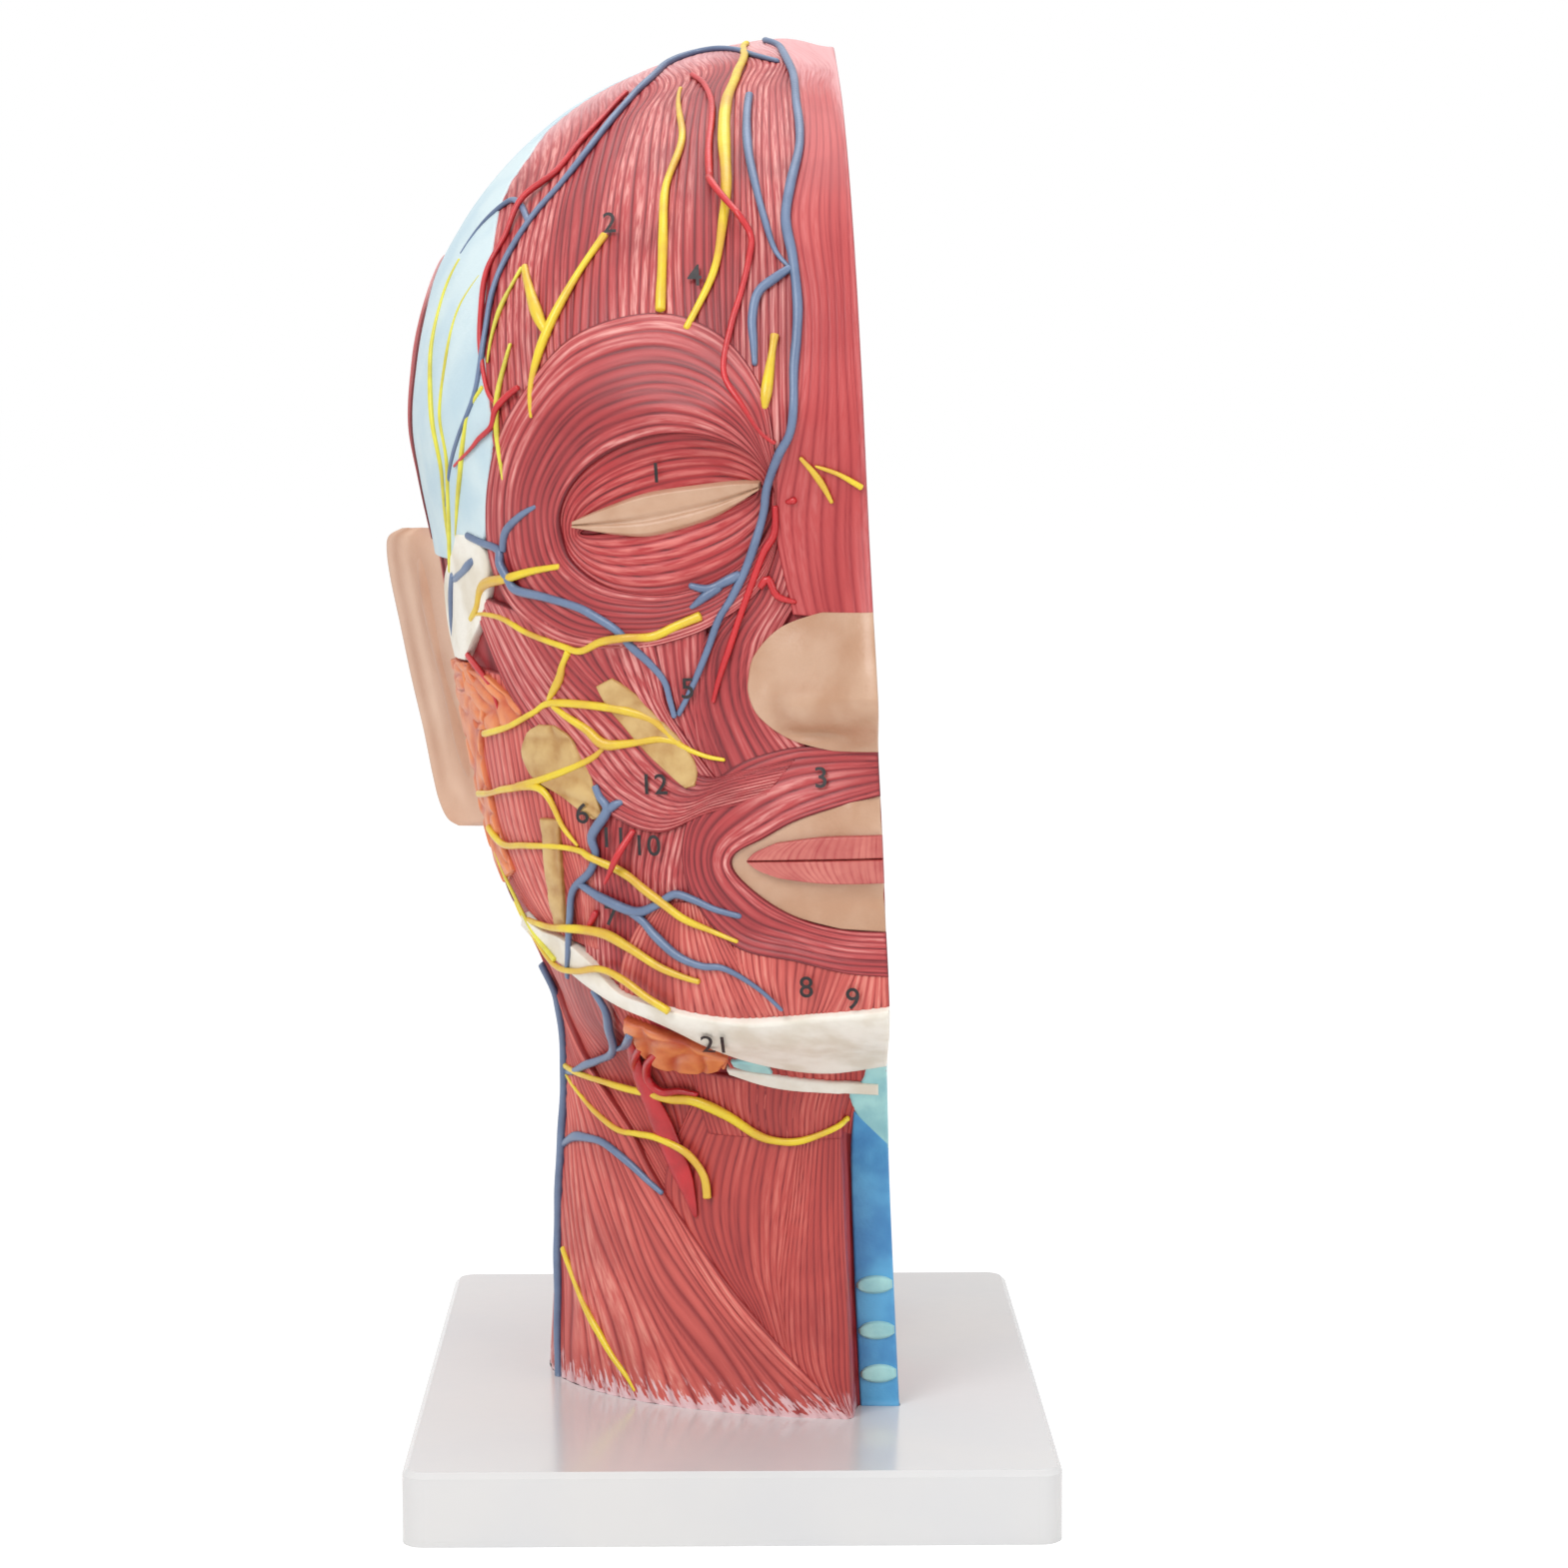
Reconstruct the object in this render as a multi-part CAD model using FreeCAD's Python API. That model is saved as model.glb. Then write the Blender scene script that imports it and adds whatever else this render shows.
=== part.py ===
import FreeCAD, Part
import math
import os

os.makedirs("parts", exist_ok=True)

Vector = FreeCAD.Vector

# Anatomical half head on a display base, in millimetres.
# The base's underside lies on z = 0, its centre is the origin, and the face looks along -Y.
# The half head is modelled in its own frame: its flat section face is x = 0, the flesh lies
# towards -X, z is the height above the base's top, and it is then leant and stood on the base.

# Driving size of the head: from the flat section face to the temple
HALF_BREADTH = 100.0

# How the head stands on its base
LEAN_DEGREES = 2.58
SECTION_OFFSET = 37.5

# Base tray, a hollow moulding
BASE_WIDTH = 140.0
BASE_DEPTH = 175.0
BASE_HEIGHT = 16.0
BASE_CORNER = 5.0
BASE_TOP_EDGE = 1.2
BASE_WALL = 2.6
RIB_THICKNESS = 1.8
RIB_ACROSS_COUNT = 3
RIB_ALONG_COUNT = 5
FOOT_WIDTH = 12.0
FOOT_THICKNESS = 2.0
FOOT_CLEARANCE = 0.15
FOOT_INSET = 12.0
FOOT_POST_WALL = 1.6

# Screws that hold the head down on the tray
SCREW_RADIUS = 2.0
SCREW_CLEARANCE = 0.25
SCREW_HEAD_RADIUS = 3.8
SCREW_HEAD_HEIGHT = 2.4
SCREW_LENGTH = 26.0
SCREW_POST_RADIUS = 7.5
SCREW_POST_FOOT = 6.0
PILOT_CLEARANCE = 0.05
SCREW_PLACE_SHARES = [(0.26, -0.18), (0.26, 0.30)]

# Wooden block inside the neck, which takes the screws
BLOCK_HEIGHT = 34.0
BLOCK_CLEARANCE = 0.8
BLOCK_CHAMFER = 3.0
BLOCK_TURN_SHARES = [0.18, 0.26, 0.34, 0.42, 0.50, 0.58, 0.67, 0.77, 0.88]

# Layers of the head, from outside in
FLESH = 2.4
THIN_FLESH = 1.8
SEAT_GAP = 0.3
FACET_ROOM = 0.85
SHELL_WALL = 3.0
PANEL_THICKNESS = 3.0
PANEL_RECESS = 2.0
PANEL_GAP = 0.6
RELIEF = 1.7
SLAB_RIM_DROP = 1.0
STRAND_SEAT = 0.5
OVERRUN = 20.0

# The head's form: each row holds the height, the front, the back, the breadth and the place of the
# widest point, as shares of the half breadth
FORM_ROW_SHARES = [
    (-0.12, -0.485, 0.600, 0.808, 0.03),
    (0.00, -0.480, 0.600, 0.798, 0.03),
    (0.26, -0.460, 0.580, 0.773, 0.04),
    (0.50, -0.455, 0.580, 0.751, 0.04),
    (0.66, -0.460, 0.590, 0.736, 0.05),
    (0.77, -0.490, 0.600, 0.728, 0.05),
    (0.84, -0.580, 0.605, 0.726, 0.04),
    (0.91, -0.720, 0.610, 0.732, 0.02),
    (0.99, -0.790, 0.620, 0.760, 0.01),
    (1.07, -0.800, 0.640, 0.803, 0.01),
    (1.16, -0.780, 0.670, 0.844, 0.02),
    (1.34, -0.780, 0.740, 0.884, 0.05),
    (1.50, -0.760, 0.830, 0.910, 0.08),
    (1.65, -0.740, 0.930, 0.933, 0.11),
    (1.81, -0.730, 1.020, 0.952, 0.14),
    (1.98, -0.740, 1.095, 0.972, 0.17),
    (2.11, -0.760, 1.135, 0.992, 0.18),
    (2.23, -0.760, 1.150, 1.007, 0.19),
    (2.37, -0.735, 1.135, 0.992, 0.20),
    (2.53, -0.670, 1.065, 0.947, 0.20),
    (2.68, -0.560, 0.950, 0.863, 0.20),
    (2.79, -0.440, 0.830, 0.773, 0.20),
    (2.89, -0.290, 0.695, 0.658, 0.20),
    (2.975, -0.120, 0.545, 0.516, 0.20),
    (3.03, 0.020, 0.420, 0.360, 0.20),
    (3.062, 0.120, 0.310, 0.195, 0.20),
    (3.07, 0.175, 0.230, 0.060, 0.20)]

# How much fuller than an ellipse each row is, in front and behind
FULLNESS_SHARES = [
    (0, 0), (0, 0), (0, 0), (0, 0.02), (0.02, 0.02), (0.04, 0.02), (0.06, 0.02), (0.08, 0.02),
    (0.08, 0.02), (0.06, 0.02), (0.05, 0.02), (0.06, 0.02), (0.08, 0.03), (0.09, 0.04),
    (0.10, 0.05), (0.12, 0.06), (0.13, 0.06), (0.13, 0.06), (0.12, 0.06), (0.10, 0.06),
    (0.08, 0.05), (0.06, 0.04), (0.04, 0.03), (0.02, 0.02), (0, 0), (0, 0), (0, 0)]

# Swellings and hollows of the face: distance from the section face, height, breadth, height of the
# swelling, and how far it stands out. In order: brow, eye socket, closed eye, cheekbone, cheek
# hollow, lips, chin
SWELLING_SHARES = [
    (0.30, 2.22, 0.26, 0.09, 0.040),
    (0.34, 2.03, 0.19, 0.13, -0.065),
    (0.36, 1.99, 0.14, 0.09, 0.045),
    (0.54, 1.80, 0.19, 0.15, 0.040),
    (0.50, 1.42, 0.16, 0.16, -0.020),
    (0.00, 1.32, 0.24, 0.19, 0.045),
    (0.00, 0.98, 0.17, 0.11, 0.030)]

# Nose: its root, tip, underside, how far the root and tip stand out, and its breadths
NOSE_ROOT_SHARE = 2.07
NOSE_TIP_SHARE = 1.64
NOSE_UNDER_SHARE = 1.57
NOSE_TOP_SHARE = 2.12
NOSE_ROOT_DEPTH_SHARE = 0.03
NOSE_TIP_DEPTH_SHARE = 0.15
NOSE_ROOT_BREADTH_SHARE = 0.07
NOSE_TIP_BREADTH_SHARE = 0.05
NOSE_UNDER_SOFTNESS_SHARE = 0.022
NOSE_TOP_SOFTNESS_SHARE = 0.04

# Notch in the front of the neck, in which the windpipe lies
NOTCH_DEPTH_SHARE = 0.11
NOTCH_BREADTH_SHARE = 0.101
NOTCH_TOP_SHARE = 0.62
NOTCH_SIDE_SOFTNESS_SHARE = 0.0025
NOTCH_TOP_SOFTNESS_SHARE = 0.05
NOTCH_WALL = 4.2

# Angles round the shell at which its sections have a corner, and the heights of its sections
SHELL_TURN_SHARES = [0, 0.018, 0.036, 0.046, 0.075, 0.105, 0.135, 0.165, 0.20, 0.24, 0.29, 0.35,
                     0.41, 0.47, 0.53, 0.59, 0.66, 0.73, 0.80, 0.87, 0.93, 1.0]
LINING_TURN_SHARES = [0, 0.030, 0.053, 0.067, 0.11, 0.18, 0.26, 0.34, 0.42, 0.50, 0.58, 0.67, 0.77,
                      0.88, 0.965, 1.0]
SHELL_HEIGHT_SHARES = [-0.12, 0.24, 0.50, 0.57, 0.64, 0.71, 0.77, 0.81, 0.86, 0.91, 0.99, 1.14, 1.24,
                       1.34, 1.43, 1.50,
                       1.58, 1.68, 1.81, 1.90, 1.97, 2.04, 2.11, 2.17, 2.23, 2.30, 2.37, 2.53, 2.68,
                       2.79, 2.89, 2.975, 3.03]
LINING_HEIGHT_SHARES = [-0.12, 0.24, 0.50, 0.66, 0.77, 0.84, 0.91, 0.99, 1.14, 1.34, 1.58, 1.81, 1.98,
                        2.11, 2.23, 2.37, 2.53, 2.68, 2.79, 2.89, 2.975, 3.03]
SHELL_CROWN_SHARE = 3.045
CROWN_PLACE_SHARE = 0.20

# Muscles: each line is a row of places, (distance from the section face, height), and a slab is
# laid from line to line
FRONTALIS_SHARES = [
    [(0.005, 2.42), (0.15, 2.41), (0.30, 2.47), (0.45, 2.485), (0.60, 2.43), (0.70, 2.33), (0.755, 2.22)],
    [(0.005, 3.055), (0.13, 3.045), (0.25, 3.02), (0.35, 2.985), (0.43, 2.94), (0.60, 2.74),
     (0.755, 2.53)]]
NOSE_ROOT_MUSCLE_SHARES = [
    [(0.005, 1.825), (0.19, 1.825)],
    [(0.005, 1.95), (0.175, 1.95)],
    [(0.005, 2.06), (0.165, 2.06)],
    [(0.005, 2.18), (0.17, 2.18)],
    [(0.005, 2.30), (0.18, 2.30)],
    [(0.005, 2.41), (0.19, 2.405)]]
EYE_CENTRE_SHARES = (0.42, 2.03)
EYE_REACH_SHARES = [(8, 0.232), (30, 0.262), (50, 0.325), (70, 0.385), (90, 0.41), (115, 0.41),
                    (140, 0.375), (165, 0.34), (190, 0.33), (215, 0.33), (240, 0.29), (265, 0.255),
                    (290, 0.245), (315, 0.245), (335, 0.238), (352, 0.232)]
EYE_OPENING_SHARES = (0.205, 0.048)
EYE_SLANT_DEGREES = 9.0
EYELID_SHARES = [
    [(0.60, 2.003), (0.52, 1.992), (0.42, 1.992), (0.33, 2.012), (0.26, 2.037), (0.225, 2.056)],
    [(0.60, 2.012), (0.52, 2.048), (0.42, 2.066), (0.33, 2.075), (0.26, 2.074), (0.225, 2.066)]]
MOUTH_CENTRE_SHARE = 1.30
MOUTH_INNER_SHARES = (0.335, 0.145)
MOUTH_REACH_SHARES = [(90, 0.215), (70, 0.235), (50, 0.295), (30, 0.365), (10, 0.42), (-10, 0.42),
                      (-30, 0.375), (-50, 0.29), (-70, 0.23), (-90, 0.205)]
LIP_RAISER_SHARES = [
    [[(0.185, 1.91), (0.198, 1.905)], [(0.22, 1.845), (0.24, 1.835)], [(0.275, 1.76), (0.345, 1.75)],
     [(0.285, 1.64), (0.36, 1.63)], [(0.27, 1.575), (0.345, 1.57)]],
    [[(0.365, 1.765), (0.47, 1.755)], [(0.37, 1.68), (0.455, 1.68)], [(0.37, 1.60), (0.43, 1.61)],
     [(0.36, 1.55), (0.41, 1.56)]]]
ZYGOMATIC_MUSCLE_SHARES = [
    [[(0.50, 1.745), (0.64, 1.765)], [(0.475, 1.69), (0.555, 1.705)], [(0.445, 1.63), (0.47, 1.635)],
     [(0.42, 1.575), (0.445, 1.585)]],
    [[(0.70, 1.76), (0.80, 1.745)], [(0.62, 1.66), (0.73, 1.635)], [(0.545, 1.56), (0.64, 1.525)],
     [(0.475, 1.475), (0.55, 1.44)], [(0.43, 1.41), (0.47, 1.38)]]]
MASSETER_SHARES = [
    [[(0.785, 1.585), (0.82, 1.585), (0.85, 1.58)], [(0.785, 1.49), (0.82, 1.49), (0.847, 1.48)],
     [(0.765, 1.415), (0.80, 1.415), (0.835, 1.415)], [(0.735, 1.345), (0.77, 1.345), (0.808, 1.345)],
     [(0.722, 1.25), (0.735, 1.25), (0.748, 1.25)], [(0.716, 1.205), (0.722, 1.205), (0.728, 1.205)]],
    [[(0.632, 1.345), (0.655, 1.345), (0.675, 1.345)], [(0.632, 1.25), (0.655, 1.25), (0.675, 1.25)],
     [(0.642, 1.155), (0.658, 1.155), (0.672, 1.155)]]]
BUCCINATOR_SHARES = [
    [(0.43, 1.35), (0.50, 1.375), (0.61, 1.39)],
    [(0.44, 1.27), (0.53, 1.28), (0.62, 1.29)],
    [(0.455, 1.19), (0.54, 1.18), (0.62, 1.17)],
    [(0.47, 1.12), (0.55, 1.10), (0.63, 1.11)]]
CHIN_MUSCLE_SHARES = [
    [[(0.005, 1.0), (0.215, 0.99)], [(0.005, 1.04), (0.225, 1.035)], [(0.005, 1.08), (0.235, 1.075)]],
    [[(0.245, 0.99), (0.455, 1.03)], [(0.27, 1.06), (0.45, 1.075)], [(0.36, 1.125), (0.445, 1.135)],
     [(0.405, 1.165), (0.44, 1.175)]]]
MANDIBLE_SHARES = [
    [(0.005, 0.815), (0.11, 0.80), (0.21, 0.808), (0.31, 0.84), (0.405, 0.90), (0.49, 0.945),
     (0.57, 0.975), (0.64, 1.01), (0.70, 1.06)],
    [(0.005, 0.985), (0.11, 0.975), (0.21, 0.97), (0.31, 0.975), (0.405, 1.0), (0.49, 1.03),
     (0.57, 1.06), (0.64, 1.115), (0.69, 1.135)]]
THROAT_MUSCLE_SHARES = [
    [[(0.11, 0.655), (0.23, 0.655), (0.35, 0.67)], [(0.10, 0.69), (0.23, 0.70), (0.36, 0.715)],
     [(0.08, 0.725), (0.22, 0.735), (0.365, 0.76)]],
    [[(0.04, 0.765), (0.12, 0.775), (0.24, 0.79)], [(0.04, 0.785), (0.12, 0.787), (0.24, 0.798)]]]
STRAP_MUSCLE_SHARES = [
    [[(0.108, 0.03), (0.12, 0.03)], [(0.108, 0.12), (0.195, 0.12)], [(0.108, 0.30), (0.213, 0.30)],
     [(0.108, 0.64), (0.213, 0.64)]],
    [[(0.222, 0.17), (0.24, 0.17)], [(0.222, 0.24), (0.275, 0.24)], [(0.222, 0.33), (0.35, 0.33)],
     [(0.222, 0.44), (0.425, 0.44)], [(0.222, 0.54), (0.455, 0.54)], [(0.222, 0.645), (0.44, 0.66)]]]
NECK_BED_SHARES = [
    [(0.44, 0.47), (0.455, 0.50)], [(0.475, 0.58), (0.50, 0.60)], [(0.46, 0.70), (0.53, 0.74)],
    [(0.42, 0.77), (0.515, 0.785)]]
HYOID_SHARES = [
    [[(0.03, 0.738), (0.12, 0.748), (0.22, 0.758), (0.29, 0.772), (0.335, 0.79)],
     [(0.03, 0.752), (0.12, 0.764), (0.22, 0.776), (0.29, 0.79), (0.335, 0.803)]],
    [[(0.27, 0.798), (0.32, 0.81)], [(0.285, 0.808), (0.32, 0.82)]]]
LARYNX_SHARES = [
    [(0.005, 0.575), (0.025, 0.575)], [(0.005, 0.65), (0.065, 0.65)], [(0.005, 0.72), (0.07, 0.72)],
    [(0.005, 0.73), (0.02, 0.73)], [(0.005, 0.79), (0.025, 0.79)]]
WINDPIPE_SHARES = [
    [(0.005, -0.04), (0.088, -0.04)], [(0.005, 0.28), (0.088, 0.28)], [(0.005, 0.50), (0.086, 0.50)],
    [(0.005, 0.56), (0.082, 0.60)]]
RING_HEIGHT_SHARES = [0.075, 0.172, 0.275]
RING_HALF_HEIGHT_SHARE = 0.02
RING_REACH_SHARE = 0.082
RING_END_SHARE = 0.005
STERNOMASTOID_SHARES = [
    (1.20, 0.580, 0.650), (1.06, 0.515, 0.635), (0.93, 0.455, 0.615), (0.80, 0.375, 0.600),
    (0.66, 0.290, 0.580), (0.55, 0.252, 0.565), (0.44, 0.210, 0.555), (0.325, 0.168, 0.545),
    (0.225, 0.130, 0.540), (0.115, 0.088, 0.535), (0.03, 0.055, 0.530), (-0.06, 0.050, 0.530)]
NAPE_SHARES = [
    [(1.30, 0.665, 0.790), (1.00, 0.650, 0.790), (0.66, 0.595, 0.780), (0.30, 0.560, 0.760),
     (-0.06, 0.545, 0.740)],
    [(1.48, 0.800, 0.995), (1.10, 0.805, 0.995), (0.66, 0.795, 0.995), (0.30, 0.775, 0.995),
     (-0.06, 0.755, 0.995)]]
OCCIPITAL_SHARES = [
    (1.34, 0.670, 0.785), (1.49, 0.660, 0.790), (1.51, 0.660, 0.880), (1.72, 0.660, 0.920),
    (1.96, 0.650, 0.930)]
SCALP_FRONT_SHARES = [
    (2.00, 0.825), (2.10, 0.800), (2.22, 0.785), (2.35, 0.795), (2.43, 0.800), (2.53, 0.780),
    (2.61, 0.740), (2.68, 0.685), (2.745, 0.620), (2.81, 0.560), (2.88, 0.505), (2.94, 0.450),
    (2.985, 0.370), (3.02, 0.275), (3.045, 0.150), (3.06, 0.080), (3.068, 0.030)]
SCALP_NAPE_SHARES = [
    (1.50, 0.900, 0.995), (1.56, 0.900, 0.995), (1.75, 0.935, 0.995), (1.98, 0.940, 0.995)]
PAROTID_SHARES = [
    [(0.700, 1.165), (0.735, 1.10)], [(0.775, 1.25), (0.845, 1.19)], [(0.835, 1.36), (0.878, 1.34)],
    [(0.862, 1.48), (0.900, 1.48)], [(0.868, 1.60), (0.918, 1.60)], [(0.880, 1.68), (0.928, 1.68)]]
GLAND_SHARES = [
    [(0.545, 0.865), (0.50, 0.805), (0.405, 0.795), (0.35, 0.817)],
    [(0.565, 0.90), (0.51, 0.86), (0.41, 0.84), (0.345, 0.832)],
    [(0.565, 0.935), (0.50, 0.912), (0.41, 0.872), (0.345, 0.843)]]
ZYGOMATIC_BONE_SHARES = [
    [(0.865, 1.72), (0.915, 1.71)], [(0.83, 1.79), (0.925, 1.79)], [(0.81, 1.87), (0.930, 1.87)],
    [(0.825, 1.94), (0.925, 1.95)]]
CHEEK_PAD_SHARES = [
    [[(0.595, 1.40), (0.66, 1.39)], [(0.60, 1.43), (0.73, 1.41)], [(0.63, 1.48), (0.75, 1.455)],
     [(0.67, 1.535), (0.765, 1.51)], [(0.705, 1.575), (0.765, 1.565)]],
    [[(0.365, 1.475), (0.40, 1.49)], [(0.415, 1.545), (0.45, 1.535)], [(0.47, 1.61), (0.505, 1.59)],
     [(0.52, 1.665), (0.55, 1.645)]],
    [[(0.69, 1.355), (0.72, 1.355)], [(0.69, 1.24), (0.712, 1.24)], [(0.685, 1.165), (0.698, 1.165)]]]
NOSE_SKIN_SHARES = [
    [(0.005, 1.535), (0.10, 1.54)], [(0.005, 1.565), (0.19, 1.565)], [(0.005, 1.60), (0.245, 1.60)],
    [(0.005, 1.64), (0.265, 1.64)], [(0.005, 1.68), (0.262, 1.68)], [(0.005, 1.73), (0.245, 1.73)],
    [(0.005, 1.78), (0.19, 1.78)], [(0.005, 1.81), (0.12, 1.81)]]
MOUTH_SKIN_SHARES = [
    [(0.005, 1.17), (0.08, 1.175)], [(0.005, 1.20), (0.185, 1.20)], [(0.005, 1.24), (0.265, 1.24)],
    [(0.005, 1.30), (0.315, 1.30)], [(0.005, 1.345), (0.285, 1.345)], [(0.005, 1.385), (0.20, 1.385)],
    [(0.005, 1.42), (0.10, 1.415)]]
LIP_SHARES = [
    [[(0.005, 1.258), (0.09, 1.262)], [(0.005, 1.277), (0.19, 1.277)], [(0.005, 1.298), (0.28, 1.298)]],
    [[(0.005, 1.306), (0.28, 1.302)], [(0.005, 1.335), (0.20, 1.333)], [(0.005, 1.368), (0.09, 1.362)]]]

# Thicknesses above and below the general flesh surface, for the pieces that stand proud
BONE_STAND = 1.4
GLAND_STAND = 1.2
LIP_THICKNESS = 1.5
EYELID_STAND = 0.6
RING_STAND = 1.0

SCALP_BACK_SHARE = 0.995

# Ear: height, front edge, back edge, and how far the back edge stands out from the section face
EAR_SECTION_SHARES = [
    (1.27, 0.13, 0.20, 0.935), (1.33, 0.11, 0.255, 0.965), (1.41, 0.12, 0.30, 0.985),
    (1.52, 0.13, 0.37, 1.010), (1.64, 0.13, 0.43, 1.045), (1.75, 0.13, 0.46, 1.075),
    (1.84, 0.15, 0.455, 1.098), (1.90, 0.18, 0.43, 1.100), (1.94, 0.25, 0.36, 1.085)]
EAR_THICKNESS = 3.2
EAR_RIM_RISE = 2.4
EAR_BOWL_DEPTH = 2.0
EAR_FULL_REACH_SHARE = 0.30
EAR_ROOT_SHARE = 0.35
EAR_PROFILE_SHARES = [(0.0, 0.0), (0.10, 0.55), (0.22, -0.75), (0.40, -1.0), (0.56, 0.35),
                      (0.70, 0.45), (0.82, -0.25), (0.94, 1.0), (1.0, 0.55)]

# Strands: half breadths and heights of their sections, and their routes over the form as
# (distance from the section face, height); a third value lifts the strand over another one
SECTION_SHOULDER_SHARE = 0.55
NERVE_HALF = 1.25
NERVE_HEIGHT = 1.6
THIN_NERVE_HALF = 0.7
THIN_NERVE_HEIGHT = 0.9
VEIN_HALF = 1.15
VEIN_HEIGHT = 1.5
ARTERY_HALF = 0.95
ARTERY_HEIGHT = 1.2
CAROTID_HALF = 2.2
CAROTID_HEIGHT = 2.4
STRAND_END_SHARE = 0.6

FOREHEAD_NERVE_SHARES = [
    [(0.19, 3.035), (0.22, 2.99), (0.25, 2.90), (0.26, 2.81), (0.26, 2.72), (0.27, 2.64), (0.295, 2.53),
     (0.36, 2.41)],
    [(0.35, 2.945), (0.35, 2.83), (0.39, 2.71), (0.40, 2.58), (0.41, 2.45)],
    [(0.52, 2.62), (0.585, 2.535), (0.65, 2.425), (0.69, 2.32), (0.695, 2.24)],
    [(0.175, 2.395), (0.19, 2.32), (0.205, 2.24)]]
NOSE_NERVE_SHARES = [
    [(0.135, 2.14, 0.004), (0.095, 2.09, 0.004), (0.07, 2.04, 0.004)],
    [(0.105, 2.12, 0.004), (0.055, 2.10, 0.004), (0.008, 2.07, 0.004)]]
TEMPLE_NERVE_SHARES = [
    [(0.855, 2.59), (0.895, 2.51), (0.925, 2.38), (0.925, 2.26), (0.91, 2.14)],
    [(0.805, 2.55), (0.855, 2.48), (0.885, 2.38), (0.905, 2.26), (0.895, 2.16)],
    [(0.705, 2.56), (0.74, 2.505), (0.77, 2.44), (0.79, 2.36)],
    [(0.80, 2.31), (0.835, 2.26), (0.85, 2.20), (0.868, 2.10)],
    [(0.76, 2.30), (0.755, 2.20), (0.752, 2.15)]]
FACIAL_NERVE_SHARES = [
    [(0.845, 1.83), (0.825, 1.88), (0.76, 1.90), (0.71, 1.915), (0.65, 1.925)],
    [(0.845, 1.815), (0.79, 1.81), (0.73, 1.78), (0.655, 1.755), (0.615, 1.745), (0.57, 1.765),
     (0.515, 1.775, 0.022), (0.46, 1.775), (0.41, 1.795), (0.355, 1.815)],
    [(0.85, 1.545), (0.79, 1.57), (0.73, 1.605), (0.685, 1.63), (0.57, 1.625), (0.475, 1.60),
     (0.415, 1.545), (0.365, 1.52), (0.32, 1.51)],
    [(0.655, 1.715), (0.665, 1.68), (0.69, 1.65)],
    [(0.655, 1.60), (0.61, 1.575), (0.575, 1.545), (0.53, 1.545), (0.455, 1.555)],
    [(0.555, 1.525), (0.60, 1.51), (0.66, 1.485), (0.72, 1.465)],
    [(0.87, 1.40, 0.016), (0.84, 1.412, 0.014), (0.80, 1.43), (0.72, 1.44), (0.675, 1.36),
     (0.645, 1.335)],
    [(0.85, 1.33, 0.016), (0.815, 1.30, 0.014), (0.77, 1.307), (0.695, 1.315), (0.64, 1.31),
     (0.62, 1.302, 0.022),
     (0.59, 1.29, 0.022), (0.565, 1.277), (0.535, 1.26), (0.50, 1.235, 0.022), (0.46, 1.205, 0.022),
     (0.42, 1.175, 0.022), (0.37, 1.15), (0.31, 1.125)],
    [(0.75, 1.12, 0.02), (0.71, 1.132, 0.036), (0.672, 1.137, 0.036), (0.635, 1.137, 0.036),
     (0.59, 1.13), (0.54, 1.105),
     (0.48, 1.07), (0.43, 1.05), (0.395, 1.04)]]
NECK_NERVE_SHARES = [
    [(0.70, 0.735, 0.02), (0.65, 0.745), (0.59, 0.738), (0.55, 0.732, 0.032), (0.505, 0.725, 0.032),
     (0.475, 0.722, 0.032), (0.42, 0.72), (0.355, 0.69),
     (0.29, 0.645), (0.245, 0.63), (0.195, 0.63), (0.135, 0.65), (0.085, 0.675)],
    [(0.69, 0.70), (0.655, 0.67), (0.60, 0.635), (0.56, 0.632), (0.53, 0.63, 0.032), (0.49, 0.625, 0.032),
     (0.455, 0.61, 0.032), (0.43, 0.585), (0.41, 0.545),
     (0.405, 0.495)],
    [(0.73, 0.29), (0.70, 0.22), (0.67, 0.17), (0.64, 0.12), (0.61, 0.08)]]
FOREHEAD_VEIN_SHARES = [
    [(0.125, 3.03), (0.105, 2.975), (0.10, 2.88), (0.10, 2.795), (0.125, 2.705), (0.14, 2.63),
     (0.13, 2.55),
     (0.125, 2.46), (0.13, 2.39), (0.14, 2.32), (0.145, 2.245), (0.155, 2.19), (0.18, 2.145),
     (0.205, 2.08),
     (0.215, 2.025), (0.235, 1.965), (0.26, 1.905), (0.29, 1.85), (0.32, 1.805), (0.345, 1.745),
     (0.37, 1.69), (0.395, 1.64)],
    [(0.20, 2.915), (0.21, 2.85), (0.21, 2.78), (0.20, 2.71), (0.185, 2.635), (0.17, 2.565),
     (0.152, 2.54)],
    [(0.155, 2.515), (0.18, 2.50), (0.205, 2.48), (0.22, 2.43), (0.22, 2.375), (0.22, 2.33)]]
CHEEK_VEIN_SHARES = [
    [(0.825, 1.975), (0.785, 1.96), (0.775, 1.93, 0.022), (0.76, 1.902, 0.024), (0.745, 1.875, 0.022),
     (0.69, 1.86), (0.62, 1.84), (0.58, 1.82),
     (0.535, 1.79), (0.505, 1.755), (0.47, 1.72), (0.44, 1.68), (0.43, 1.64), (0.42, 1.605, 0.022)],
    [(0.79, 1.985), (0.765, 2.0), (0.73, 2.035), (0.695, 2.055)],
    [(0.283, 1.906), (0.30, 1.885), (0.34, 1.87), (0.38, 1.88)],
    [(0.345, 1.855), (0.365, 1.84), (0.38, 1.83)]]
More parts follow.
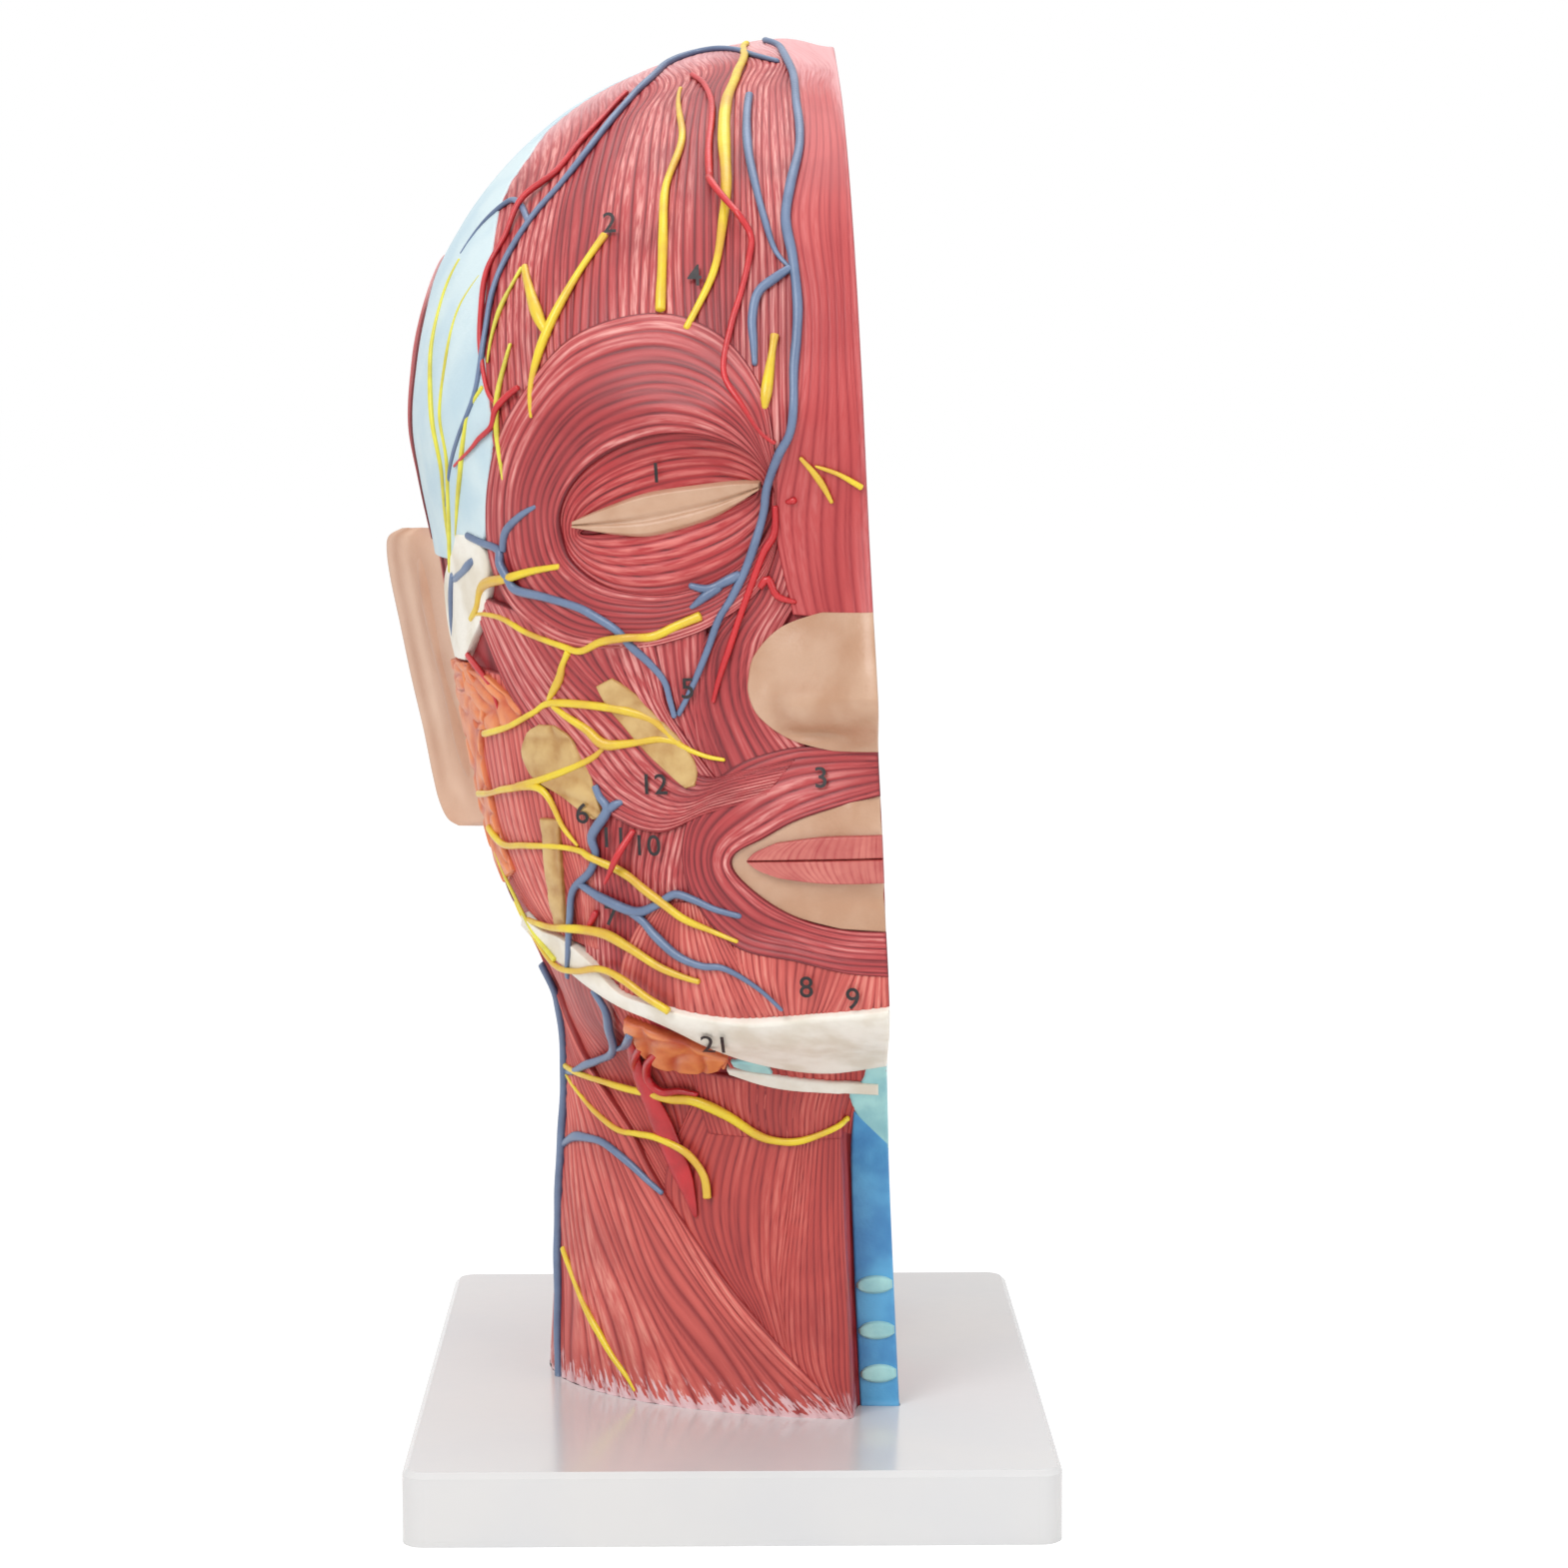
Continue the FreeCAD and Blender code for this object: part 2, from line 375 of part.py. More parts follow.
TEMPORAL_VEIN_SHARES = [
    [(0.33, 3.01), (0.405, 2.975), (0.455, 2.935), (0.51, 2.87), (0.565, 2.80), (0.62, 2.735),
     (0.685, 2.665),
     (0.73, 2.60), (0.77, 2.52), (0.79, 2.43), (0.815, 2.35), (0.845, 2.28), (0.87, 2.21)],
    [(0.705, 2.68), (0.73, 2.71), (0.775, 2.685), (0.815, 2.65), (0.855, 2.60)]]
FACIAL_VEIN_SHARES = [
    [(0.60, 1.455), (0.59, 1.43), (0.575, 1.40), (0.61, 1.345), (0.605, 1.305), (0.62, 1.265),
     (0.66, 1.22),
     (0.668, 1.15, 0.014), (0.672, 1.09, 0.016)],
    [(0.618, 1.222), (0.59, 1.208), (0.525, 1.185), (0.48, 1.20), (0.44, 1.225), (0.40, 1.215),
     (0.355, 1.195),
     (0.30, 1.18)],
    [(0.51, 1.165), (0.485, 1.135), (0.44, 1.095), (0.39, 1.075), (0.34, 1.07), (0.275, 1.03),
     (0.22, 0.985, 0.02)]]
NECK_VEIN_SHARES = [
    [(0.60, 0.955), (0.60, 0.90), (0.60, 0.83), (0.63, 0.80), (0.665, 0.775)],
    [(0.55, 0.905, 0.014), (0.562, 0.875, 0.014), (0.57, 0.85, 0.014)],
    [(0.715, 0.575), (0.70, 0.592), (0.68, 0.60), (0.635, 0.60), (0.58, 0.565), (0.535, 0.525),
     (0.505, 0.50)]]
JUGULAR_TURN_SHARES = [
    (0.460, 1.00), (0.455, 0.90), (0.448, 0.80), (0.442, 0.70), (0.445, 0.58), (0.450, 0.46),
    (0.446, 0.34), (0.432, 0.22), (0.425, 0.10)]
FOREHEAD_ARTERY_SHARES = [
    [(0.325, 2.975), (0.30, 2.95), (0.285, 2.91), (0.285, 2.86), (0.295, 2.785), (0.295, 2.735),
     (0.29, 2.705, 0.022), (0.25, 2.65, 0.022), (0.235, 2.63, 0.022), (0.215, 2.60), (0.22, 2.555),
     (0.24, 2.485), (0.265, 2.415), (0.285, 2.32),
     (0.25, 2.25), (0.215, 2.195), (0.185, 2.17)]]
TEMPORAL_ARTERY_SHARES = [
    [(0.47, 2.945), (0.52, 2.89), (0.575, 2.83), (0.63, 2.765), (0.70, 2.70, 0.024), (0.745, 2.63),
     (0.785, 2.56)],
    [(0.722, 2.30, 0.014), (0.74, 2.288, 0.014), (0.768, 2.26, 0.014), (0.78, 2.225, 0.014),
     (0.81, 2.20, 0.014),
     (0.835, 2.175, 0.014), (0.86, 2.145, 0.014)]]
FACE_ARTERY_SHARES = [
    [(0.19, 2.04), (0.195, 1.98), (0.22, 1.94), (0.25, 1.87), (0.275, 1.81), (0.30, 1.745), (0.325, 1.68),
     (0.34, 1.63)],
    [(0.145, 2.05), (0.17, 2.045)],
    [(0.232, 1.867), (0.212, 1.885), (0.195, 1.85), (0.155, 1.835)],
    [(0.52, 1.36), (0.542, 1.31, 0.026), (0.56, 1.272, 0.028), (0.575, 1.245, 0.026)],
    [(0.61, 1.18), (0.63, 1.14)],
    [(0.88, 1.72), (0.855, 1.695), (0.825, 1.655), (0.81, 1.60)]]
CAROTID_SHARES = [
    [(0.549, 0.835), (0.54, 0.79), (0.51, 0.69), (0.48, 0.58), (0.455, 0.49)]]
CAROTID_BRANCH_SHARES = [
    [(0.507, 0.783), (0.475, 0.767), (0.43, 0.748)]]

# Section face: outlines in the head's plane, (distance behind the ear line, height), as shares of
# the half breadth
VAULT_FRONT_END_SHARE = 2.10
VAULT_THICKNESS = 6.0
VAULT_SETBACK = 8.0
VAULT_BACK_END_SHARE = 1.50
SKULL_BASE_SHARES = [
    (-0.60, 1.98), (-0.30, 1.93), (-0.22, 1.86), (-0.10, 1.88), (-0.02, 1.80), (0.14, 1.60), (0.22, 1.45),
    (0.17, 1.44), (0.06, 1.58), (-0.06, 1.70), (-0.24, 1.72), (-0.40, 1.84), (-0.62, 1.90)]
CEREBRUM_SHARES = [
    (-0.57, 2.04), (-0.60, 2.28), (-0.50, 2.52), (-0.33, 2.70), (-0.10, 2.83), (0.20, 2.87), (0.50, 2.80),
    (0.76, 2.62), (0.92, 2.38), (0.96, 2.12), (0.86, 2.00), (0.62, 2.06), (0.40, 2.09), (0.10, 2.02),
    (-0.12, 1.97), (-0.36, 1.99)]
CALLOSUM_SHARES = [
    (-0.22, 2.17), (-0.20, 2.32), (-0.06, 2.44), (0.18, 2.49), (0.42, 2.44), (0.56, 2.32), (0.58, 2.22),
    (0.49, 2.21), (0.46, 2.30), (0.34, 2.37), (0.16, 2.40), (-0.02, 2.36), (-0.11, 2.27), (-0.14, 2.17)]
BRAINSTEM_SHARES = [
    (0.00, 2.14), (0.10, 2.28), (0.27, 2.32), (0.39, 2.22), (0.36, 2.06), (0.37, 1.84), (0.39, 1.60),
    (0.37, 1.40), (0.34, 0.90), (0.34, 0.20), (0.34, 0.07), (0.26, 0.07), (0.26, 0.20), (0.26, 0.90),
    (0.27, 1.40), (0.22, 1.62), (0.12, 1.76), (0.13, 1.96), (0.09, 2.02)]
CEREBELLUM_SHARES = [
    (0.45, 1.72), (0.44, 1.92), (0.56, 2.00), (0.74, 1.97), (0.90, 1.88), (0.88, 1.70), (0.74, 1.58),
    (0.58, 1.58)]
CONCHA_SHARES = [
    [(-0.64, 1.84), (-0.50, 1.87), (-0.32, 1.83), (-0.30, 1.79), (-0.48, 1.82), (-0.64, 1.80)],
    [(-0.64, 1.74), (-0.50, 1.78), (-0.28, 1.73), (-0.27, 1.67), (-0.48, 1.70), (-0.63, 1.69)],
    [(-0.64, 1.62), (-0.50, 1.66), (-0.26, 1.62), (-0.24, 1.55), (-0.48, 1.56), (-0.64, 1.56)]]
PALATE_SHARES = [
    (-0.69, 1.47), (-0.60, 1.52), (-0.34, 1.53), (-0.18, 1.48), (-0.10, 1.36), (-0.13, 1.33),
    (-0.24, 1.43),
    (-0.38, 1.475), (-0.60, 1.46), (-0.645, 1.42), (-0.645, 1.34), (-0.68, 1.335), (-0.69, 1.40)]
TONGUE_SHARES = [
    (-0.62, 1.16), (-0.64, 1.28), (-0.56, 1.36), (-0.38, 1.42), (-0.24, 1.38), (-0.17, 1.24),
    (-0.16, 1.06),
    (-0.26, 0.98), (-0.44, 1.00), (-0.56, 1.06)]
JAW_SHARES = [
    (-0.67, 0.995), (-0.70, 1.05), (-0.71, 1.14), (-0.70, 1.27), (-0.66, 1.29), (-0.645, 1.18),
    (-0.60, 1.11),
    (-0.60, 1.03), (-0.63, 0.99)]
THROAT_SHARES = [
    [(-0.25, 0.86), (-0.20, 0.90), (-0.12, 1.10), (-0.09, 1.10), (-0.12, 0.92), (-0.10, 0.70),
     (-0.08, 0.20),
     (-0.08, 0.07), (-0.13, 0.07), (-0.13, 0.20), (-0.15, 0.70)],
    [(-0.26, 0.74), (-0.25, 0.82), (-0.22, 0.80), (-0.22, 0.70), (-0.21, 0.20), (-0.21, 0.07),
     (-0.25, 0.07),
     (-0.25, 0.20), (-0.25, 0.60)]]
VERTEBRA_COUNT = 7
VERTEBRA_BOTTOM_SHARE = 0.06
VERTEBRA_PITCH_SHARE = 0.19
VERTEBRA_HEIGHT_SHARE = 0.145
VERTEBRA_FRONT_SHARE = 0.015
VERTEBRA_BACK_SHARE = 0.205
VERTEBRA_WAIST_SHARE = 0.012
DISC_INSET_SHARE = 0.01
DISC_CLEARANCE_SHARE = 0.004
SPINE_FRONT_SHARE = 0.38
SPINE_BACK_SHARE = 0.50
SPINE_HEIGHT_SHARE = 0.075
SPINE_DROP_SHARE = 0.06
RELIEF_EDGE = 0.5
OFFSET_JOINS = ["round", "tangent", "sharp"]


# Form of the head

def scaled(pairs):
    """Pairs of shares as lengths."""
    return [tuple(value * HALF_BREADTH for value in pair) for pair in pairs]


def slopes(places, values):
    """The slope at each place of a smooth curve that never overshoots its values."""
    steps = [b - a for a, b in zip(places, places[1:])]
    rises = [(b - a) / step for a, b, step in zip(values, values[1:], steps)]
    found = [rises[0]]
    for before, after, step, following in zip(rises, rises[1:], steps, steps[1:]):
        if before * after > 0:
            first = 2 * following + step
            second = following + 2 * step
            found.append((first + second) / (first / before + second / after))
        else:
            found.append(0.0)
    found.append(rises[-1])
    return found


ROW_HEIGHTS = [row[0] * HALF_BREADTH for row in FORM_ROW_SHARES]
ROW_VALUES = [[row[column] * HALF_BREADTH for row in FORM_ROW_SHARES] for column in range(1, 5)]
ROW_VALUES += [[pair[side] for pair in FULLNESS_SHARES] for side in range(2)]
ROW_SLOPES = [slopes(ROW_HEIGHTS, values) for values in ROW_VALUES]


def form_row(height):
    """Front, back, half breadth, middle, front fullness and back fullness at a height."""
    height = min(max(height, ROW_HEIGHTS[0]), ROW_HEIGHTS[-1])
    row = 0
    while row < len(ROW_HEIGHTS) - 2 and height > ROW_HEIGHTS[row + 1]:
        row += 1
    step = ROW_HEIGHTS[row + 1] - ROW_HEIGHTS[row]
    t = (height - ROW_HEIGHTS[row]) / step
    start = (1 + 2 * t) * (1 - t) ** 2
    leave = t * (1 - t) ** 2 * step
    end = t * t * (3 - 2 * t)
    arrive = t * t * (t - 1) * step
    return [start * values[row] + leave * slope[row] + end * values[row + 1] + arrive * slope[row + 1]
            for values, slope in zip(ROW_VALUES, ROW_SLOPES)]


def rise(value, softness):
    """Zero well below zero, one well above it, and smooth between."""
    return 1 / (1 + math.exp(-value / softness))


def nose_depth(side, height):
    """How far the nose stands out there."""
    drop = (NOSE_ROOT_SHARE * HALF_BREADTH - height) / ((NOSE_ROOT_SHARE - NOSE_TIP_SHARE) * HALF_BREADTH)
    drop = min(max(drop, 0.0), 1.0)
    depth = (NOSE_ROOT_DEPTH_SHARE + NOSE_TIP_DEPTH_SHARE * drop ** 1.3) * HALF_BREADTH
    breadth = (NOSE_ROOT_BREADTH_SHARE + NOSE_TIP_BREADTH_SHARE * drop) * HALF_BREADTH
    above = rise(height - NOSE_UNDER_SHARE * HALF_BREADTH, NOSE_UNDER_SOFTNESS_SHARE * HALF_BREADTH)
    below = rise(NOSE_TOP_SHARE * HALF_BREADTH - height, NOSE_TOP_SOFTNESS_SHARE * HALF_BREADTH)
    return depth * above * below * math.exp(-(side / breadth) ** 2)


def notch_depth(side, height, margin):
    """How deep the windpipe's notch is there, if it is widened by a margin."""
    reach = NOTCH_BREADTH_SHARE * HALF_BREADTH + margin
    across = rise(reach - side, NOTCH_SIDE_SOFTNESS_SHARE * HALF_BREADTH)
    down = rise(NOTCH_TOP_SHARE * HALF_BREADTH - height, NOTCH_TOP_SOFTNESS_SHARE * HALF_BREADTH)
    return NOTCH_DEPTH_SHARE * HALF_BREADTH * across * down


def form_point(turn, height, nose=True, notch=True, margin=0.0):
    """The place on the head at an angle round from the front and a height."""
    front, back, half, middle, front_fullness, back_fullness = form_row(height)
    sine = math.sin(turn)
    cosine = math.cos(turn)
    facing = cosine > 0
    fullness = front_fullness if facing else back_fullness
    side = half * sine * (1 + fullness * cosine ** 2)
    reach = middle - front if facing else back - middle
    depth = middle - reach * cosine * (1 + fullness * sine ** 2)
    weight = min(max(2 * cosine, 0.0), 1.0)
    weight = weight * weight * (3 - 2 * weight)
    if weight > 0:
        stand = nose_depth(side, height) if nose else 0.0
        if notch:
            stand -= notch_depth(abs(side), height, margin)
        for place, level, breadth, tall, out in scaled(SWELLING_SHARES):
            stand += out * math.exp(-((side - place) / breadth) ** 2 - ((height - level) / tall) ** 2)
        depth -= weight * stand
    return Vector(-side, depth, height)


TURN_STEP = math.pi / 360
HEIGHT_STEP = HALF_BREADTH / 250


def form_normal(turn, height, nose=True):
    """The outward direction of the head's surface there, as if the neck had no notch."""
    top = min(height + HEIGHT_STEP, ROW_HEIGHTS[-1])
    up = form_point(turn, top, nose, False) - form_point(turn, top - 2 * HEIGHT_STEP, nose, False)
    before = form_point(turn - TURN_STEP, height, nose, False)
    along = form_point(turn + TURN_STEP, height, nose, False) - before
    return up.cross(along).normalize()


def lifted(turn, height, lift):
    """A place over the head's surface, or under it where lift is negative."""
    return form_point(turn, height) + form_normal(turn, height) * lift


def turn_at(side, height):
    """The angle round from the front at which the head is that far from the section face."""
    half, fullness = form_row(height)[2], form_row(height)[4]
    low = 0.0
    high = math.pi / 2
    for _ in range(40):
        turn = (low + high) / 2
        if half * math.sin(turn) * (1 + fullness * math.cos(turn) ** 2) < side:
            low = turn
        else:
            high = turn
    return low


def front_line(pairs):
    """Places given by their distance from the section face, as angles and heights."""
    return [(turn_at(side, height), height) for side, height in scaled(pairs)]


def turn_line(height_share, start_share, end_share):
    """Two places at one height, given as shares of the way round to the back."""
    height = height_share * HALF_BREADTH
    return [(math.pi * start_share, height), (math.pi * end_share, height)]


# Solids over the form

def spread(line, count):
    """Places spread evenly along a smooth curve through the places of a line."""
    found = []
    last = len(line) - 1
    for step in range(count + 1):
        place = last * step / count
        near = min(int(place), last - 1)
        t = place - near
        points = [line[min(max(near + k, 0), last)] for k in (-1, 0, 1, 2)]
        found.append(tuple(blend(values, t) for values in zip(*points)))
    return found


def blend(values, t):
    """Catmull and Rom's curve between the second and third of four values."""
    before, start, end, after = values
    bend = (2 * before - 5 * start + 4 * end - after) * t * t
    turn = (3 * start - before - 3 * end + after) * t ** 3
    return start + 0.5 * ((end - before) * t + bend + turn)


def between(first, second, share):
    """A line part of the way from one line to the next."""
    return [tuple(a + (b - a) * share for a, b in zip(one, other)) for one, other in zip(first, second)]


def laid(lines, across, steps):
    """Rows of places from line to line."""
    even = [spread(line, across) for line in lines]
    rows = []
    for first, second in zip(even, even[1:]):
        rows += [between(first, second, step / steps) for step in range(steps)]
    return rows + [even[-1]]


def edge_fall(place, last):
    """How far a slab's rounded rim has dropped: nothing in the middle, one at both edges."""
    return abs(2 * place / last - 1) ** 6


def facet(first, second, third):
    """A plane three-sided face."""
    return Part.Face(Part.makePolygon([first, second, third, first]))


def end_facets(ring):
    """A strip of facets across the inside of a ring, from its first and last corners inwards."""
    faces = []
    low = 0
    high = len(ring) - 1
    while high - low > 1:
        faces.append(facet(ring[low], ring[low + 1], ring[high]))
        low += 1
        if high - low > 1:
            faces.append(facet(ring[low], ring[high - 1], ring[high]))
            high -= 1
    return faces


def closed_solid(rings):
    """The solid of plane facets through rings of corners, with a strip of facets over each end."""
    faces = end_facets(rings[0]) + end_facets(rings[-1])
    count = len(rings[0])
    for low, high in zip(rings, rings[1:]):
        for corner in range(count):
            following = (corner + 1) % count
            faces.append(facet(low[corner], low[following], high[following]))
            faces.append(facet(low[corner], high[following], high[corner]))
    shell = Part.Shell(faces)
    shell.sewShape()
    solid = Part.Solid(shell)
    if solid.Volume < 0:
        solid.reverse()
    return solid


def slab(lines, across, steps=1, bottom=-FLESH, top=0.0, drop=SLAB_RIM_DROP):
    """A sheet of flesh over the head, laid from line to line and thinner at its rim."""
    rows = laid(lines, across, steps)
    rings = []
    for number, row in enumerate(rows):
        end = edge_fall(number, len(rows) - 1)
        outer = []
        for place, (turn, height) in enumerate(row):
            fall = max(end, edge_fall(place, across))
            outer.append(lifted(turn, height, top - drop * fall))
        inner = [lifted(turn, height, bottom) for turn, height in row]
        rings.append(outer + inner[::-1])
    return closed_solid(rings)


def front_slab(table, across, steps=1, **layers):
    """A sheet of flesh from a table of lines measured from the section face."""
    return slab([front_line(line) for line in table], across, steps, **layers)


def strand_ring(centre, along, normal, half, height):
    """The corners of one flat-bottomed section of a strand, square to its run."""
    side = along.cross(normal).normalize()
    shoulder = half * SECTION_SHOULDER_SHARE
    top = normal * height
    return [centre - side * half, centre - side * shoulder + top, centre + side * shoulder + top,
            centre + side * half]


def strand(places, half, height):
    """A vessel or nerve over the head, laid along its places; each place may add a lift."""
    centres = [lifted(turn, level, STRAND_SEAT + lift) for turn, level, lift in places]
    last = len(places) - 1
    rings = []
    for number, (turn, level, lift) in enumerate(places):
        normal = form_normal(turn, level)
        along = centres[min(number + 1, last)] - centres[max(number - 1, 0)]
        square = (normal - along * (normal.dot(along) / along.dot(along))).normalize()
        size = STRAND_END_SHARE if number in (0, last) else 1
        rings.append(strand_ring(centres[number], along, square, half * size, height * size))
    return closed_solid(rings)


def route(shares):
    """A strand's places, as angles, heights and lifts."""
    found = []
    for place in shares:
        lift = place[2] * HALF_BREADTH if len(place) > 2 else 0.0
        side = place[0] * HALF_BREADTH
        height = place[1] * HALF_BREADTH
        found.append((turn_at(side, height), height, lift))
    return found


def strands(tables, half, height):
    """A group of strands of one size."""
    return [strand(route(table), half, height) for table in tables]


# Placing and writing

LEAN = FreeCAD.Placement(Vector(SECTION_OFFSET, 0, BASE_HEIGHT),
                         FreeCAD.Rotation(Vector(0, 1, 0), -LEAN_DEGREES))


def stood(solids, trimmed=False):
    """The head's solids leant and stood on the base, with their feet cut level if asked."""
    placed = []
    for solid in solids:
        copy = solid.copy()
        copy.Placement = LEAN.multiply(copy.Placement)
        if trimmed:
            copy = copy.cut(base_space())
        placed.append(copy)
    return placed


def base_space():
    """The space that the base takes, and more below it."""
    width = BASE_WIDTH + 2 * OVERRUN
    depth = BASE_DEPTH + 2 * OVERRUN
    corner = Vector(-width / 2, -depth / 2, -OVERRUN)
    return Part.makeBox(width, depth, BASE_HEIGHT + OVERRUN, corner)


def write(name, shapes):
    """One node's file, of one solid or of a group of them."""
    solids = [solid for shape in shapes for solid in shape.Solids]
    shape = solids[0] if len(solids) == 1 else Part.makeCompound(solids)
    shape.exportStep("parts/" + name + ".step")
    valid = all(solid.isValid() for solid in solids)
    print(name, len(solids), "solids", round(sum(solid.Volume for solid in solids)), "mm3", "valid", valid)


# Base

def tray_form(inset, top):
    """The tray's outside with round upright edges, or its hollow where it is inset."""
    width = BASE_WIDTH - 2 * inset
    depth = BASE_DEPTH - 2 * inset
    box = Part.makeBox(width, depth, top, Vector(-width / 2, -depth / 2, 0))
    upright = [edge for edge in box.Edges if abs(edge.Vertexes[0].Z - edge.Vertexes[1].Z) > top / 2]
    return box.makeFillet(BASE_CORNER - inset, upright)


def foot_places():
    """The centres of the four rubber feet."""
    x = BASE_WIDTH / 2 - FOOT_INSET
    y = BASE_DEPTH / 2 - FOOT_INSET
    return [Vector(across * x, along * y, 0) for across in (-1, 1) for along in (-1, 1)]


def screw_places():
    """Where the two screws stand, under the block in the neck."""
    return [Vector(SECTION_OFFSET - side, depth, 0) for side, depth in scaled(SCREW_PLACE_SHARES)]


def raised(place, height):
    """A place moved up to a height."""
    return Vector(place.x, place.y, height)


def rib_places(length, count):
    """Where evenly spread ribs start along one side of the tray."""
    return [length * ((number + 1) / (count + 1) - 1 / 2) - RIB_THICKNESS / 2 for number in range(count)]


def base_tray():
    """Hollow tray with a grid of ribs, two screw posts and four pockets for the feet."""
    ceiling = BASE_HEIGHT - BASE_WALL
    body = tray_form(0, BASE_HEIGHT)
    rim = [edge for edge in body.Edges
           if min(vertex.Z for vertex in edge.Vertexes) > BASE_HEIGHT - BASE_TOP_EDGE / 2]
    body = body.makeChamfer(BASE_TOP_EDGE, rim)
    hollow = tray_form(BASE_WALL, ceiling)
    inside = []
    for x in rib_places(BASE_WIDTH, RIB_ACROSS_COUNT):
        inside.append(Part.makeBox(RIB_THICKNESS, BASE_DEPTH, ceiling, Vector(x, -BASE_DEPTH / 2, 0)))
    for y in rib_places(BASE_DEPTH, RIB_ALONG_COUNT):
        inside.append(Part.makeBox(BASE_WIDTH, RIB_THICKNESS, ceiling, Vector(-BASE_WIDTH / 2, y, 0)))
    for place in foot_places():
        inside.append(foot_box(place, FOOT_CLEARANCE + FOOT_POST_WALL, ceiling))
    for place in screw_places():
        inside.append(Part.makeCylinder(SCREW_POST_RADIUS, ceiling - SCREW_POST_FOOT,
                                        raised(place, SCREW_POST_FOOT)))
    kept = inside[0].multiFuse(inside[1:]).common(hollow)
    spaces = []
    for place in screw_places():
        spaces.append(Part.makeCylinder(SCREW_RADIUS + SCREW_CLEARANCE, BASE_HEIGHT, place))
        spaces.append(Part.makeCylinder(SCREW_POST_RADIUS, SCREW_POST_FOOT, place))
    for place in foot_places():
        spaces.append(foot_box(place, FOOT_CLEARANCE, FOOT_THICKNESS))
    tray = body.cut(hollow).fuse(kept)
    for space in spaces:
        tray = tray.cut(space)
    return [tray.removeSplitter()]


def foot_box(place, margin, height):
    """The square space of one foot, widened by a margin."""
    size = FOOT_WIDTH + 2 * margin
    return Part.makeBox(size, size, height, Vector(place.x - size / 2, place.y - size / 2, 0))


def rubber_feet():
    """Four square pads in the tray's corner pockets."""
    return [foot_box(place, 0.0, FOOT_THICKNESS) for place in foot_places()]


def base_screws():
    """Screws driven from below through the tray into the block in the neck."""
    screws = []
    for place in screw_places():
        head = Part.makeCylinder(SCREW_HEAD_RADIUS, SCREW_HEAD_HEIGHT,
                                 raised(place, SCREW_POST_FOOT - SCREW_HEAD_HEIGHT))
        shank = Part.makeCylinder(SCREW_RADIUS, SCREW_LENGTH, raised(place, SCREW_POST_FOOT))
        screws.append(head.fuse(shank).removeSplitter())
    return screws


# Shell and what it holds

def shell_point(turn_share, height, lift, nose=False, margin=NOTCH_WALL):
    """A corner of a section of the shell at a depth under the surface."""
    turn = math.pi * turn_share
    point = form_point(turn, height, nose, True, margin) + form_normal(turn, height, nose) * lift
    side = 0 if turn_share in (0, 1) else point.x
    return Vector(side, point.y, height if height < 0 else point.z)


def shell_rings(turn_shares, height_shares, lift, **form):
    """Level sections of the head's form at one depth under the surface, and one more at its crown."""
    rings = [[shell_point(turn, share * HALF_BREADTH, lift, **form) for turn in turn_shares]
             for share in height_shares]
    crown = SHELL_CROWN_SHARE * HALF_BREADTH + lift + FLESH
    middle = CROWN_PLACE_SHARE * HALF_BREADTH
    small = [Vector(corner.x / 3, middle + (corner.y - middle) / 3, crown) for corner in rings[-1]]
    return rings + [small]


def head_shell():
    """Hollow moulded shell that carries every muscle, open at the section face and the foot."""
    outside = shell_rings(SHELL_TURN_SHARES, SHELL_HEIGHT_SHARES, -shell_depth(), nose=True, margin=0.0)
    hollow = []
    for ring in shell_rings(LINING_TURN_SHARES, LINING_HEIGHT_SHARES, -lining_depth()):
        front = Vector(OVERRUN, ring[0].y, ring[0].z)
        back = Vector(OVERRUN, ring[-1].y, ring[-1].z)
        hollow.append([front] + ring + [back])
    return stood([closed_solid(outside).cut(closed_solid(hollow))], trimmed=True)


def shell_depth():
    """How far the shell's outside lies under the surface, with room for the facets of what lies on it."""
    return FLESH + SEAT_GAP + FACET_ROOM


def lining_depth():
    """How far the shell's inner wall lies under the surface."""
    return shell_depth() + SHELL_WALL


def median_line(lift, front_from, back_from):
    """Corners up the front and down the back of the section face, each from a height."""
    heights = [share * HALF_BREADTH for share in LINING_HEIGHT_SHARES]
    front = [shell_point(0, height, lift) for height in heights if height >= front_from]
    back = [shell_point(1, height, lift) for height in reversed(heights) if height >= back_from]
    return front + back


def upright_plate(corners, outer, inner):
    """A flat plate between two distances from the section face."""
    corners = [Vector(-outer, corner.y, corner.z) for corner in corners]
    face = Part.Face(Part.makePolygon(corners + corners[:1]))
    return face.extrude(Vector(outer - inner, 0, 0))


def section_panel():
    """Flat panel that closes the shell's open side, set back from its rim."""
    edge = median_line(-(lining_depth() + PANEL_GAP), ROW_HEIGHTS[0], ROW_HEIGHTS[0])
    return stood([upright_plate(edge, PANEL_RECESS, PANEL_RECESS + PANEL_THICKNESS)], trimmed=True)


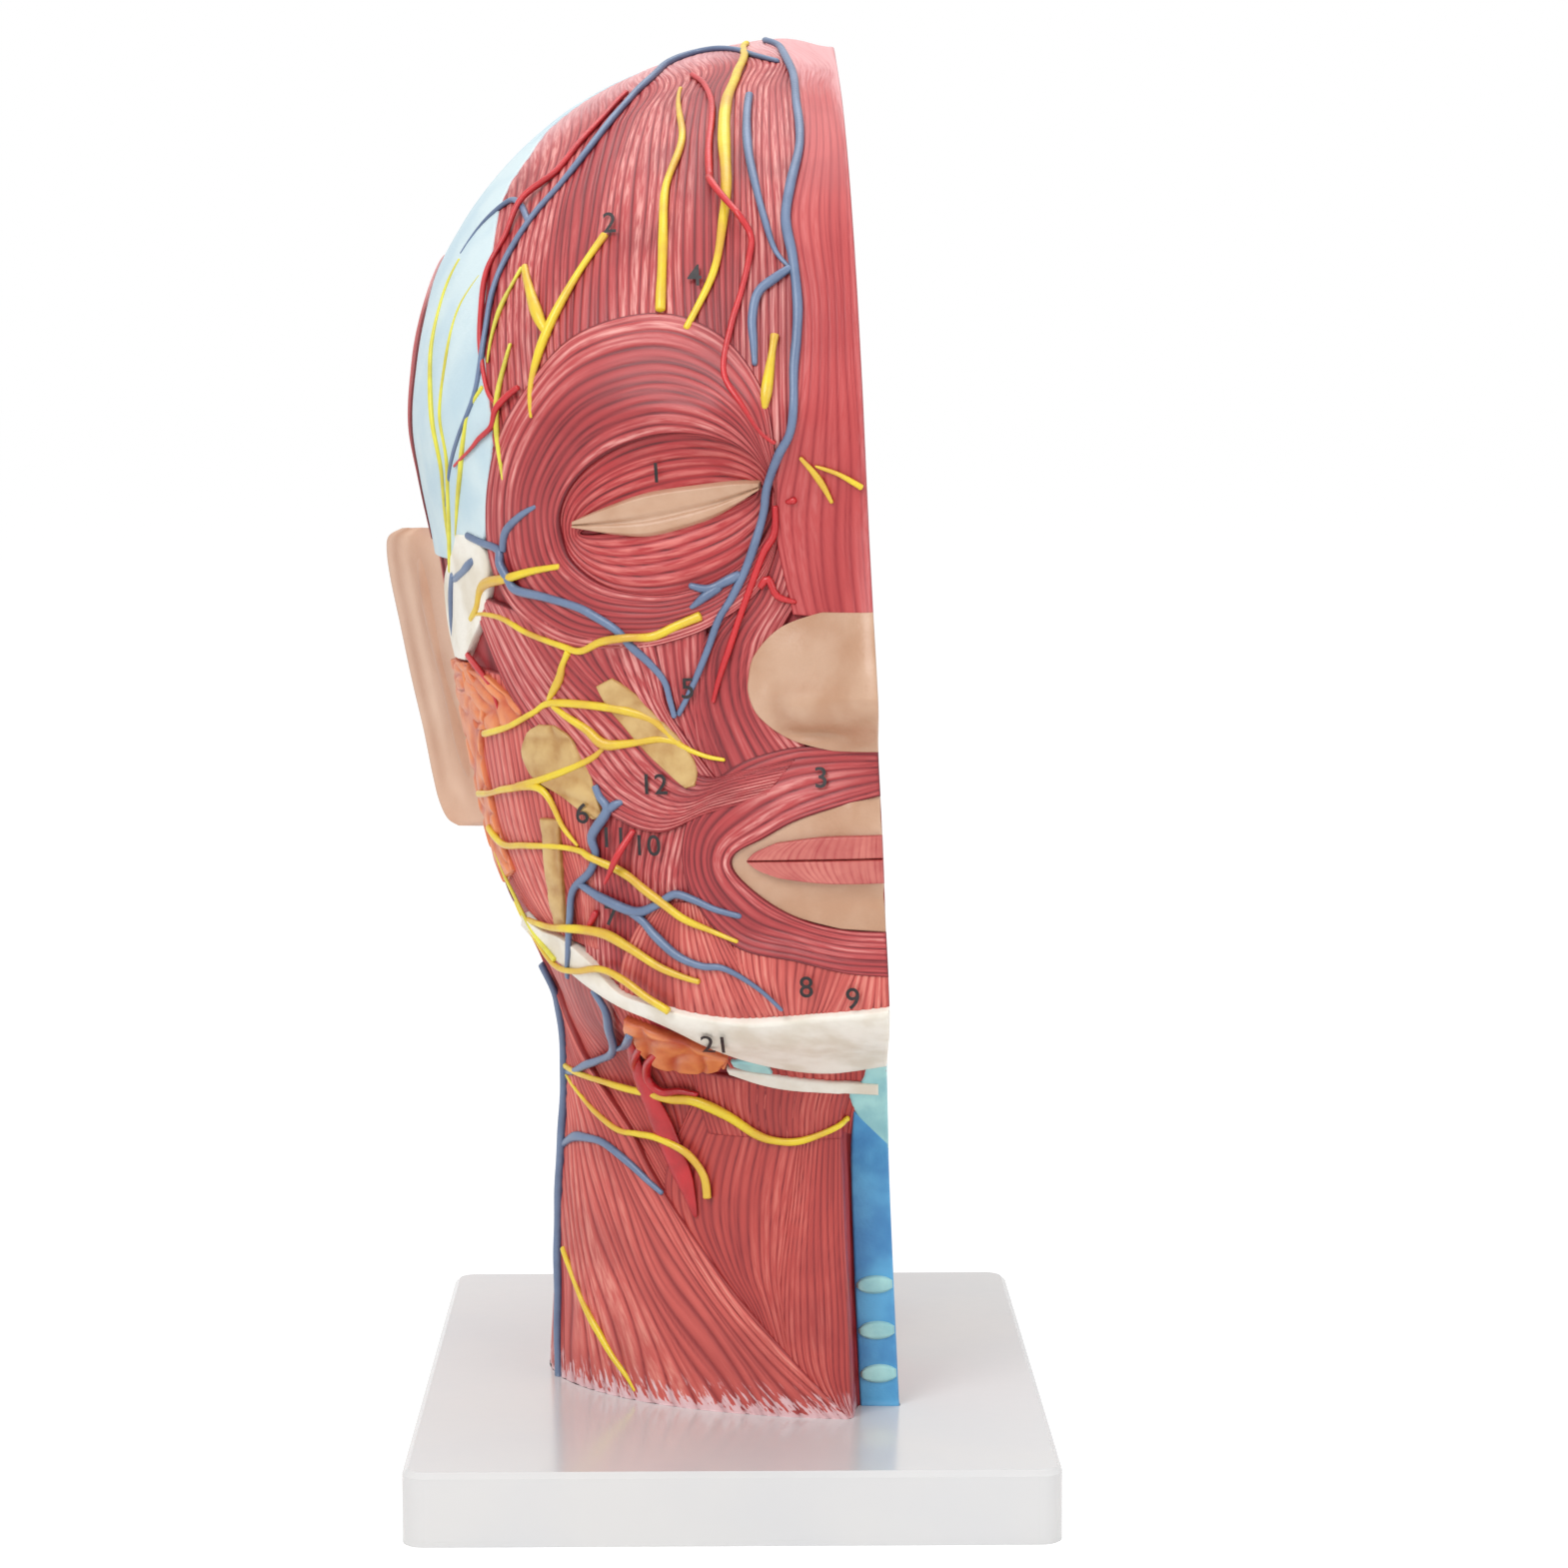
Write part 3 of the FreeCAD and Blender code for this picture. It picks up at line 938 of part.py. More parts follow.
def neck_block():
    """Wooden block glued in the foot of the neck, drilled for the screws."""
    lift = -(lining_depth() + BLOCK_CLEARANCE)
    inner = -(PANEL_RECESS + PANEL_THICKNESS + SEAT_GAP)
    rings = []
    for height in (ROW_HEIGHTS[0], BLOCK_HEIGHT - BLOCK_CHAMFER, BLOCK_HEIGHT):
        shrink = BLOCK_CHAMFER if height == BLOCK_HEIGHT else 0.0
        front = shell_point(0, height, lift - shrink).y
        ring = [Vector(inner - shrink, front, height)]
        for share in BLOCK_TURN_SHARES:
            point = shell_point(share, height, lift - shrink)
            ring.append(Vector(point.x, max(point.y, front), height))
        ring.append(Vector(inner - shrink, ring[-1].y, height))
        rings.append(ring)
    block = stood([closed_solid(rings)], trimmed=True)[0]
    for place in screw_places():
        hole = Part.makeCylinder(SCREW_RADIUS + PILOT_CLEARANCE, BASE_HEIGHT + SCREW_LENGTH, place)
        block = block.cut(hole)
    return [block]


def ear():
    """Outer ear: level sections with a bowl, an inner fold and a rolled rim."""
    rings = []
    for height, front, back, reach in scaled(EAR_SECTION_SHARES):
        root = form_point(turn_at_depth(front, height), height)
        start = Vector(root.x + FLESH, front, height)
        end = Vector(-reach, back, height)
        along = end - start
        outward = Vector(-along.y, along.x, 0).normalize()
        size = along.Length / (EAR_FULL_REACH_SHARE * HALF_BREADTH)
        outer = []
        for share, stand in EAR_PROFILE_SHARES:
            swell = EAR_RIM_RISE if stand > 0 else EAR_BOWL_DEPTH
            lift = EAR_THICKNESS * min(1.0, EAR_ROOT_SHARE + share) + swell * stand * min(size, 1.0)
            outer.append(start + along * share + outward * lift)
        inner = [start + along * share for share, _ in EAR_PROFILE_SHARES]
        rings.append(outer + inner[::-1])
    return stood([closed_solid(rings)])


def turn_at_depth(depth, height):
    """The angle round from the front at which the head is that far back."""
    low = math.pi / 4
    high = math.pi
    for _ in range(40):
        turn = (low + high) / 2
        if form_point(turn, height).y < depth:
            low = turn
        else:
            high = turn
    return low


# Muscles

def frontalis():
    """Forehead muscle, from above the eye's ring muscle over the brow to the crown."""
    return stood([front_slab(FRONTALIS_SHARES, 9, 6)])


def nose_root_muscle():
    """Flat muscle over the bridge of the nose and between the brows."""
    return group([NOSE_ROOT_MUSCLE_SHARES], 3, bottom=-THIN_FLESH)


def around(centre, degrees, across, up):
    """A place at an angle round a centre, on an oval of two reaches."""
    angle = math.radians(degrees)
    return (centre[0] - across * math.cos(angle), centre[1] + up * math.sin(angle))


def slanted(place, centre):
    """A place turned with the slant of the eye."""
    angle = math.radians(EYE_SLANT_DEGREES)
    side = place[0] - centre[0]
    climb = place[1] - centre[1]
    return (centre[0] + side * math.cos(angle) + climb * math.sin(angle),
            centre[1] + climb * math.cos(angle) - side * math.sin(angle))


def orbicularis_oculi():
    """Ring muscle of the eye, open at the inner corner."""
    lines = []
    for degrees, reach in EYE_REACH_SHARES:
        inner = slanted(around(EYE_CENTRE_SHARES, degrees, *EYE_OPENING_SHARES), EYE_CENTRE_SHARES)
        outer = around(EYE_CENTRE_SHARES, degrees, reach, reach)
        lines.append(front_line([inner, outer]))
    return stood([slab(lines, 6, bottom=-THIN_FLESH)])


def orbicularis_oris():
    """Half ring muscle of the mouth, from the section face round its corner and back."""
    centre = (0.005, MOUTH_CENTRE_SHARE)
    lines = []
    for degrees, reach in MOUTH_REACH_SHARES:
        inner = around(centre, degrees, -MOUTH_INNER_SHARES[0], MOUTH_INNER_SHARES[1])
        outer = around(centre, degrees, -reach, reach)
        lines.append(front_line([inner, outer]))
    return stood([slab(lines, 4, bottom=-THIN_FLESH)])


def group(tables, across, **layers):
    """Several sheets of flesh that make one node."""
    return stood([front_slab(table, across, **layers) for table in tables])


def lip_raisers():
    """Two raisers of the upper lip, beside the nose."""
    return group(LIP_RAISER_SHARES, 2)


def zygomatic_muscles():
    """Two straps from the cheekbone to the corner of the mouth."""
    return group(ZYGOMATIC_MUSCLE_SHARES, 3)


def masseter():
    """Chewing muscle on the side of the jaw."""
    return group(MASSETER_SHARES, 4)


def buccinator():
    """Muscle of the cheek, in front of the chewing muscle."""
    return group([BUCCINATOR_SHARES], 3)


def chin_muscles():
    """The two muscles that draw the lower lip and the mouth's corner down."""
    return group(CHIN_MUSCLE_SHARES, 4)


def throat_muscles():
    """Muscles above and below the hyoid bone, and the deep one on which the big artery lies."""
    return group(THROAT_MUSCLE_SHARES, 4) + group([NECK_BED_SHARES], 2, steps=3, top=-SLAB_RIM_DROP)


def strap_muscles():
    """Long straps down the front of the neck."""
    return stood([front_slab(table, 3) for table in STRAP_MUSCLE_SHARES], trimmed=True)


def turn_slab(table, across):
    """A sheet of flesh from level lines measured round the head."""
    return slab([turn_line(*line) for line in table], across)


def sternocleidomastoid():
    """Long muscle from behind the ear down across the neck to its front."""
    return stood([turn_slab(STERNOMASTOID_SHARES, 6)], trimmed=True)


def nape_muscles():
    """Two long muscles at the back of the neck."""
    return stood([turn_slab(table, 4) for table in NAPE_SHARES], trimmed=True)


def occipital_muscle():
    """Flat muscle behind the ear."""
    return stood([turn_slab(OCCIPITAL_SHARES, 4)])


def scalp_fascia():
    """Pale sheet over the temple, the crown and the back of the head."""
    lines = []
    for height, side in SCALP_FRONT_SHARES:
        front = turn_at(side * HALF_BREADTH, height * HALF_BREADTH)
        lines.append([(front, height * HALF_BREADTH), (math.pi * SCALP_BACK_SHARE, height * HALF_BREADTH)])
    upper = slab(lines, 14)
    lower = turn_slab(SCALP_NAPE_SHARES, 2)
    return stood([upper, lower])


# Bones, glands and skin

def mandible():
    """Lower jaw bone, bared below the face muscles from the chin to the jaw's angle."""
    return group([MANDIBLE_SHARES], 9, steps=3, top=BONE_STAND)


def zygomatic_bone():
    """Bared arch of the cheekbone in front of the ear."""
    return group([ZYGOMATIC_BONE_SHARES], 2, top=BONE_STAND / 2)


def hyoid_bone():
    """Thin bone bar across the throat, with its horn."""
    bar, horn = HYOID_SHARES
    return stood([front_slab(bar, 6, top=BONE_STAND / 2), front_slab(horn, 2, top=0.0)])


def larynx():
    """Cartilage of the voice box at the top of the windpipe."""
    return group([LARYNX_SHARES], 2)


def windpipe():
    """Windpipe, set in the notch at the front of the neck."""
    return stood([front_slab(WINDPIPE_SHARES, 4, 2, drop=0.0)], trimmed=True)


def windpipe_rings():
    """Gristle rings on the windpipe, thickest in the middle."""
    rings = []
    for height in RING_HEIGHT_SHARES:
        half = RING_HALF_HEIGHT_SHARE
        low = [(RING_END_SHARE, height - half / 4), (RING_REACH_SHARE / 2, height - half),
               (RING_REACH_SHARE, height - half / 4)]
        high = [(side, 2 * height - level) for side, level in low]
        rings.append(front_slab([low, high], 4, 2, bottom=SEAT_GAP, top=RING_STAND, drop=RING_STAND / 2))
    return stood(rings, trimmed=True)


def parotid_gland():
    """Gland in front of the ear, along the back of the jaw."""
    return group([PAROTID_SHARES], 2, top=GLAND_STAND)


def submandibular_gland():
    """Gland under the jaw."""
    return group([GLAND_SHARES], 4, steps=2, top=GLAND_STAND)


def cheek_pads():
    """Pads of fat in the cheek, and a strip down the jaw muscle."""
    return group(CHEEK_PAD_SHARES, 2)


def nose_skin():
    """Skin left on the tip and wing of the nose."""
    return group([NOSE_SKIN_SHARES], 5, bottom=-THIN_FLESH, drop=SLAB_RIM_DROP / 2)


def mouth_skin():
    """Skin left round the mouth."""
    return group([MOUTH_SKIN_SHARES], 5, drop=SLAB_RIM_DROP / 2)


def lips():
    """Upper and lower lip on the skin."""
    return group(LIP_SHARES, 4, bottom=SEAT_GAP, top=LIP_THICKNESS, drop=SLAB_RIM_DROP)


def eyelids():
    """Closed lids within the eye's ring muscle."""
    return group([EYELID_SHARES], 6, steps=3, top=EYELID_STAND)


# Nerves and vessels

def forehead_nerves():
    """Nerves that climb the forehead, and the fork beside the bridge of the nose."""
    return stood(strands(FOREHEAD_NERVE_SHARES, NERVE_HALF, NERVE_HEIGHT)
                 + strands(NOSE_NERVE_SHARES, THIN_NERVE_HALF, THIN_NERVE_HEIGHT))


def temple_nerves():
    """Thin nerves over the temple."""
    return stood(strands(TEMPLE_NERVE_SHARES, THIN_NERVE_HALF, THIN_NERVE_HEIGHT))


def facial_nerve():
    """Branches of the face's nerve, fanned from the front of the ear over the cheek and jaw."""
    return stood(strands(FACIAL_NERVE_SHARES, NERVE_HALF, NERVE_HEIGHT))


def neck_nerves():
    """Nerves over the side of the neck."""
    return stood(strands(NECK_NERVE_SHARES, NERVE_HALF, NERVE_HEIGHT))


def forehead_veins():
    """Vein from the crown past the nose to the cheek, with its forehead branches."""
    return stood(strands(FOREHEAD_VEIN_SHARES, VEIN_HALF, VEIN_HEIGHT))


def cheek_veins():
    """Vein across the cheekbone, with its short branches."""
    return stood(strands(CHEEK_VEIN_SHARES, VEIN_HALF, VEIN_HEIGHT))


def temporal_veins():
    """Vein over the side of the head, with a branch to the back."""
    return stood(strands(TEMPORAL_VEIN_SHARES, VEIN_HALF, VEIN_HEIGHT))


def facial_veins():
    """Vein down the cheek over the jaw, with two branches to the chin."""
    return stood(strands(FACIAL_VEIN_SHARES, VEIN_HALF, VEIN_HEIGHT))


def neck_veins():
    """Veins of the neck, one of them down its whole side."""
    places = [(math.pi * turn, height * HALF_BREADTH, 0.0) for turn, height in JUGULAR_TURN_SHARES]
    jugular = strand(places, VEIN_HALF, VEIN_HEIGHT)
    return stood(strands(NECK_VEIN_SHARES, VEIN_HALF, VEIN_HEIGHT) + [jugular])


def forehead_artery():
    """Artery that winds down the forehead."""
    return stood(strands(FOREHEAD_ARTERY_SHARES, ARTERY_HALF, ARTERY_HEIGHT))


def temporal_arteries():
    """Artery beside the vein of the temple, and one at the corner of the eye's muscle."""
    return stood(strands(TEMPORAL_ARTERY_SHARES, ARTERY_HALF, ARTERY_HEIGHT))


def face_arteries():
    """Arteries beside the nose, on the cheek and over the jaw."""
    return stood(strands(FACE_ARTERY_SHARES, ARTERY_HALF, ARTERY_HEIGHT))


def carotid_artery():
    """Big artery of the neck with its front branch."""
    return stood(strands(CAROTID_SHARES, CAROTID_HALF, CAROTID_HEIGHT)
                 + strands(CAROTID_BRANCH_SHARES, ARTERY_HALF, ARTERY_HEIGHT))


# Section face

def outline(shares, count_per_side=2):
    """Corners along a smooth closed curve through an outline's places."""
    wrapped = shares[-2:] + shares + shares[:3]
    corners = []
    for number in range(2, len(shares) + 2):
        points = wrapped[number - 1:number + 3]
        for step in range(count_per_side):
            depth, height = (blend(values, step / count_per_side) for values in zip(*points))
            corners.append(Vector(0, depth * HALF_BREADTH, height * HALF_BREADTH))
    return corners


def relief(corners, others=()):
    """A low relief on the panel, cleared round the reliefs beside it."""
    outer = PANEL_RECESS - SEAT_GAP - RELIEF
    inner = PANEL_RECESS - SEAT_GAP
    plate = upright_plate(corners, outer, inner)
    for other in others:
        flat = [Vector(-outer + OVERRUN, corner.y, corner.z) for corner in other]
        face = Part.Face(Part.makePolygon(flat + flat[:1]))
        grown = face.makeOffset2D(RELIEF_EDGE, OFFSET_JOINS.index("sharp"))
        plate = plate.cut(grown.extrude(Vector(-2 * OVERRUN, 0, 0)))
    return plate


def vault_corners():
    """The skull's vault: a band from the brow over the crown to the nape."""
    brow = VAULT_FRONT_END_SHARE * HALF_BREADTH
    nape = VAULT_BACK_END_SHARE * HALF_BREADTH
    return (median_line(-VAULT_SETBACK, brow, nape)
            + median_line(-(VAULT_SETBACK + VAULT_THICKNESS), brow, nape)[::-1])


def skull_section():
    """Cut edge of the skull: its vault, its base and the lower jaw with a tooth."""
    base = relief(outline(SKULL_BASE_SHARES), [outline(BRAINSTEM_SHARES), outline(CONCHA_SHARES[0]),
                                               vault_corners()])
    jaw = relief(outline(JAW_SHARES), [outline(PALATE_SHARES)])
    return stood([relief(vault_corners()), base, jaw])


def cerebrum():
    """Inner face of the large brain, cleared round what lies against it."""
    others = [outline(CALLOSUM_SHARES), outline(BRAINSTEM_SHARES), outline(CEREBELLUM_SHARES),
              outline(SKULL_BASE_SHARES), vault_corners()]
    return stood([relief(outline(CEREBRUM_SHARES), others)])


def corpus_callosum():
    """The arch that joins the halves of the brain."""
    return stood([relief(outline(CALLOSUM_SHARES), [outline(BRAINSTEM_SHARES)])])


def brainstem_and_cord():
    """Brain stem, drawn out into the spinal cord."""
    return stood([relief(outline(BRAINSTEM_SHARES))])


def cerebellum():
    """Small brain behind the stem."""
    return stood([relief(outline(CEREBELLUM_SHARES), [outline(BRAINSTEM_SHARES), vault_corners()])])


def nasal_conchae():
    """Three scrolls of the nose's side wall."""
    return stood([relief(outline(shares)) for shares in CONCHA_SHARES])


def palate():
    """Roof of the mouth with an upper tooth and the soft palate."""
    return stood([relief(outline(PALATE_SHARES))])


def tongue():
    """Cut face of the tongue."""
    return stood([relief(outline(TONGUE_SHARES), [outline(PALATE_SHARES), outline(JAW_SHARES)])])


def throat_section():
    """Back wall of the throat with the lid of the voice box, and the windpipe's front wall."""
    return stood([relief(outline(shares), [outline(TONGUE_SHARES)]) for shares in THROAT_SHARES])


def level_quad(front, back, bottom, top, waist=0.0, drop=0.0):
    """Corners of a body of the spine, drawn in at its middle, its back end dropped."""
    middle = (bottom + top) / 2
    shares = [(front, bottom), (front + waist, middle), (front, top), (back, top - drop),
              (back - waist, middle - drop), (back, bottom - drop)]
    return [Vector(0, depth * HALF_BREADTH, height * HALF_BREADTH) for depth, height in shares]


def spine_levels():
    """The bottoms of the bodies of the spine."""
    return [VERTEBRA_BOTTOM_SHARE + number * VERTEBRA_PITCH_SHARE for number in range(VERTEBRA_COUNT)]


def vertebrae():
    """Bodies of the neck's spine and the spines behind the cord."""
    solids = []
    for bottom in spine_levels():
        top = bottom + VERTEBRA_HEIGHT_SHARE
        solids.append(relief(level_quad(VERTEBRA_FRONT_SHARE, VERTEBRA_BACK_SHARE, bottom, top,
                                        VERTEBRA_WAIST_SHARE)))
        middle = (bottom + top) / 2
        solids.append(relief(level_quad(SPINE_FRONT_SHARE, SPINE_BACK_SHARE, middle - SPINE_HEIGHT_SHARE / 2,
                                        middle + SPINE_HEIGHT_SHARE / 2, drop=SPINE_DROP_SHARE)))
    return stood(solids)


def spine_discs():
    """Discs between the bodies of the spine."""
    solids = []
    for bottom in spine_levels()[1:]:
        low = bottom - (VERTEBRA_PITCH_SHARE - VERTEBRA_HEIGHT_SHARE) + DISC_CLEARANCE_SHARE
        solids.append(relief(level_quad(VERTEBRA_FRONT_SHARE + DISC_INSET_SHARE,
                                        VERTEBRA_BACK_SHARE - DISC_INSET_SHARE, low,
                                        bottom - DISC_CLEARANCE_SHARE)))
    return stood(solids)


PIECES = [
    base_tray, rubber_feet, base_screws, head_shell, section_panel, neck_block, ear,
    frontalis, nose_root_muscle, orbicularis_oculi, orbicularis_oris, lip_raisers, zygomatic_muscles,
    masseter, buccinator, chin_muscles, throat_muscles, strap_muscles, sternocleidomastoid,
    nape_muscles, occipital_muscle, scalp_fascia, mandible, zygomatic_bone, hyoid_bone, larynx,
    windpipe, windpipe_rings, parotid_gland, submandibular_gland, cheek_pads, nose_skin, mouth_skin,
    lips, eyelids, forehead_nerves, temple_nerves, facial_nerve, neck_nerves, forehead_veins,
    cheek_veins, temporal_veins, facial_veins, neck_veins, forehead_artery, temporal_arteries,
    face_arteries, carotid_artery, skull_section, cerebrum, corpus_callosum, brainstem_and_cord,
    cerebellum, nasal_conchae, palate, tongue, throat_section, vertebrae, spine_discs]

for piece in PIECES:
    write(piece.__name__, piece())
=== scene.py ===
# %% [markdown]
# An anatomical half head is a painted plastic casting on a gloss white tray. The tray, its pads and
# its screws come from the frame as they are. The flesh is dressed here: every muscle gets its
# bundles of fibres, every vessel its round section, and every surface its paint.

# %% Load the frame
import bpy
import numpy as np
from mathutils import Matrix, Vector


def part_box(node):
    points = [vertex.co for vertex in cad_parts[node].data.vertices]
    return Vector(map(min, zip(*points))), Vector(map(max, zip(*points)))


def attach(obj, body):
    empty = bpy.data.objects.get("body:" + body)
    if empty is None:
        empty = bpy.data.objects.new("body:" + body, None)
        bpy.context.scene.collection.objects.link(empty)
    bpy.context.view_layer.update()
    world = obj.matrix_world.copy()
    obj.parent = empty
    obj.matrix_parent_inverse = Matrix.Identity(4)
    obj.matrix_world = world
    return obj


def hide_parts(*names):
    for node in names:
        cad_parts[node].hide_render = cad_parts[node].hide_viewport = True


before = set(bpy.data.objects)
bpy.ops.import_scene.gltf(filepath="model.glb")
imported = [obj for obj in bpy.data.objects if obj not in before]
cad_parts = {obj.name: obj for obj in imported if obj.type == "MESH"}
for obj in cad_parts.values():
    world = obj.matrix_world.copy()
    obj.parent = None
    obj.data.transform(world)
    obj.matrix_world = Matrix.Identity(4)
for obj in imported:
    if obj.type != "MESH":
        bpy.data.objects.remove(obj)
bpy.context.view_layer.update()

print("nodes in the frame:", len(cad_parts))

# %% [markdown]
# The casting's form is one smooth surface, so it is written as one formula. At each height the
# section is an oval with a front, a back and a breadth. Swellings shaped like bell curves add the
# brow, the cheekbone, the lips and the chin. A nose ridge is added and a notch for the windpipe is
# taken away. Everything that lies on the head asks this formula where the surface is.

# %% Sizes of the head
MM = 0.001
HALF_BREADTH = 0.1
LEAN = np.radians(2.58)
BASE_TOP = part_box("base_tray")[1].z
SECTION_OFFSET = 37.5 * MM

# Height, front, back, breadth, place of the widest point, fullness in front and behind
FORM_ROW_SHARES = np.array([
    (-0.12, -0.485, 0.600, 0.808, 0.03, 0.00, 0.00),
    (0.00, -0.480, 0.600, 0.798, 0.03, 0.00, 0.00),
    (0.26, -0.460, 0.580, 0.773, 0.04, 0.00, 0.00),
    (0.50, -0.455, 0.580, 0.751, 0.04, 0.00, 0.02),
    (0.66, -0.460, 0.590, 0.736, 0.05, 0.02, 0.02),
    (0.77, -0.490, 0.600, 0.728, 0.05, 0.04, 0.02),
    (0.84, -0.580, 0.605, 0.726, 0.04, 0.06, 0.02),
    (0.91, -0.720, 0.610, 0.732, 0.02, 0.08, 0.02),
    (0.99, -0.790, 0.620, 0.760, 0.01, 0.08, 0.02),
    (1.07, -0.800, 0.640, 0.803, 0.01, 0.06, 0.02),
    (1.16, -0.780, 0.670, 0.844, 0.02, 0.05, 0.02),
    (1.34, -0.780, 0.740, 0.884, 0.05, 0.06, 0.02),
    (1.50, -0.760, 0.830, 0.910, 0.08, 0.08, 0.03),
    (1.65, -0.740, 0.930, 0.933, 0.11, 0.09, 0.04),
    (1.81, -0.730, 1.020, 0.952, 0.14, 0.10, 0.05),
    (1.98, -0.740, 1.095, 0.972, 0.17, 0.12, 0.06),
    (2.11, -0.760, 1.135, 0.992, 0.18, 0.13, 0.06),
    (2.23, -0.760, 1.150, 1.007, 0.19, 0.13, 0.06),
    (2.37, -0.735, 1.135, 0.992, 0.20, 0.12, 0.06),
    (2.53, -0.670, 1.065, 0.947, 0.20, 0.10, 0.06),
    (2.68, -0.560, 0.950, 0.863, 0.20, 0.08, 0.05),
    (2.79, -0.440, 0.830, 0.773, 0.20, 0.06, 0.04),
    (2.89, -0.290, 0.695, 0.658, 0.20, 0.04, 0.03),
    (2.975, -0.120, 0.545, 0.516, 0.20, 0.02, 0.02),
    (3.03, 0.020, 0.420, 0.360, 0.20, 0.00, 0.00),
    (3.062, 0.120, 0.310, 0.195, 0.20, 0.00, 0.00),
    (3.07, 0.175, 0.230, 0.060, 0.20, 0.00, 0.00)])

# Distance from the section face, height, breadth, height of the swelling, and how far it stands out
SWELLING_SHARES = [
    (0.30, 2.22, 0.26, 0.09, 0.040),
    (0.34, 2.03, 0.19, 0.13, -0.065),
    (0.36, 1.99, 0.14, 0.09, 0.045),
    (0.54, 1.80, 0.19, 0.15, 0.040),
    (0.50, 1.42, 0.16, 0.16, -0.020),
    (0.00, 1.32, 0.24, 0.19, 0.045),
    (0.00, 0.98, 0.17, 0.11, 0.030)]
NOSE_ROOT_SHARE = 2.07
NOSE_TIP_SHARE = 1.64
NOSE_UNDER_SHARE = 1.57
NOSE_TOP_SHARE = 2.12
NOSE_DEPTH_SHARES = (0.03, 0.15)
NOSE_BREADTH_SHARES = (0.07, 0.05)
NOSE_SOFTNESS_SHARES = (0.022, 0.04)
NOSE_GROWTH_POWER = 1.3
NOTCH_DEPTH_SHARE = 0.11
NOTCH_BREADTH_SHARE = 0.101
NOTCH_TOP_SHARE = 0.62
NOTCH_SOFTNESS_SHARES = (0.0025, 0.05)
CROWN_DROP_SHARE = 0.030
CROWN_BREADTH_SHARE = 0.075
CROWN_START_SHARES = (2.95, 0.03)
FRONT_COSINE_SHARE = 0.5
TURN_STEP = np.pi / 360
HEIGHT_STEP_SHARE = 0.004
NEARLY_NOTHING = 1e-12
STEEPEST = 40
HALVINGS = 40

print("the form has", len(FORM_ROW_SHARES), "rows and", len(SWELLING_SHARES), "swellings")


# %% The head's surface as one formula
def row_slopes(heights, values):
    """Slope of each column at each row: the weighted harmonic mean of the rises on both sides."""
    steps = np.diff(heights)[:, None]
    rises = np.diff(values, axis=0) / steps
    first = 2 * steps[1:] + steps[:-1]
    second = steps[1:] + 2 * steps[:-1]
    same = rises[:-1] * rises[1:] > 0
    safe = np.where(same, rises[:-1], 1.0), np.where(same, rises[1:], 1.0)
    inner = np.where(same, (first + second) / (first / safe[0] + second / safe[1]), 0.0)
    return np.vstack([rises[:1], inner, rises[-1:]])


ROW_HEIGHTS = FORM_ROW_SHARES[:, 0]
ROW_VALUES = FORM_ROW_SHARES[:, 1:]
ROW_SLOPES = row_slopes(ROW_HEIGHTS, ROW_VALUES)


def form_row(height):
    """Front, back, breadth, middle and both fullnesses at a height: a cubic from row to row."""
    height = np.clip(height, ROW_HEIGHTS[0], ROW_HEIGHTS[-1])
    row = np.clip(np.searchsorted(ROW_HEIGHTS, height) - 1, 0, len(ROW_HEIGHTS) - 2)
    step = (ROW_HEIGHTS[row + 1] - ROW_HEIGHTS[row])[..., None]
    t = (height - ROW_HEIGHTS[row])[..., None] / step
    found = ((1 + 2 * t) * (1 - t) ** 2 * ROW_VALUES[row] + t * (1 - t) ** 2 * step * ROW_SLOPES[row]
             + t * t * (3 - 2 * t) * ROW_VALUES[row + 1] + t * t * (t - 1) * step * ROW_SLOPES[row + 1])
    return np.moveaxis(found, -1, 0)


def rise(value, softness):
    """Zero well below zero, one well above it, and smooth between."""
    return 1 / (1 + np.exp(-np.clip(value / softness, -STEEPEST, STEEPEST)))


def nose_stand(side, height):
    """How far the nose stands out: a ridge that deepens towards its tip, times a bell curve."""
    drop = np.clip((NOSE_ROOT_SHARE - height) / (NOSE_ROOT_SHARE - NOSE_TIP_SHARE), 0, 1)
    ridge = NOSE_DEPTH_SHARES[0] + NOSE_DEPTH_SHARES[1] * drop ** NOSE_GROWTH_POWER
    ridge = ridge * rise(height - NOSE_UNDER_SHARE, NOSE_SOFTNESS_SHARES[0])
    ridge = ridge * rise(NOSE_TOP_SHARE - height, NOSE_SOFTNESS_SHARES[1])
    breadth = NOSE_BREADTH_SHARES[0] + NOSE_BREADTH_SHARES[1] * drop
    return ridge * np.exp(-(side / breadth) ** 2)


def notch_depth(side, height):
    """How deep the windpipe's notch is: its whole depth within its breadth and below its top."""
    across = rise(NOTCH_BREADTH_SHARE - np.abs(side), NOTCH_SOFTNESS_SHARES[0])
    return NOTCH_DEPTH_SHARE * across * rise(NOTCH_TOP_SHARE - height, NOTCH_SOFTNESS_SHARES[1])


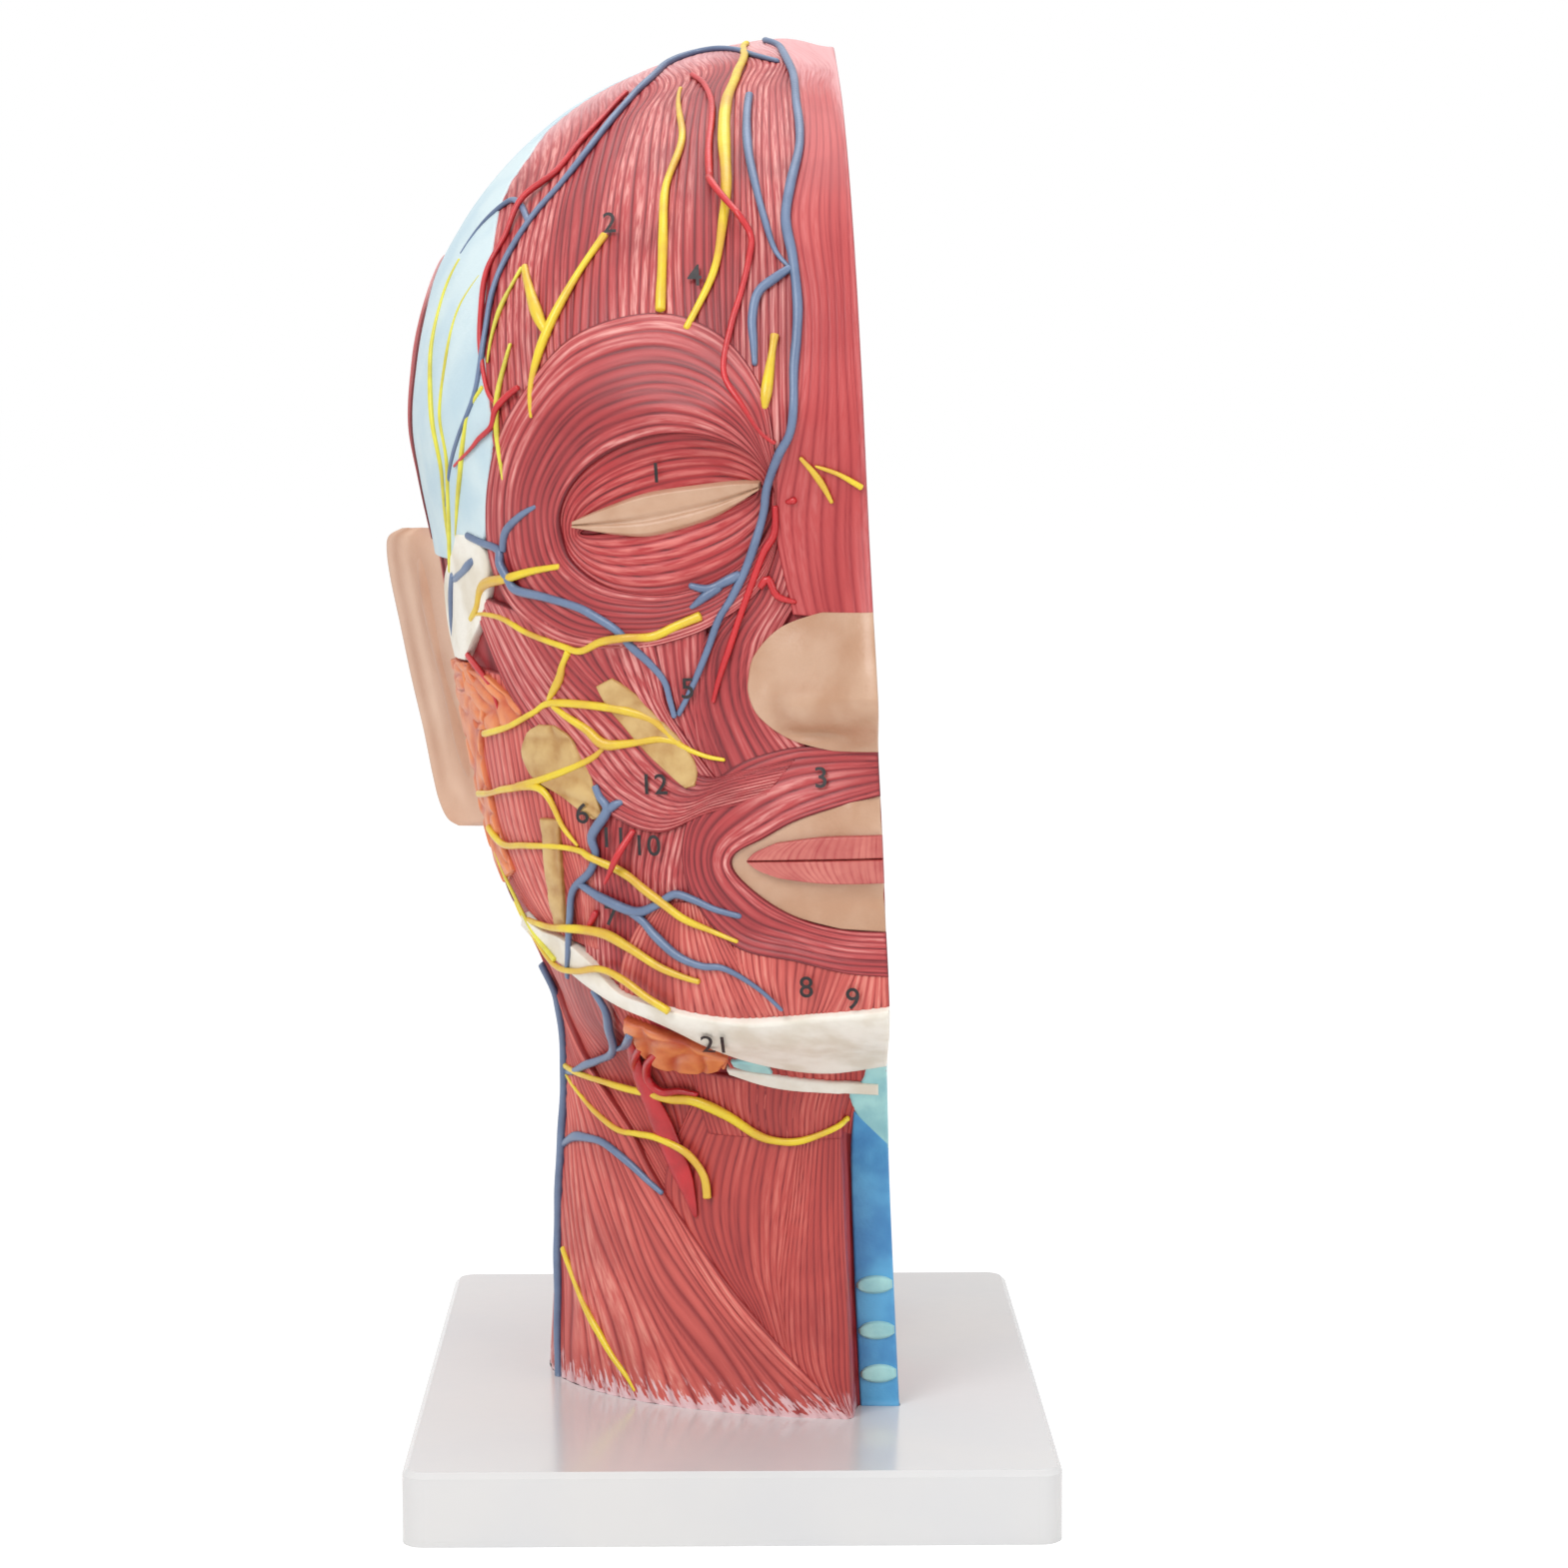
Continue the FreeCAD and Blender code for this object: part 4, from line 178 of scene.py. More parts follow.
def form_share(turn, height, nose=True, notch=True):
    """The surface at an angle round from the front and a height, all as shares.

    side is breadth times sine, made fuller by the cosine squared; depth is the middle less the reach
    times cosine, made fuller by the sine squared; nose, swellings and notch then move it forward.
    Near the section face the crown sinks a little."""
    turn, height = np.broadcast_arrays(np.asarray(turn, float), np.asarray(height, float))
    front, back, half, middle, fuller_front, fuller_back = form_row(height)
    sine, cosine = np.sin(turn), np.cos(turn)
    fullness = np.where(cosine > 0, fuller_front, fuller_back)
    side = half * sine * (1 + fullness * cosine ** 2)
    reach = np.where(cosine > 0, middle - front, back - middle)
    depth = middle - reach * cosine * (1 + fullness * sine ** 2)
    stand = nose_stand(side, height) if nose else np.zeros_like(side)
    if notch:
        stand = stand - notch_depth(side, height)
    for place, level, breadth, tall, out in SWELLING_SHARES:
        stand = stand + out * np.exp(-((side - place) / breadth) ** 2 - ((height - level) / tall) ** 2)
    weight = np.clip(cosine / FRONT_COSINE_SHARE, 0, 1)
    weight = weight * weight * (3 - 2 * weight)
    sink = CROWN_DROP_SHARE * np.exp(-(side / CROWN_BREADTH_SHARE) ** 2)
    sink = sink * rise(height - CROWN_START_SHARES[0], CROWN_START_SHARES[1])
    return np.stack([-side, depth - weight * stand, height - sink], -1)


def form_normal(turn, height):
    """The outward direction: the cross product of a step up and a step round."""
    top = np.minimum(height + HEIGHT_STEP_SHARE, ROW_HEIGHTS[-1])
    up = form_share(turn, top, notch=False) - form_share(turn, top - 2 * HEIGHT_STEP_SHARE, notch=False)
    along = (form_share(turn + TURN_STEP, height, notch=False)
             - form_share(turn - TURN_STEP, height, notch=False))
    normal = np.cross(up, along)
    return normal / np.maximum(np.linalg.norm(normal, axis=-1, keepdims=True), NEARLY_NOTHING)


def over_head(place, lift):
    """A point over the head: the surface at an angle and a height, moved out along its normal."""
    turn, height = place[..., 0], place[..., 1]
    return form_share(turn, height) * HALF_BREADTH + form_normal(turn, height) * np.asarray(lift)[..., None]


def over_section(place, lift):
    """A point over the flat section face: depth and height in the face, and the lift across it."""
    lift = np.broadcast_to(lift, place.shape[:-1])
    return np.stack([lift, place[..., 0] * HALF_BREADTH, place[..., 1] * HALF_BREADTH], -1)


def stood(points):
    """Head points leant about the depth axis and stood on the tray."""
    x, y, z = np.moveaxis(points, -1, 0)
    return np.stack([SECTION_OFFSET + x * np.cos(LEAN) - z * np.sin(LEAN),
                     y,
                     BASE_TOP + x * np.sin(LEAN) + z * np.cos(LEAN)], -1)


def turn_at(side, height):
    """The angle at which the head is that far from the section face, by halving the range."""
    side, height = np.broadcast_arrays(np.asarray(side, float), np.asarray(height, float))
    half, fullness = form_row(height)[2], form_row(height)[4]
    low = np.zeros(side.shape)
    high = np.full(side.shape, np.pi / 2)
    for _ in range(HALVINGS):
        turn = (low + high) / 2
        near = half * np.sin(turn) * (1 + fullness * np.cos(turn) ** 2) < side
        low = np.where(near, turn, low)
        high = np.where(near, high, turn)
    return low


print("the face's tip stands at", stood(over_head(np.array([0.0, NOSE_TIP_SHARE]), 0.0)).round(4))

# %% [markdown]
# Every soft piece is a closed skin through rings of points. A sheet of muscle is one: its top row
# runs across the fibres, its underside runs back, and the next ring lies a little further along
# the fibres. Points are dense across the fibres, where each bundle is a small arch, and sparse
# along them, so a muscle costs few faces. The alternative, a displaced dense grid, would need
# ten times as many.


# %% Closed skins through rings
def smooth_through(values, shares):
    """Catmull and Rom's curve through values along the first axis, at shares of its length."""
    last = len(values) - 1
    place = np.asarray(shares) * last
    near = np.clip(place.astype(int), 0, last - 1)
    t = (place - near).reshape((-1,) + (1,) * (values.ndim - 1))
    before, start, end, after = (values[np.clip(near + k, 0, last)] for k in (-1, 0, 1, 2))
    bend = (2 * before - 5 * start + 4 * end - after) * t * t
    turn = (3 * start - before - 3 * end + after) * t ** 3
    return start + 0.5 * ((end - before) * t + bend + turn)


def ring_faces(rings, count, wrapped):
    """Quads between neighbouring rings, and over each open end a strip of quads across the ring."""
    index = np.arange(rings * count).reshape(rings, count)
    upper = np.roll(index, -1, axis=0) if wrapped else index[1:]
    lower = index if wrapped else index[:-1]
    sides = np.stack([lower, np.roll(lower, -1, 1), np.roll(upper, -1, 1), upper], -1).reshape(-1, 4)
    if wrapped:
        return sides
    step = np.arange(count // 2 - 1)
    strip = np.stack([step, count - 1 - step, count - 2 - step, step + 1], -1)
    return np.concatenate([sides, strip, strip[:, ::-1] + (rings - 1) * count])


def outward(points, faces):
    """Faces turned outwards: if the volume summed over them is negative, all are reversed."""
    a, b, c, d = (points[faces[:, k]] for k in range(4))
    volume = (np.einsum("ij,ij->i", a, np.cross(b, c)) + np.einsum("ij,ij->i", a, np.cross(c, d))).sum()
    return faces if volume > 0 else faces[:, ::-1]


def skin(rings, wrapped=False, **paints):
    """A part: points, outward faces, and a value for each point of each kind of paint."""
    count = rings.shape[0] * rings.shape[1]
    points = stood(rings).reshape(count, 3)
    points[:, 2] = np.maximum(points[:, 2], BASE_TOP)
    faces = outward(points, ring_faces(rings.shape[0], rings.shape[1], wrapped))
    values = {"ridge": np.ones(count), "pale": np.zeros(count), "grain": np.zeros((count, 3))}
    for kind, value in paints.items():
        values[kind] = value.reshape((count, -1)) if kind == "grain" else value.reshape(count)
    return points, faces, values


def piece(name, parts, material, node):
    """Joins parts into one smooth mesh that rides on the root and stands for a node of the frame."""
    points, faces, start = [], [], 0
    for part_points, part_faces, _ in parts:
        points.append(part_points)
        faces.append(part_faces + start)
        start += len(part_points)
    mesh = bpy.data.meshes.new(name)
    mesh.from_pydata(np.concatenate(points).tolist(), [], np.concatenate(faces).tolist())
    mesh.polygons.foreach_set("use_smooth", np.ones(len(mesh.polygons), bool))
    for kind, form, key in (("ridge", "FLOAT", "value"), ("pale", "FLOAT", "value"),
                            ("grain", "FLOAT_VECTOR", "vector")):
        stored = mesh.attributes.new(kind, form, "POINT")
        stored.data.foreach_set(key, np.concatenate([part[2][kind] for part in parts]).ravel())
    mesh.materials.append(material)
    made = bpy.data.objects.new(name, mesh)
    bpy.context.scene.collection.objects.link(made)
    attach(made, "root")
    if node:
        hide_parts(node)
    print(name, len(mesh.polygons), "faces")
    return made


print("5 rings of 8 points close with", len(ring_faces(5, 8, False)), "faces")

# %% [markdown]
# A fibre bundle is a small arch between two narrow grooves. Its place across the muscle is a
# phase; the arch is the square root of one less the square of the distance from its middle. The
# phase wanders a little along the muscle, and each bundle has its own height, as a sculptor's
# hand leaves them.

# %% A smooth random field
WAVES = 5
WAVE_SIZE_SHARES = (0.6, 1.5)
WAVE_SUM = 2.6


def wander(across, along, reach, seed):
    """A smooth random field between about minus one and one: sine waves of random direction."""
    draw = np.random.default_rng(seed)
    total = np.zeros(np.broadcast(across, along).shape)
    for _ in range(WAVES):
        angle, phase = draw.uniform(0, 2 * np.pi), draw.uniform(0, 2 * np.pi)
        size = draw.uniform(*WAVE_SIZE_SHARES)
        wave = (across * np.cos(angle) + along * np.sin(angle)) * 2 * np.pi / reach * size
        total = total + np.sin(wave + phase)
    return total / WAVE_SUM


def swing(phase):
    """A sine between zero and one."""
    return 0.5 + 0.5 * np.sin(phase)

# %% Reliefs: fibres, lobes and smooth flesh
SWAY_REACH = 14 * MM
SWAY_STRETCH = 5
SWELL_REACH = 11 * MM
SWELL_TURN = 0.8
BUNDLE_TURN = 12.9898
SEED_TURN = 3.7
BUNDLE_HEIGHT_SHARES = (0.62, 0.38)
MEAN_BUNDLE_SHARE = 0.75
SPLIT_REACH = 9 * MM
SPLIT_TURN = 4.31
SPLIT_PLACE_SHARES = (0.35, 0.3)
SPLIT_BREADTH_SHARE = 0.08
SPLIT_DEPTH_SHARE = 0.34
LOBE_REACH_SHARE = 2.2
LOBE_FURROW_SHARE = 0.35
MEAN_LOBE_SHARE = 0.6
CALM_REACH = 22 * MM
CALM_RIDGE_SHARES = (0.62, 0.25)


def fibres(pitch, depth, seed, sway=0.5):
    """Bundles across a sheet: arches of uneven height, split here and there by a finer groove.

    Each bundle's number, turned by a large angle, gives its own height and its own split."""
    def relief(across, along):
        phase = across / pitch + sway * wander(across, along / SWAY_STRETCH, SWAY_REACH, seed)
        number = np.floor(phase)
        inside = phase - number
        arch = np.sqrt(np.clip(1 - (2 * inside - 1) ** 2, 0, 1))
        swell = SWELL_TURN * np.sin(along / SWELL_REACH + number)
        own = swing(number * BUNDLE_TURN + seed * SEED_TURN + swell)
        place = inside - SPLIT_PLACE_SHARES[0] - SPLIT_PLACE_SHARES[1] * own
        split = swing(number * SPLIT_TURN + along / SPLIT_REACH + seed)
        groove = SPLIT_DEPTH_SHARE * split * np.exp(-(place / SPLIT_BREADTH_SHARE) ** 2)
        ridge = arch * (BUNDLE_HEIGHT_SHARES[0] + BUNDLE_HEIGHT_SHARES[1] * own) - groove * arch
        return depth * (ridge - MEAN_BUNDLE_SHARE), ridge
    return relief


def lumps(size, depth, seed):
    """Lobes of a gland: furrows lie where a random field is near zero, and swell between."""
    def relief(across, along):
        field = wander(across, along, size * LOBE_REACH_SHARE, seed)
        ridge = 1 - np.exp(-(field / LOBE_FURROW_SHARE) ** 2)
        return depth * (ridge - MEAN_LOBE_SHARE), ridge
    return relief


def calm(depth, seed):
    """Nearly smooth flesh: only a slow unevenness."""
    def relief(across, along):
        field = wander(across, along, CALM_REACH, seed)
        return depth * field, CALM_RIDGE_SHARES[0] + CALM_RIDGE_SHARES[1] * field
    return relief


sample, _ = fibres(2 * MM, 0.4 * MM, 1)(np.linspace(0, 20 * MM, 200), np.zeros(200))
print("bundles 0.4 mm deep rise and fall by", round(np.ptp(sample) / MM, 2), "mm")

# %% [markdown]
# A muscle is laid as a tailor lays cloth: from a first line to a last one, with a few lines between.
# The lines are places on the head, so the sheet follows the form by itself, whatever its relief.

# %% Sheets laid from line to line
FINE = 0.23 * MM
COARSE = 1.4 * MM
RIM = 0.8 * MM
RIM_STEP_SHARES = np.array([0.12, 0.3, 0.55, 0.8])
PROBE_STEPS = 25
LEAST_STEPS = 4
FADE_SHARE = 0.3
COAT_FILL_SHARE = 0.65


def end_dense(length, step, rim):
    """Shares along a length: even steps, and closer ones within a rim of both ends."""
    even = np.linspace(0, 1, max(int(length / step), LEAST_STEPS) + 1)
    near = RIM_STEP_SHARES * rim / length
    return np.unique(np.concatenate([even, near, 1 - near]).clip(0, 1).round(6))


def arc_length(points, axis):
    """The mean length of a grid's rows or columns."""
    return np.linalg.norm(np.diff(points, axis=axis), axis=-1).sum(axis).mean()


def through_net(net, along, across):
    """Places of a net of lines, smoothed from line to line and then within the lines."""
    return smooth_through(smooth_through(net, along).swapaxes(0, 1), across).swapaxes(0, 1)


def paleness(share, first, last):
    """How pale the paint is at a share of the way: it fades in from both borders."""
    near_last = np.clip(1 - (1 - share) / FADE_SHARE, 0, 1)
    return first * np.clip(1 - share / FADE_SHARE, 0, 1) + last * near_last


def there_and_back(outer, inner):
    """The values over the outside of each ring, and back along its underside."""
    return np.concatenate([outer, inner[:, ::-1]], 1)


def sheet(lines, relief, top=0.0, under=-2.0 * MM, rim=0.5 * MM, ends=(0.0, 0.0), sides=(0.0, 0.0),
          lay=over_head, wrapped=False, across_step=FINE, along_step=COARSE):
    """A closed sheet laid smoothly from line to line, with fibres that run from line to line.

    The outer surface is the form moved out by top plus the relief, and falls away within a rim of
    its edges; ends and sides say how pale its first and last stretches are."""
    net = np.asarray(lines, float)
    probe = np.linspace(0, 1, PROBE_STEPS)
    probe = lay(through_net(net, probe, probe), 0.0)
    length, width = arc_length(probe, 0), arc_length(probe, 1)
    t = end_dense(length, along_step, RIM)
    if wrapped:
        t = np.linspace(0, 1, int(length / along_step) + 1)[:-1]
    s = end_dense(width, across_step, RIM)
    grid = through_net(net, t, s)
    across, along = np.broadcast_arrays(s[None, :] * width, t[:, None] * length)
    edge = np.minimum(s, 1 - s)[None, :] * width
    if not wrapped:
        edge = np.minimum(edge, np.minimum(t, 1 - t)[:, None] * length)
    inside = np.broadcast_to(np.clip(edge / RIM, 0, 1), across.shape)
    pale = np.clip(paleness(t[:, None], *ends) + paleness(s[None, :], *sides), 0, 1)
    bare = 1 - COAT_FILL_SHARE * pale
    height, ridge = relief(across, along)
    outer = lay(grid, top + height * inside * bare - rim * (1 - inside) ** 2)
    inner = lay(grid, np.full(across.shape, under))
    # The ridge value falls to nothing within the rim, so each sheet's edge takes its paint's darker tint:
    # painted shade where the sheets meet.
    paints = {"ridge": (1 - (1 - ridge) * bare) * inside, "pale": pale,
              "grain": np.stack([across, along, np.zeros(across.shape)], -1)}
    doubled = {kind: there_and_back(value, value) for kind, value in paints.items()}
    return skin(there_and_back(outer, inner), wrapped, **doubled)


def front_lines(table):
    """Lines of places measured from the section face, as angles and heights."""
    table = [np.asarray(line, float) for line in table]
    return [np.stack([turn_at(line[:, 0], line[:, 1]), line[:, 1]], -1) for line in table]


def level_lines(table):
    """Level lines measured round the head, as angles and heights."""
    return [[(np.pi * start, height), (np.pi * end, height)] for height, start, end in table]


print("a fibre 20 mm long is cut into", len(end_dense(20 * MM, COARSE, RIM)) - 1, "steps")

# %% [markdown]
# Nerves and vessels are strands. A bevelled curve would float over the form or sink into it, so an
# oval section is carried along the route, turned at each step to stand on the surface below it.

# %% Strands
STRAND_SIDES = 12
STRAND_STEP = 0.9 * MM
STRAND_PROBES = 60
THINNEST_TIP_SHARE = 0.02
KNOT_SHARE = 0.07
KNOT_REACHES = (3.1 * MM, 7.7 * MM)
KNOT_TURN = 9 / MM
STRAND_RISE_SHARES = (0.62, 0.42)


def carried_frame(route):
    """Centres along a route over the head, and the directions across it and away from the head."""
    normal = form_normal(route[:, 0], route[:, 1])
    centre = over_head(route[:, :2], route[:, 2])
    along = np.gradient(centre, axis=0)
    along /= np.linalg.norm(along, axis=-1, keepdims=True)
    side = np.cross(along, normal)
    side /= np.linalg.norm(side, axis=-1, keepdims=True)
    return centre, side, np.cross(side, along)


def strand(table, half, height, widths, direct=False):
    """A nerve or vessel: an oval section carried along a smooth route over the head.

    Each place may add a lift. The section is half wide and height tall, flattened below, and its
    size follows the widths along the route, with small knots, and falls to nothing at both tips."""
    rows = np.array([tuple(place) + (0.0,) * (3 - len(place)) for place in table], float)
    rows[:, 0] = rows[:, 0] * np.pi if direct else turn_at(rows[:, 0], rows[:, 1])
    rows[:, 2] *= HALF_BREADTH
    probe = over_head(smooth_through(rows, np.linspace(0, 1, STRAND_PROBES))[:, :2], 0.0)
    length = np.linalg.norm(np.diff(probe, axis=0), axis=-1).sum()
    t = end_dense(length, STRAND_STEP, half)
    centre, side, up = carried_frame(smooth_through(rows, t))
    inside = np.clip(np.minimum(t, 1 - t) * length / half, 0, 1)
    size = smooth_through(np.asarray(widths, float), t)
    size = size * np.sqrt(np.clip(1 - (1 - inside) ** 2, THINNEST_TIP_SHARE, 1))
    knot = np.sin(t * length / KNOT_REACHES[0]) * np.sin(t * length / KNOT_REACHES[1] + half * KNOT_TURN)
    size = (size * (1 + KNOT_SHARE * knot))[:, None]
    angle = np.linspace(0, 2 * np.pi, STRAND_SIDES, endpoint=False)
    wide = (np.cos(angle) * half)[None, :] * size
    tall = (np.sin(angle) * STRAND_RISE_SHARES[0] * height)[None, :] * size
    tall = tall + STRAND_RISE_SHARES[1] * height * size
    rings = centre[:, None] + side[:, None] * wide[..., None] + up[:, None] * tall[..., None]
    # The ridge value is high on top of the section and low underneath, so the paint is lighter on top and
    # darker below: painted highlight and shade.
    ridge = np.broadcast_to(np.clip(swing(angle), 0, 1), wide.shape)
    along = np.broadcast_to((t * length)[:, None], wide.shape)
    return skin(rings, ridge=ridge, grain=np.stack([wide, along, np.zeros(wide.shape)], -1))


print("a strand has", STRAND_SIDES, "sides and a ring each", STRAND_STEP / MM, "mm")

# %% [markdown]
# Shader maths reads best as sums. A small class wraps one output of a node and overloads the
# operators, so that "1 - ridge" adds the Math node it needs. A second class holds the nodes of a
# material and adds any other node from its type, its settings and its sockets.


# %% Shader sums written as Python
class Wire:
    """One output of a shader node, which takes part in sums as a number does."""

    def __init__(self, paint, socket):
        self.paint = paint
        self.socket = socket

    def maths(self, operation, *values):
        """The output of a new Math node that works on some values."""
        return self.paint.node("ShaderNodeMath", {"operation": operation}, dict(enumerate(values)))

    def __add__(self, other):
        return self.maths("ADD", self, other)

    def __rsub__(self, other):
        return self.maths("SUBTRACT", other, self)

    def __mul__(self, other):
        return self.maths("MULTIPLY", self, other)

    __radd__ = __add__
    __rmul__ = __mul__

    def between(self, low, high):
        """Zero up to low, one from high on, and smooth between."""
        return self.paint.node("ShaderNodeMapRange", {"interpolation_type": "SMOOTHSTEP"},
                               {"Value": self, "From Min": low, "From Max": high})

# %% Nodes of a material or of the sky
COAT_ROUGHNESS = 0.18
MIX_COLOUR_SOCKETS = (6, 7)
MIX_COLOUR_OUTPUT = 2


class Paint:
    """The nodes of a material, or of the world, while it is being made."""

    def __init__(self, owner):
        owner.use_nodes = True
        self.owner = owner
        self.tree = owner.node_tree
        self.tree.nodes.clear()

    def node(self, kind, settings, sockets, output=0):
        """Adds a node: its settings first, then the values or links of its sockets."""
        made = self.tree.nodes.new(kind)
        for name, value in settings.items():
            setattr(made, name, value)
        for name, value in sockets.items():
            if isinstance(value, Wire):
                self.tree.links.new(value.socket, made.inputs[name])
            else:
                made.inputs[name].default_value = value
        return Wire(self, made.outputs[output]) if made.outputs else None

    def stored(self, name):
        """A number stored on the mesh."""
        return self.node("ShaderNodeAttribute", {"attribute_name": name}, {}, "Fac")

    def noise(self, size, detail=3.0, stretch=(1, 1, 1), grain=False):
        """Soft noise of about the given size, in the object's or the fibres' own coordinates."""
        if grain:
            places = self.node("ShaderNodeAttribute", {"attribute_name": "grain"}, {}, "Vector")
        else:
            places = self.node("ShaderNodeTexCoord", {}, {}, "Object")
        places = self.node("ShaderNodeMapping", {}, {"Vector": places, "Scale": stretch})
        return self.node("ShaderNodeTexNoise", {}, {"Vector": places, "Scale": 1 / size, "Detail": detail})

    def mix(self, share, first, second):
        """A colour between two others."""
        sockets = dict(zip(MIX_COLOUR_SOCKETS, (first, second)))
        return self.node("ShaderNodeMix", {"data_type": "RGBA"}, {0: share, **sockets}, MIX_COLOUR_OUTPUT)

    def finish(self, colour, rough, height, depth, coat=0.0, metal=0.0):
        """Joins colour, roughness and a bump to the surface shader, and gives the material."""
        bump = self.node("ShaderNodeBump", {}, {"Height": height, "Distance": depth})
        shader = self.node("ShaderNodeBsdfPrincipled", {}, {
            "Base Color": colour, "Roughness": rough, "Metallic": metal, "Coat Weight": coat,
            "Coat Roughness": COAT_ROUGHNESS, "Normal": bump})
        self.node("ShaderNodeOutputMaterial", {}, {"Surface": shader})
        return self.owner


FULL_TINT = 255
DARK_END_SHARE = 0.04045
DARK_SLOPE = 12.92
CURVE_LIFT_SHARE = 0.055
CURVE_POWER = 2.4


def tint(red, green, blue):
    """A paint's colour from the 0 to 255 scale, as the linear values that a shader takes.

    The screen's curve is a straight line in the dark and a power above it."""
    share = np.array([red, green, blue]) / FULL_TINT
    curve = ((share + CURVE_LIFT_SHARE) / (1 + CURVE_LIFT_SHARE)) ** CURVE_POWER
    linear = np.where(share <= DARK_END_SHARE, share / DARK_SLOPE, curve)
    return (*linear.tolist(), 1.0)


print("a middle grey as a shader takes it:", tint(128, 128, 128))

# %% [markdown]
# The muscles are painted in three passes, as in the workshop: a dark red wash that stays in the
# grooves and also paints the shade that falls there, a mid red over the bundles, and a dry pink
# brush that only touches their tops and also paints their highlights. The ridge value stored on
# the mesh says where each pass goes, and the pale value whitens tendons.

# %% Paint of the muscles
STREAK = 0.5 * MM
PATCH = 4.5 * MM
CLOUD = 19 * MM
STREAK_STRETCH = (1, 0.08, 1)
PATCH_STRETCH = (1, 0.25, 1)
MUSCLE_BUMP = 0.12 * MM
MUSCLE_COAT = 0.08
CLOUD_DETAIL = 2.0
FOOT_LEVEL = BASE_TOP + 1.5 * MM
FOOT_FRINGE = 10 * MM

# Where each pass starts and is whole, by ridge, cloud, patch or streak
FLESH_SHARES = (0.18, 0.74)
BRUSH_HIGHLIGHT_SHARES = (0.58, 0.98)
CLOUD_SHARES = (0.5, 0.72)
PATCH_SHARES = (0.5, 0.78)
STREAK_SHARES = (0.33, 0.66)
FOOT_STREAK_SHARES = (0.38, 0.68)
BARE_SHARES = (0.2, 0.8)

# How much wash the clouds and patches add back, and straight lines of a start and a slope
CLOUD_WASH_SHARE = 0.34
PATCH_WASH_SHARE = 0.30
CLOUDED_BRUSH = (1.25, 1.0)
STREAKED_BARE = (0.4, 1.3)
RIDGED_BARE = (0.45, 0.5)
STREAK_ROUGHNESS = 0.12


def pale_marks(paint, ridge, streak, foot):
    """Where tendons and the feet just above the tray show pale: streaks break the stored value, ridges hold
    more.
    """
    place = paint.node("ShaderNodeTexCoord", {}, {}, "Object")
    height = paint.node("ShaderNodeSeparateXYZ", {}, {0: place}, "Z")
    reach = streak.between(*FOOT_STREAK_SHARES) * FOOT_FRINGE + FOOT_LEVEL
    near_foot = (1 - height.between(BASE_TOP, reach)) * foot
    broken = STREAKED_BARE[0] + STREAKED_BARE[1] * streak
    bare = ((paint.stored("pale") + near_foot) * broken).between(*BARE_SHARES)
    return bare * (RIDGED_BARE[0] + RIDGED_BARE[1] * ridge)


def muscle_paint(name, *tints, brush_highlight=0.8, rough=0.42, foot=0.0):
    """Wash with painted shade in the grooves, flesh, and dry brush with painted highlight on the tops, by
    ridge height, broken by streaks that run along the fibres.

    Clouds and longer patches make the mix uneven, and foot whitens the ridges just above the tray."""
    groove, flesh, brush_highlight_tint, pale = (tint(*colour) for colour in tints)
    paint = Paint(bpy.data.materials.new(name))
    ridge = paint.stored("ridge")
    streak = paint.noise(STREAK, stretch=STREAK_STRETCH, grain=True)
    cloud = paint.noise(CLOUD, CLOUD_DETAIL)
    patch = paint.noise(PATCH, CLOUD_DETAIL, PATCH_STRETCH, grain=True)
    # Where the ridge value is low, the groove tint is a wash and painted shade in the grooves.
    colour = paint.mix(ridge.between(*FLESH_SHARES), groove, flesh)
    colour = paint.mix(cloud.between(*CLOUD_SHARES) * CLOUD_WASH_SHARE, colour, groove)
    colour = paint.mix(patch.between(*PATCH_SHARES) * PATCH_WASH_SHARE, colour, groove)
    # The dry brush paints a highlight on the tops of the bundles.
    top = ridge.between(*BRUSH_HIGHLIGHT_SHARES) * streak.between(*STREAK_SHARES) * brush_highlight
    colour = paint.mix(top * (CLOUDED_BRUSH[0] - CLOUDED_BRUSH[1] * cloud), colour, brush_highlight_tint)
    colour = paint.mix(pale_marks(paint, ridge, streak, foot), colour, pale)
    return paint.finish(colour, rough + STREAK_ROUGHNESS * streak, streak, MUSCLE_BUMP, MUSCLE_COAT)


# Groove wash with painted shade, flesh, dry brush with painted highlight, and tendon
MUSCLE = muscle_paint("muscle_red", (108, 18, 28), (178, 60, 62), (238, 170, 162), (222, 172, 174),
                      brush_highlight=0.95)
# A darker copy of the muscle paint: painted shade for the eye's hollow, behind the ear and at the head's
# far edge.
SHADED_MUSCLE = muscle_paint("muscle_shaded_red", (98, 8, 18), (174, 44, 48), (228, 132, 124),
                           (222, 160, 158), brush_highlight=0.75)
MUSCLE_ROOT = muscle_paint("muscle_root_red", (154, 38, 44), (186, 68, 68), (208, 112, 110),
                           (226, 170, 172), brush_highlight=0.7)
MUSCLE_NECK = muscle_paint("muscle_neck_red", (142, 42, 42), (202, 88, 80), (236, 160, 144),
                           (230, 200, 204), foot=0.9)
MUSCLE_STRAP = muscle_paint("muscle_strap_red", (134, 32, 36), (180, 64, 58), (212, 114, 102),
                            (228, 190, 194), foot=0.7)
# The bed's dark red is painted shade for the furrows between the muscles.
SHADED_BED = muscle_paint("muscle_bed_shade", (110, 18, 26), (154, 38, 44), (178, 74, 74), (200, 120, 120),
                          brush_highlight=0.4, rough=0.5)
print("muscle paints:", len(bpy.data.materials))

# %% [markdown]
# Everything else is brushed in two near tints of one colour. What differs is how large the blotches
# are, how far the darker tint runs into the furrows and undersides as painted shade, how rough the
# coat is and how much gloss it has.

